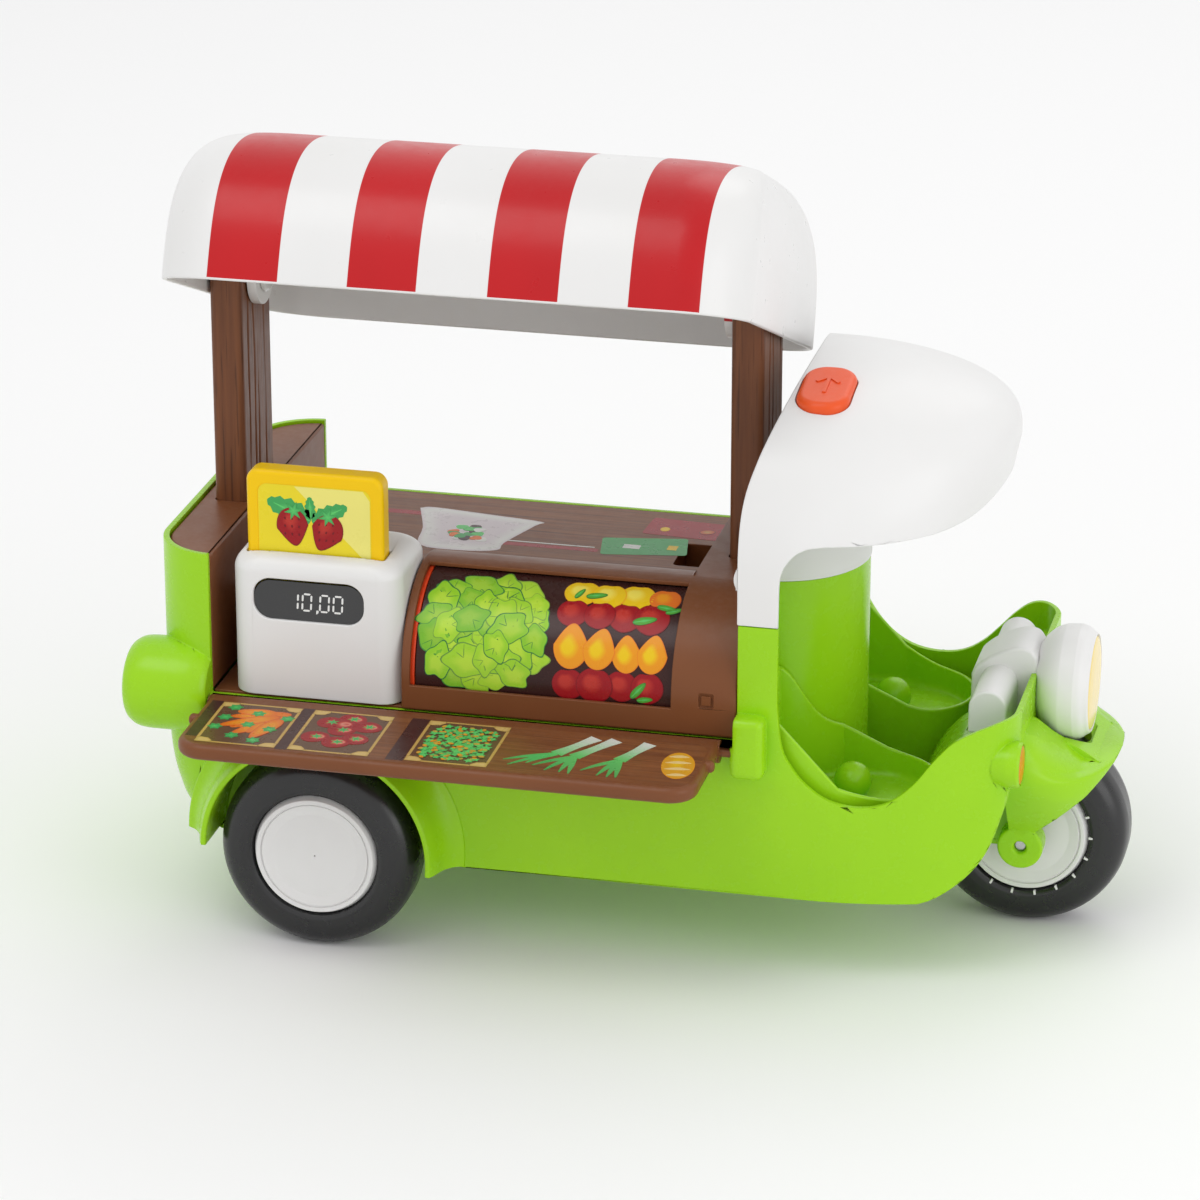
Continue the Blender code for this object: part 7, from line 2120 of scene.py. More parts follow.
class Inks(Enum):
    """Colours of the printed goods, in linear light."""

    OUTLINE = (0.012, 0.15, 0.045)
    LEAF = (0.30, 0.61, 0.022)
    LEAF_LIGHT = (0.46, 0.70, 0.045)
    LEAF_DEEP = (0.08, 0.36, 0.035)
    SPRIG = (0.05, 0.38, 0.10)
    SPRIG_LIGHT = (0.11, 0.60, 0.15)
    SUN = (0.84, 0.56, 0.008)
    SUN_LIGHT = (0.90, 0.74, 0.10)
    AMBER = (0.82, 0.31, 0.010)
    TANGERINE = (0.77, 0.17, 0.014)
    EMBER = (0.58, 0.085, 0.016)
    RED = (0.33, 0.004, 0.010)
    RED_LIGHT = (0.50, 0.032, 0.022)
    WINE = (0.16, 0.002, 0.008)
    ROSE = (0.74, 0.26, 0.19)
    TAN = (0.56, 0.36, 0.10)
    TAN_LIGHT = (0.66, 0.46, 0.16)
    CRATE = (0.13, 0.066, 0.036)
    BAND = (0.056, 0.021, 0.020)
    PAPER = (0.70, 0.64, 0.67)
    PALE = (0.78, 0.79, 0.76)
    PLUM = (0.12, 0.010, 0.075)
    BLUE = (0.05, 0.16, 0.45)
    BREAD = (0.72, 0.36, 0.022)
    CREAM = (0.88, 0.74, 0.38)
    LEMON = (0.84, 0.69, 0.020)
    LEMON_PALE = (0.86, 0.79, 0.20)


Paint = Union[Sequence[tuple[float, Inks]], Callable[[float, float, float], Colour]]


def mixed(share: float, a: Colour, b: Colour) -> Colour:
    """Colour between two colours."""
    return tuple(p + (q - p) * share for p, q in zip(a, b))


def flat(ink: Inks) -> Paint:
    """One ink all over."""
    return [(1.0, ink), (0.0, ink)]


def lobed(u: float, v: float, half_u: float, half_v: float, turn: float = 0.0, lobes: float = 0.0,
          depth: float = 0.0, count: int = 30, waist: float = 0.0, dent: float = 0.0) -> Outline:
    """Closed outline with lobes, a waist towards its top, or a dent at its top.

    Args:
        u: Middle of the outline along the label.
        v: Middle of the outline across the label.
        half_u: Half width.
        half_v: Half height.
        turn: Turn of the whole outline in degrees.
        lobes: Number of lobes.
        depth: Depth of the lobes as a share of the radius.
        count: Number of points.
        waist: Share by which the upper half narrows.
        dent: Share by which the top sinks.

    Returns:
        The outline's points.
    """
    made: Outline = []
    c, s = math.cos(math.radians(turn)), math.sin(math.radians(turn))
    for i in range(count):
        angle = 2.0 * math.pi * i / count
        radius = 1.0 + depth * math.cos(lobes * angle)
        x, y = radius * math.cos(angle), radius * math.sin(angle)
        x *= 1.0 - waist * max(0.0, y) ** 0.8
        y -= dent * max(0.0, 1.0 - abs(x) * 2.4) * (1.0 if y > 0 else 0.25)
        x, y = x * half_u, y * half_v
        made.append((u + x * c - y * s, v + x * s + y * c))
    return made


def pointed(u: float, v: float, length: float, width: float, turn: float, teeth: int = 0,
            count: int = 26) -> Outline:
    """Leaf outline from its stem at a point, with toothed edges where teeth is given."""
    c, s = math.cos(math.radians(turn)), math.sin(math.radians(turn))
    made: Outline = []
    for i in range(count):
        share = i / count
        along = (1.0 - math.cos(2.0 * math.pi * share)) / 2.0
        side = math.sin(2.0 * math.pi * share) * (1.0 - 0.35 * along)
        if teeth:
            side *= 1.0 + 0.16 * ((i * 2) % 4 - 1)
        x, y = along * length, side * width / 2.0
        made.append((u + x * c - y * s, v + x * s + y * c))
    return made


def star(u: float, v: float, radius: float, points: int = 5, turn: float = 0.0,
         inner: float = 0.42) -> Outline:
    """Star outline."""
    made: Outline = []
    for i in range(points * 2):
        reach = radius if i % 2 == 0 else radius * inner
        angle = math.radians(turn) + math.pi * i / points
        made.append((u + reach * math.cos(angle), v + reach * math.sin(angle)))
    return made


class PrintSheet:
    """Thin closed shapes laid over one another in a label's two coordinates, then wrapped onto a piece."""

    def __init__(self, wrap: Callable[[float, float, float], Triple], step: float = 0.02,
                 foot: float = 0.15) -> None:
        """Keep the rule that carries (along, across, height) onto the piece."""
        self.wrap = wrap
        self.step = step
        self.foot = foot
        self.bm = bmesh.new()
        self.ink = self.bm.verts.layers.float_color.new("ink")

    def spot(self, u: float, v: float, w: float, colour: Colour) -> bmesh.types.BMVert:
        """One coloured point."""
        made = self.bm.verts.new(self.wrap(u, v, w))
        made[self.ink] = (*colour, 1.0)
        return made

    def shape(self, outline: Outline, level: float, paint: Paint, heart: Optional[Pair] = None) -> None:
        """Lay one shape.

        Args:
            outline: Its edge.
            level: How many steps it lies above the ground.
            paint: Bands (share, ink) from the edge at 1 towards the heart at 0, or a rule of place and share.
            heart: Point that the bands gather round.
        """
        middle = (sum(p[0] for p in outline) / len(outline), sum(p[1] for p in outline) / len(outline))
        heart = heart or middle
        shares = (1.0, 0.8, 0.55, 0.28) if callable(paint) else [share for share, _ in paint if share > 0.0]
        height = level * self.step
        rows = []
        for number, share in enumerate(shares):
            row = []
            for u, v in outline:
                pull = (1.0 - share)
                place = (u + (heart[0] - u) * pull, v + (heart[1] - v) * pull)
                colour = paint(*place, share) if callable(paint) else paint[number][1].value
                row.append(self.spot(*place, height, colour))
            rows.append(row)
        last = paint(*heart, 0.0) if callable(paint) else paint[-1][1].value
        edge = paint(*outline[0], 1.0) if callable(paint) else paint[0][1].value
        top, count = self.spot(*heart, height, last), len(outline)
        under, low = [self.spot(u, v, -self.foot, edge) for u, v in outline], self.spot(*middle, -self.foot,
                                                                                        edge)
        for i in range(count):
            j = (i + 1) % count
            for lower, upper in zip([under] + rows, rows):
                self.bm.faces.new((lower[i], lower[j], upper[j], upper[i]))
            self.bm.faces.new((rows[-1][i], rows[-1][j], top))
            self.bm.faces.new((under[j], under[i], low))

    def strip(self, u: Pair, v: Pair, level: float, ink: Inks) -> None:
        """Plain oblong."""
        outline = []
        for a, b in (((u[0], v[0]), (u[1], v[0])), ((u[1], v[0]), (u[1], v[1])), ((u[1], v[1]), (u[0], v[1])),
                     ((u[0], v[1]), (u[0], v[0]))):
            outline += [(a[0] + (b[0] - a[0]) * i / 8, a[1] + (b[1] - a[1]) * i / 8) for i in range(8)]
        self.shape(outline, level, [(1.0, ink), (0.66, ink), (0.33, ink), (0.0, ink)])

    def fruit(self, u: float, v: float, size: float, level: float, inks: tuple[Inks, Inks, Inks],
              waist: float = 0.0, turn: float = 0.0) -> None:
        """Round fruit with a dark edge and a soft light spot; a waist makes it pear-shaped."""
        dark, base, light = inks
        tall = 1.28 if waist else 0.96
        outline = lobed(u, v, size, size * tall, turn, waist=waist, dent=0.0 if waist else 0.16, count=34)
        heart = (u - size * 0.30, v + size * (-0.05 if waist else 0.28))
        self.shape(outline, level, [(1.0, dark), (0.93, base), (0.6, base), (0.30, light), (0.0, light)],
                   heart)

    def leaf(self, u: float, v: float, length: float, width: float, turn: float, level: float, teeth: int = 0,
             inks: tuple[Inks, Inks, Inks] = (Inks.OUTLINE, Inks.LEAF_DEEP, Inks.SPRIG_LIGHT)) -> None:
        """Leaf with a light rib."""
        edge, base, light = inks
        self.shape(pointed(u, v, length, width, turn, teeth), level,
                   [(1.0, edge), (0.86, base), (0.5, base), (0.0, light)])
        self.shape(pointed(u, v, length * 0.86, width * 0.10, turn), level + 1, flat(light))

    def crate(self, u: Pair, v: Pair, level: float) -> None:
        """Open crate from above: dark bottom, tan rim and corner plates."""
        self.strip(u, v, level, Inks.CRATE)
        rim = 1.15
        for a, b in (((u[0], u[0] + rim), v), ((u[1] - rim, u[1]), v), (u, (v[0], v[0] + rim)),
                     (u, (v[1] - rim, v[1]))):
            self.strip(a, b, level + 1, Inks.TAN)
        for su, at_u in ((1, u[0]), (-1, u[1])):
            for sv, at_v in ((1, v[0]), (-1, v[1])):
                plate = [(0.0, 0.0), (6.6, 0.0), (6.9, 1.6), (4.9, 4.0), (1.7, 4.6), (0.0, 3.9)]
                self.shape([(at_u + su * a, at_v + sv * b) for a, b in plate], level + 2,
                           [(1.0, Inks.BAND), (0.92, Inks.TAN), (0.5, Inks.TAN_LIGHT), (0.0, Inks.TAN_LIGHT)])

    def stalk(self, head: Pair, fork: Pair, tips: Sequence[Pair], level: float, width: float = 2.3) -> None:
        """Pale stalk that runs over into a fan of green leaves."""
        reach = max(math.dist(head, tip) for tip in tips)

        def paint(u: float, v: float, share: float) -> Colour:
            """White at the head, green at the tips."""
            along = min(1.0, math.dist(head, (u, v)) / reach)
            pale = mixed(min(1.0, along * 1.9), Inks.PALE.value, Inks.SPRIG_LIGHT.value)
            return mixed(max(0.0, along * 2.0 - 1.0), pale, Inks.SPRIG.value)

        for number, tip in enumerate(tips):
            spine = smoothed([fork,
                              ((fork[0] + tip[0]) / 2 + (tip[0] - fork[0]) * 0.08, (fork[1] + tip[1]) / 2),
                              tip], 5)
            last = len(spine) - 1
            halves = [width * 0.62 * (1.0 - 0.8 * (i / last) ** 2) for i in range(last + 1)]
            self.ribbon(spine, halves, level + number * 0.5, paint)
        spine = smoothed([head, ((head[0] + fork[0]) / 2, (head[1] + fork[1]) / 2), fork], 5)
        last = len(spine) - 1
        halves = [width * (1.25 - 0.35 * math.sin(math.pi * i / last)) for i in range(last + 1)]
        self.ribbon(spine, halves, level + 3, paint)

    def ribbon(self, spine: Sequence[Pair], halves: Sequence[float], level: float, paint: Paint) -> None:
        """Band along a line, as wide as told at each of its points."""
        left: Outline = []
        right: Outline = []
        for i, (u, v) in enumerate(spine):
            a, b = spine[max(0, i - 1)], spine[min(len(spine) - 1, i + 1)]
            along = Vector((b[0] - a[0], b[1] - a[1])).normalized()
            left.append((u - along.y * halves[i], v + along.x * halves[i]))
            right.append((u + along.y * halves[i], v - along.x * halves[i]))
        height = level * self.step
        rows = []
        for side in (left, [((a[0] + b[0]) / 2, (a[1] + b[1]) / 2) for a, b in zip(left, right)], right):
            rows.append([self.spot(u, v, height, paint(u, v, 0.5)) for u, v in side])
        under = [[self.spot(u, v, -self.foot, paint(u, v, 1.0)) for u, v in side] for side in (left, right)]
        last = len(spine) - 1
        loops = [(under[0], rows[0]), (rows[0], rows[1]), (rows[1], rows[2]), (rows[2], under[1]),
                 (under[1], under[0])]
        for a, b in loops:
            for i in range(last):
                self.bm.faces.new((a[i], a[i + 1], b[i + 1], b[i]))
        for i in (0, last):
            self.bm.faces.new((under[0][i], rows[0][i], rows[1][i], rows[2][i], under[1][i]))

    def scatter(self, region: Outline, stamp: "PrintSheet", seed: int, apart: float, scale: Pair, base: float,
                tints: tuple[Colour, Colour], lift: float = 0.012) -> None:
        """Scatter a stamp over a region and lay the copies on this sheet.

        Args:
            region: Edge of the region.
            stamp: Sheet that holds the stamp, drawn about its own zero.
            seed: Seed of the scatter.
            apart: Least distance between two copies.
            scale: Smallest and largest scale.
            base: Level of the lowest copy.
            tints: Colours that the stamp's own colours are drawn towards.
            lift: Height of each copy over the one before.
        """
        bm = bmesh.new()
        bm.faces.new([bm.verts.new((u, v, 0.0)) for u, v in region])
        part = Form(stamp.bm)
        made = SCATTER.form(LABEL_INK, Form(bm), part=part.item, apart=apart, seed=seed, smallest=scale[0],
                            largest=scale[1], lift=lift)
        part.discard()
        mesh = made.item.data
        pick, ink = mesh.attributes["pick"].data, mesh.attributes["ink"].data
        spots = []
        for i, vertex in enumerate(mesh.vertices):
            toward = tints[0] if pick[i].value < 0.5 else tints[1]
            colour = mixed(abs(pick[i].value - 0.5) * 1.1, tuple(ink[i].color[:3]), toward)
            spots.append(self.spot(vertex.co.x, vertex.co.y, base * self.step + vertex.co.z, colour))
        for face in mesh.polygons:
            self.bm.faces.new([spots[i] for i in face.vertices])
        made.discard()

    def done(self, name: str, body: str) -> bpy.types.Object:
        """Make the print a piece of its own."""
        return show(Form(self.bm), name, body, LABEL_INK, sharp=60.0, weighted=False)


def plain_wrap(u: float, v: float, w: float) -> Triple:
    """Stamp lying flat about zero."""
    return (u, v, w)


def salad_stamp() -> PrintSheet:
    """One lobed salad leaf with dark outline and folds."""
    stamp = PrintSheet(plain_wrap, 0.008, 0.05)
    outline = [(u * (1.0 + 0.10 * math.cos(3.0 * math.atan2(v, u)) + 0.05 * math.cos(7.0 * math.atan2(v, u))),
                v)
               for u, v in lobed(0.0, 0.0, 5.6, 4.5, lobes=5.0, depth=0.07, count=40)]
    stamp.shape(outline, 0.0,
                [(1.0, Inks.OUTLINE), (0.955, Inks.OUTLINE), (0.93, Inks.LEAF), (0.72, Inks.LEAF),
                               (0.35, Inks.LEAF_LIGHT), (0.0, Inks.LEAF_LIGHT)], (-0.9, 0.8))
    for turn, length in ((-90.0, 3.6), (-35.0, 2.5)):
        stamp.shape(pointed(0.6, -0.6, length, 0.26, turn, count=12), 1.0, flat(Inks.OUTLINE))
    return stamp


def sprig_stamp() -> PrintSheet:
    """Small green sprig with an orange bit."""
    stamp = PrintSheet(plain_wrap, 0.008, 0.05)
    stamp.shape(star(0.0, 0.0, 2.3, 5, 20.0, 0.55), 0.0,
                [(1.0, Inks.SPRIG), (0.7, Inks.SPRIG_LIGHT), (0.0, Inks.SPRIG_LIGHT)])
    stamp.shape(lobed(1.5, -0.8, 1.25, 0.85, 25.0, count=12), 1.0,
                [(1.0, Inks.EMBER), (0.8, Inks.AMBER), (0.0, Inks.AMBER)])
    return stamp


@dataclass
class Goods:
    """Every print on the truck: drum label, tray board, counter papers and the card's panel."""

    drum: Drum = field(default_factory=Drum)
    tray_top: float = 99.5
    tray_x: Pair = (-133.4, 65.4)
    tray_y: Pair = (-135.0, -92.8)
    crates: tuple[Pair, ...] = ((-128.4, -96.2), (-91.4, -59.3), (-45.2, -12.8))
    bands: tuple[Pair, ...] = ((-133.2, -128.6), (-96.0, -91.6), (-52.4, -45.4))
    counter_top: float = 127.5
    card_face: float = -74.78
    card_middle: Pair = (-95.8, 159.25)

    def on_drum(self, turn: float) -> Callable[[float, float, float], Triple]:
        """Rule that wraps a label round the drum; turn is the angle of its upper edge in degrees."""
        y, z = self.drum.centre

        def wrap(u: float, v: float, w: float) -> Triple:
            """Place on the drum; across grows upwards from the label's lower edge."""
            angle = math.radians(turn) - v / self.drum.radius
            reach = self.drum.radius + 0.03 + w
            return (u, y + reach * math.cos(angle), z + reach * math.sin(angle))

        return wrap

    def row(self, sheet: PrintSheet, v: float, places: Sequence[float], size: float, level: float,
            inks: tuple[Inks, Inks, Inks], waist: float, chance: random.Random) -> None:
        """Row of like fruit, each a little different."""
        for number, u in enumerate(places):
            grow = size * chance.uniform(0.92, 1.08)
            sheet.fruit(u, v + chance.uniform(-0.7, 0.7), grow, level + (number % 2) * 1.5, inks, waist,
                        chance.uniform(-9.0, 9.0))

    def drum_label(self) -> None:
        """Three fields round the drum: salad with fruit, roots with berries, loaves with cheese."""
        left, right = (-53.8, -4.6), (0.6, 46.6)
        for number, turn in enumerate((186.0, 306.0, 66.0)):
            sheet = PrintSheet(self.on_drum(turn), 0.03, 0.5)
            chance = random.Random(20 + number)
            if number == 0:
                region = lobed(-28.6, 26.6, 21.5, 20.0, lobes=4.0, depth=-0.08, count=32)
                sheet.scatter(region, salad_stamp(), 11, 6.0, (1.05, 1.6), 1.0,
                              (Inks.LEAF_DEEP.value, Inks.LEAF_LIGHT.value), 0.006)
                reds, suns = (Inks.WINE, Inks.RED, Inks.RED_LIGHT), (Inks.AMBER, Inks.SUN, Inks.SUN_LIGHT)
                self.row(sheet, 46.5, (6.6, 17.3, 28.4), 6.6, 1.0, suns, 0.0, chance)
                sheet.fruit(39.6, 46.4, 6.2, 1.0, (Inks.EMBER, Inks.TANGERINE, Inks.AMBER))
                self.row(sheet, 36.6, (5.0, 15.6, 25.8, 36.2), 6.7, 4.0, reds, 0.0, chance)
                self.row(sheet, 22.4, (6.4, 17.6), 6.9, 8.0, (Inks.TANGERINE, Inks.AMBER, Inks.SUN), 0.42,
                         chance)
                self.row(sheet, 21.8, (28.4, 38.6), 6.2, 8.0, (Inks.TANGERINE, Inks.AMBER, Inks.SUN), 0.42,
                         chance)
                self.row(sheet, 8.6, (6.2, 16.6, 27.2, 37.4), 6.9, 5.0, reds, 0.0, chance)
                for u, v, length, way in ((8.6, 44.6, 8.4, 12.0), (4.4, 43.4, 6.0, 60.0),
                                          (37.2, 42.4, 8.0, -8.0), (41.0, 39.6, 7.0, 20.0),
                                          (29.0, 34.2, 9.6, 14.0), (31.0, 4.6, 8.6, 48.0),
                                          (33.4, 3.8, 6.4, 8.0)):
                    sheet.leaf(u, v, length, length * 0.42, way, 11.0)
            elif number == 1:
                for k in range(13):
                    u, v = left[0] + 6.5 + (k % 4) * 11.6 + chance.uniform(-1.5, 1.5), 9.0 + (k // 4) * 11.4
                    way = 60.0 + chance.uniform(-16.0, 16.0)
                    sheet.shape(pointed(u, v, 15.0, 6.4, way), 1.0 + k * 0.5,
                                [(1.0, Inks.EMBER), (0.9, Inks.TANGERINE), (0.4, Inks.AMBER),
                                                                             (0.0, Inks.AMBER)])
                    sheet.leaf(u, v, 5.0, 2.6, way + 160.0, 8.0)
                for k in range(30):
                    u, v = right[0] + 4.0 + (k % 6) * 7.6, 7.0 + (k // 6) * 9.2
                    sheet.fruit(u + chance.uniform(-1, 1), v + chance.uniform(-1, 1), 4.6, 1.0 + (k % 4),
                                (Inks.WINE, Inks.PLUM, Inks.BLUE))
            else:
                for k in range(9):
                    u, v = left[0] + 8.6 + (k % 3) * 15.6, 9.6 + (k // 3) * 16.0
                    self.loaf(sheet, u, v, 7.4, 5.8, 24.0 + chance.uniform(-14, 14), 2.0)
                for k in range(6):
                    u, v = right[0] + 9.0 + (k % 3) * 15.0, 14.0 + (k // 3) * 23.0
                    wedge = [(u - 6.0, v - 6.5), (u + 6.4, v - 4.0), (u + 6.4, v + 3.0), (u - 5.0, v + 6.5)]
                    sheet.shape(wedge, 1.0,
                                [(1.0, Inks.AMBER), (0.94, Inks.SUN), (0.5, Inks.SUN_LIGHT),
                                 (0.0, Inks.SUN_LIGHT)])
                    for du, dv, r in ((-1.6, 1.4, 1.3), (2.8, -0.8, 1.7), (-1.0, -3.4, 1.0)):
                        sheet.shape(lobed(u + du, v + dv, r, r * 0.8, count=14), 2.0,
                                    [(1.0, Inks.AMBER), (0.0, Inks.SUN)])
            sheet.done(f"drum_label_{number + 1}", "drum")

    def loaf(self, sheet: PrintSheet, u: float, v: float, half_u: float, half_v: float, turn: float,
             level: float) -> None:
        """Golden loaf with pale cuts across it."""
        sheet.shape(lobed(u, v, half_u, half_v, turn, count=36), level,
                    [(1.0, Inks.AMBER), (0.93, Inks.BREAD), (0.55, Inks.BREAD), (0.0, Inks.SUN)],
                    (u - half_u * 0.2, v + half_v * 0.2))
        c, s = math.cos(math.radians(turn)), math.sin(math.radians(turn))
        pale = mixed(0.35, Inks.CREAM.value, Inks.BREAD.value)
        for k in (-0.58, -0.2, 0.2, 0.58):
            at = (u - k * half_v * 1.2 * s, v + k * half_v * 1.2 * c)
            reach = half_u * math.sqrt(1.0 - (k * 1.2) ** 2 * 0.9) * 0.8
            ends = [(at[0] + way * reach * c, at[1] + way * reach * s - 0.5) for way in (-1, 1)]
            spine = smoothed([ends[0], at, ends[1]], 5)
            last = len(spine) - 1
            halves = [0.16 + half_v * 0.085 * math.sin(math.pi * i / last) for i in range(last + 1)]
            sheet.ribbon(spine, halves, level + 1.5, lambda a, b, share: pale)

    def tray_board(self) -> None:
        """Printed planks with three crates, stalks and a loaf."""
        (x0, x1), (y0, y1) = self.tray_x, self.tray_y
        middle = ((x0 + x1) / 2, (y0 + y1) / 2)
        board = Form.prism(Axis.Z, rounded((x1 - x0) / 2, (y1 - y0) / 2, 8.0, 10, middle),
                           self.tray_top - 0.2, self.tray_top + 0.02)
        show(board, "tray_print_board", "tray", PRINTED_PLANK)
        sheet = PrintSheet(lambda u, v, w: (u, v, self.tray_top + 0.02 + w), 0.02, 0.1)
        chance = random.Random(4)
        near, far = y0 + 1.2, y1 - 1.0
        for u0, u1 in self.bands:
            inside = 5.4 if u0 < -130 else 0.0
            sheet.strip((u0, u1), (y0 + 0.4 + inside, y1 - 0.4), 1.0, Inks.BAND)
        for u in self.crates:
            sheet.crate(u, (near, far), 1.0)
        u, v = self.crates[0][0], near
        for number, (a, b, length,
                     way) in enumerate(((29.5, 33.0, 24.0, 196.0), (29.0, 33.5, 26.0, 222.0),
                                        (28.5, 31.0, 27.0, 232.0),
                                                      (27.5, 29.5, 20.0, 240.0), (26.0, 30.0, 25.0, 212.0),
                                                      (24.0, 32.0, 16.0, 180.0), (27.0, 28.0, 22.0, 252.0))):
            deep = Inks.TANGERINE if number % 2 else Inks.EMBER
            sheet.shape(pointed(u + a, v + b, length, 8.6, way), 4.0 + number * 0.5,
                        [(1.0, deep), (0.9, Inks.TANGERINE), (0.4, Inks.AMBER), (0.0, Inks.TANGERINE)])
        for a, b in ((6.2, 35.4), (5.0, 25.2), (16.8, 31.0), (3.8, 15.6), (15.8, 19.8), (29.0, 28.6),
                     (25.2, 17.0), (12.6, 8.4), (22.0, 5.4)):
            sheet.shape(star(u + a, v + b, 3.1, 6, chance.uniform(0, 60), 0.66), 8.0,
                        [(1.0, Inks.SPRIG), (0.6, Inks.SPRIG), (0.0, Inks.SPRIG_LIGHT)])
        u = self.crates[1][0]
        for number, (a, b) in enumerate(((9.4, 29.0), (16.8, 33.6), (24.6, 27.4), (15.4, 22.6), (7.2, 14.2),
                                         (22.6, 15.0), (16.4, 10.6), (14.0, 28.0))):
            sheet.shape(lobed(u + a, v + b, 5.6, 5.2, chance.uniform(-20, 20), 3.0, 0.03, 30),
                        4.0 + number * 0.5,
                        [(1.0, Inks.RED), (0.62, Inks.RED), (0.46, Inks.RED_LIGHT), (0.3, Inks.ROSE),
                         (0.0, Inks.RED_LIGHT)], (u + a + 2.3, v + b + 0.6))
            if number < 7:
                sheet.shape(star(u + a + 0.6, v + b + 0.4, 2.7, 6, chance.uniform(0, 60), 0.36), 9.0,
                            [(1.0, Inks.SPRIG_LIGHT), (0.5, Inks.SPRIG), (0.0, Inks.SPRIG)])
        low, high = self.crates[2]
        region = [(low + 5.4, near + 5.5), (high - 6.0, near + 4.2), (high - 4.4, near + 14.0),
                  (high - 4.0, far - 8.0), (high - 8.0, far - 5.0), (low + 7.0, far - 4.6),
                  (low + 4.0, far - 14.0)]
        sheet.scatter(region, sprig_stamp(), 6, 2.5, (0.75, 1.15), 4.0,
                      (Inks.SPRIG.value, Inks.SPRIG_LIGHT.value), 0.003)
        for head, fork, tips in (((21.4, far - 3.0), (9.8, near + 19.0),
                                  ((-8.6, near + 9.4), (-5.8, near + 5.0), (0.6, near + 8.0))),
                                 ((29.4, far - 3.2), (17.2, near + 17.6),
                                  ((3.4, near + 6.4), (9.0, near + 2.8), (14.8, near + 2.2),
                                   (18.6, near + 1.4))),
                                 ((42.6, far - 3.8), (34.6, near + 18.0),
                                  ((22.4, near + 5.6), (29.4, near + 2.2), (33.4, near + 1.6),
                                   (36.8, near + 1.8)))):
            sheet.stalk(head, fork, tips, 3.0)
        self.loaf(sheet, 57.4, -115.6, 6.4, 12.6, 8.0, 3.0)
        sheet.done("tray_print_goods", "tray")

    def counter_papers(self) -> None:
        """Printed planks on the counter with a paper sheet and two cards."""
        board = Form.prism(Axis.Z, rounded(90.4, 36.6, 3.0, 6, (-44.9, 41.3)), self.counter_top - 0.2,
                           self.counter_top + 0.02)
        board.cut(Form.prism(Axis.Z, rounded(7.4, 13.4, 2.6, 6, (31.5, 33.5)), self.counter_top - 3,
                             self.counter_top + 3))
        show(board, "counter_print_board", "truck", PRINTED_PLANK)
        sheet = PrintSheet(lambda u, v, w: (u, v, self.counter_top + 0.02 + w), 0.02, 0.1)
        sheet.strip((-131.0, -64.0), (54.0, 58.5), 1.0, Inks.RED)
        sheet.strip((-52.0, -8.0), (28.0, 31.6), 1.0, Inks.RED)
        sheet.strip((-50.0, -10.0), (32.6, 33.6), 1.0, Inks.PALE)
        paper = smoothed([(-91.0, 62.0), (-84.0, 40.0), (-80.0, 20.0), (-62.0, 17.5), (-48.0, 21.0),
                          (-47.0, 30.0), (-39.5, 52.0), (-38.0, 57.0), (-60.0, 60.5), (-85.0, 64.0),
                          (-91.0, 62.0)], 4)[:-1]
        sheet.shape(paper, 2.0, [(1.0, Inks.PAPER), (0.9, Inks.PALE), (0.6, Inks.PAPER), (0.0, Inks.PAPER)])
        chance = random.Random(9)
        for number in range(16):
            ink = (Inks.SPRIG, Inks.SPRIG_LIGHT, Inks.TANGERINE, Inks.PALE, Inks.BAND)[number % 5]
            place = (-63.0 + chance.uniform(-7.5, 7.5), 38.0 + chance.uniform(-8.0, 8.0))
            sheet.shape(lobed(*place, 2.6, 2.3, 30.0 * number, 3.0, 0.12, 16), 4.0 + number * 0.5, flat(ink))
        for u, v, turn, ink in ((23.0, 62.0, -4.0, Inks.RED), (9.5, 38.5, 10.0, Inks.SPRIG)):
            card = [(u + a * math.cos(math.radians(turn)) - b * math.sin(math.radians(turn)),
                     v + a * math.sin(math.radians(turn)) + b * math.cos(math.radians(turn))) for a,
                    b in rounded(17.5, 9.6, 1.6, 5)]
            sheet.shape(card, 3.0, [(1.0, ink), (0.7, ink), (0.3, ink), (0.0, ink)])
        sheet.shape(lobed(13.4, 60.0, 2.0, 2.4, count=20), 5.0, flat(Inks.SUN))
        sheet.shape(lobed(31.0, 60.4, 3.4, 2.6, 20.0, count=20), 5.0,
                    [(1.0, Inks.BAND), (0.8, Inks.EMBER), (0.0, Inks.TAN)])
        sheet.strip((1.0, 8.0), (35.0, 39.4), 5.0, Inks.PALE)
        sheet.strip((19.0, 23.0), (36.8, 41.8), 5.0, Inks.SUN)
        sheet.done("counter_print_papers", "truck")

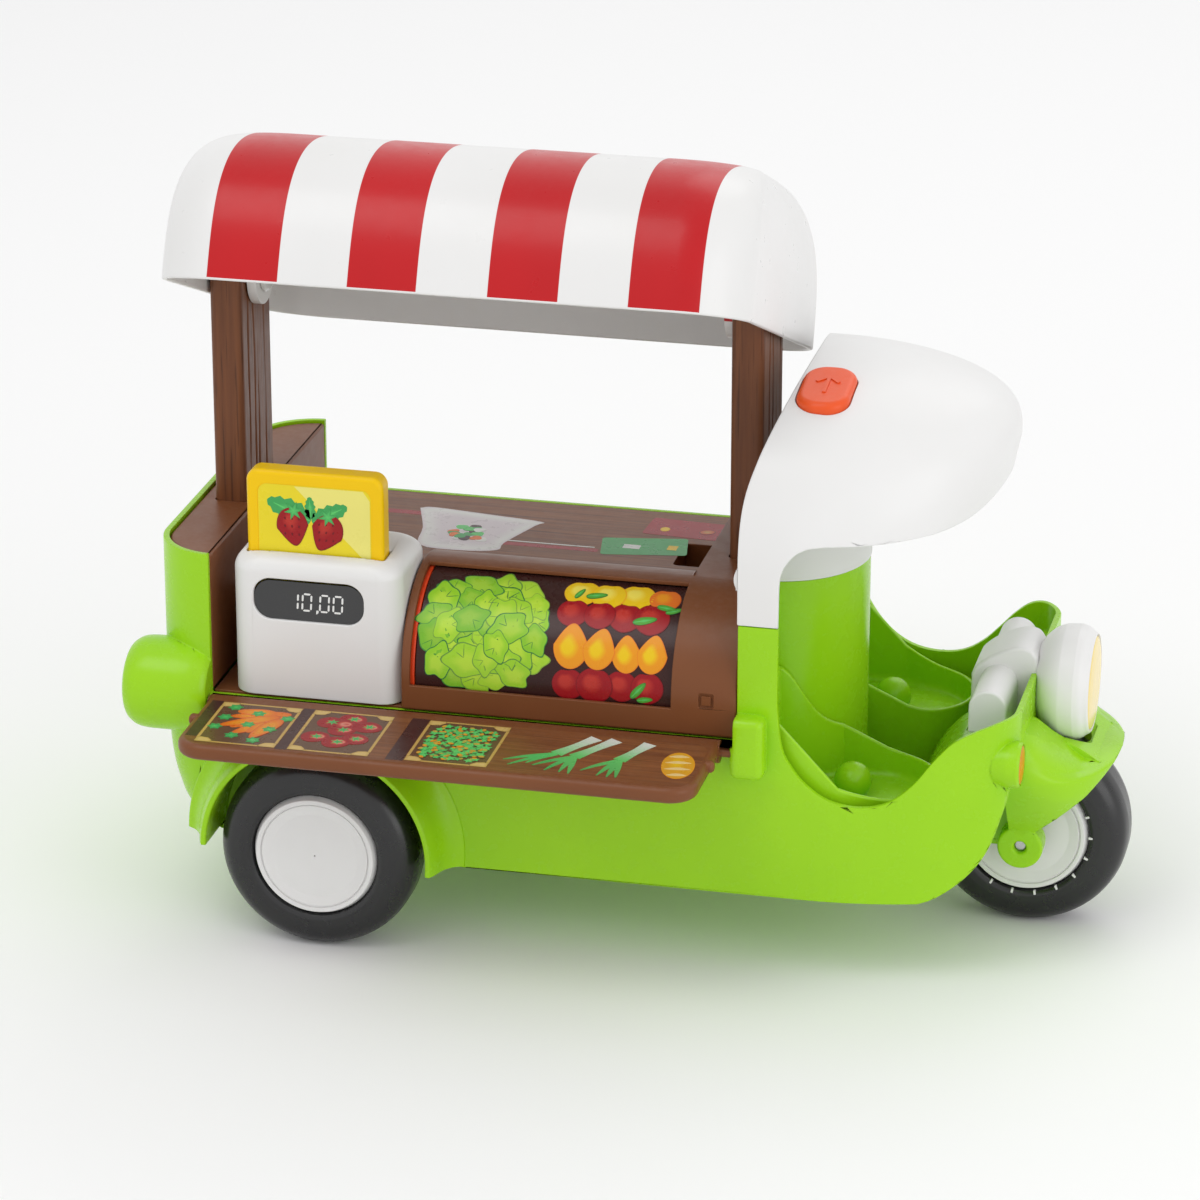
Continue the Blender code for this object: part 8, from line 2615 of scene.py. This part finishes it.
    def card_panel(self) -> None:
        """Panel on the card: two red berries on green leaves."""
        u, v = self.card_middle
        sheet = PrintSheet(lambda a, b, w: (a, self.card_face - 0.005 - w, b), 0.02, 0.1)
        sheet.shape(rounded(22.6, 25.2, 3.6, 8, (u, v)), 0.0,
                    [(1.0, Inks.LEMON), (0.6, Inks.LEMON), (0.3, Inks.LEMON), (0.0, Inks.LEMON)])
        sheet.shape([(u - 8.0, v + 24.8), (u + 19.5, v + 24.8), (u + 22.2, v + 21.0), (u + 22.2, v - 6.0)],
                    1.0, flat(Inks.LEMON_PALE))
        sheet.shape([(u - 22.2, v - 6.0), (u - 22.2, v - 22.0), (u - 19.0, v - 24.8), (u - 6.0, v - 24.8)],
                    1.0, flat(Inks.LEMON_PALE))
        for a, b, length, width, way in ((-1.6, 11.0, 19.0, 11.0, 156.0), (-1.0, 10.6, 16.0, 8.6, 28.0),
                                         (-1.6, 12.0, 9.0, 5.0, 92.0)):
            sheet.leaf(u + a, v + b, length, width, way, 3.0, 1, (Inks.SPRIG, Inks.SPRIG, Inks.SPRIG_LIGHT))
        for a, b, turn in ((-8.9, 8.2, 10.0), (4.8, 6.6, -24.0)):
            tip = lobed(0.0, 0.0, 6.4, 7.9, 180.0 + turn, waist=0.46, count=36)
            sheet.shape([(u + a + x, v + b + y) for x, y in tip], 7.0 + (a > 0),
                        [(1.0, Inks.WINE), (0.93, Inks.RED), (0.55, Inks.RED), (0.2, Inks.RED_LIGHT),
                         (0.0, Inks.RED_LIGHT)],
                        (u + a - 1.4, v + b + 3.4))
            for k in range(9):
                seed = (u + a - 3.0 + (k % 3) * 2.8, v + b + 3.4 - (k // 3) * 3.2)
                sheet.shape(lobed(*seed, 0.35, 0.6, turn, count=8), 10.0, flat(Inks.WINE))
            sheet.shape(star(u + a + 0.5, v + b + 6.6, 4.0, 6, 12.0, 0.4), 11.0,
                        [(1.0, Inks.SPRIG), (0.0, Inks.SPRIG_LIGHT)])
        sheet.done("card_print", "card")

    def build(self) -> None:
        """Lay every print."""
        self.drum_label()
        self.tray_board()
        self.counter_papers()
        self.card_panel()


# Studio


@dataclass
class Studio:
    """Pale floor, soft lamps and the camera."""

    floor_size: float = 9.0
    azimuth: float = 13.2
    elevation: float = 21.2
    distance: float = 2.0
    lens: float = 150.0
    target: Triple = (-0.02215, 0.0192, 0.118)
    image: int = 1200
    lamps: tuple[tuple[str, float, Triple, float], ...] = (
        ("key", 10.0, (-0.7, -1.0, 2.1), 1.1), ("fill", 7.5, (1.6, -0.9, 0.7), 1.3),
                                                           ("back", 4.5, (0.3, 1.5, 1.6), 1.2))

    def floor(self) -> bpy.types.Object:
        """Plain pale floor under the wheels."""
        half = self.floor_size / 2
        bm = bmesh.new()
        bm.faces.new([bm.verts.new((x * half, y * half, 0.0)) for x,
                      y in ((-1, -1), (1, -1), (1, 1), (-1, 1))])
        mesh = bpy.data.meshes.new("floor")
        bm.to_mesh(mesh)
        bm.free()
        item = bpy.data.objects.new("floor", mesh)
        bpy.context.scene.collection.objects.link(item)
        made = bpy.data.materials.new("floor_paper")
        made.use_nodes = True
        shader = made.node_tree.nodes["Principled BSDF"]
        shader.inputs["Base Color"].default_value = (0.94, 0.94, 0.94, 1.0)
        shader.inputs["Roughness"].default_value = 0.9
        mesh.materials.append(made)
        return item

    def light(self) -> None:
        """Soft lamps and a white surround that also shows in glossy faces."""
        middle = Vector(self.target)
        for name, power, place, size in self.lamps:
            data = bpy.data.lights.new(name, "AREA")
            data.energy = power
            data.size = size
            lamp = bpy.data.objects.new(name, data)
            bpy.context.scene.collection.objects.link(lamp)
            lamp.location = place
            lamp.rotation_euler = (middle - lamp.location).to_track_quat("-Z", "Y").to_euler()
        world = bpy.data.worlds.new("surround")
        bpy.context.scene.world = world
        world.use_nodes = True
        s = Sketch(world.node_tree)
        s.tree.nodes.clear()
        ray = s.node("ShaderNodeLightPath")
        seen = s.math("MAXIMUM", ray.outputs["Is Camera Ray"], ray.outputs["Is Glossy Ray"])
        seen = s.math("MAXIMUM", seen, ray.outputs["Is Transmission Ray"])
        back = s.node("ShaderNodeBackground",
                      {"Color": (1.0, 1.0, 1.0, 1.0), "Strength": s.span(seen, 0.0, 1.0, 0.80, 1.0)})
        s.node("ShaderNodeOutputWorld", {"Surface": back.outputs[0]})

    def camera(self) -> None:
        """Camera of the main view."""
        scene = bpy.context.scene
        data = bpy.data.cameras.new("camera")
        data.lens = self.lens
        item = bpy.data.objects.new("camera", data)
        scene.collection.objects.link(item)
        turn, rise = math.radians(self.azimuth), math.radians(self.elevation)
        away = Vector((math.sin(turn) * math.cos(rise), -math.cos(turn) * math.cos(rise), math.sin(rise)))
        item.location = Vector(self.target) + away * self.distance
        item.rotation_euler = (-away).to_track_quat("-Z", "Y").to_euler()
        scene.camera = item
        scene.render.resolution_x = self.image
        scene.render.resolution_y = self.image
        scene.view_settings.view_transform = "Standard"


def main() -> None:
    """Build the truck piece by piece, then its studio."""
    logging.basicConfig(level=logging.INFO, format="%(name)s: %(message)s")
    Canopy().build()
    CabRoof().build()
    Tub().build()
    Cab().build()
    ScooterFront().build()
    Wheel("rear_wheel_near", -91.4, -72.2, -100.2, ("rear_tyre_near", "rear_hub_near")).build()
    Wheel("rear_wheel_far", -91.4, 72.2, 100.2, ("rear_tyre_far", "rear_hub_far")).build()
    Wheel("front_wheel", 176.0, 14.0, -14.0, ("front_tyre", "front_hub"), True, 18).build()
    Stall().build()
    Till().build()
    Drum().build()
    Tray().build()
    Goods().build()
    Works().build()
    studio = Studio()
    studio.floor()
    studio.light()
    studio.camera()


if __name__ == "__main__":
    main()
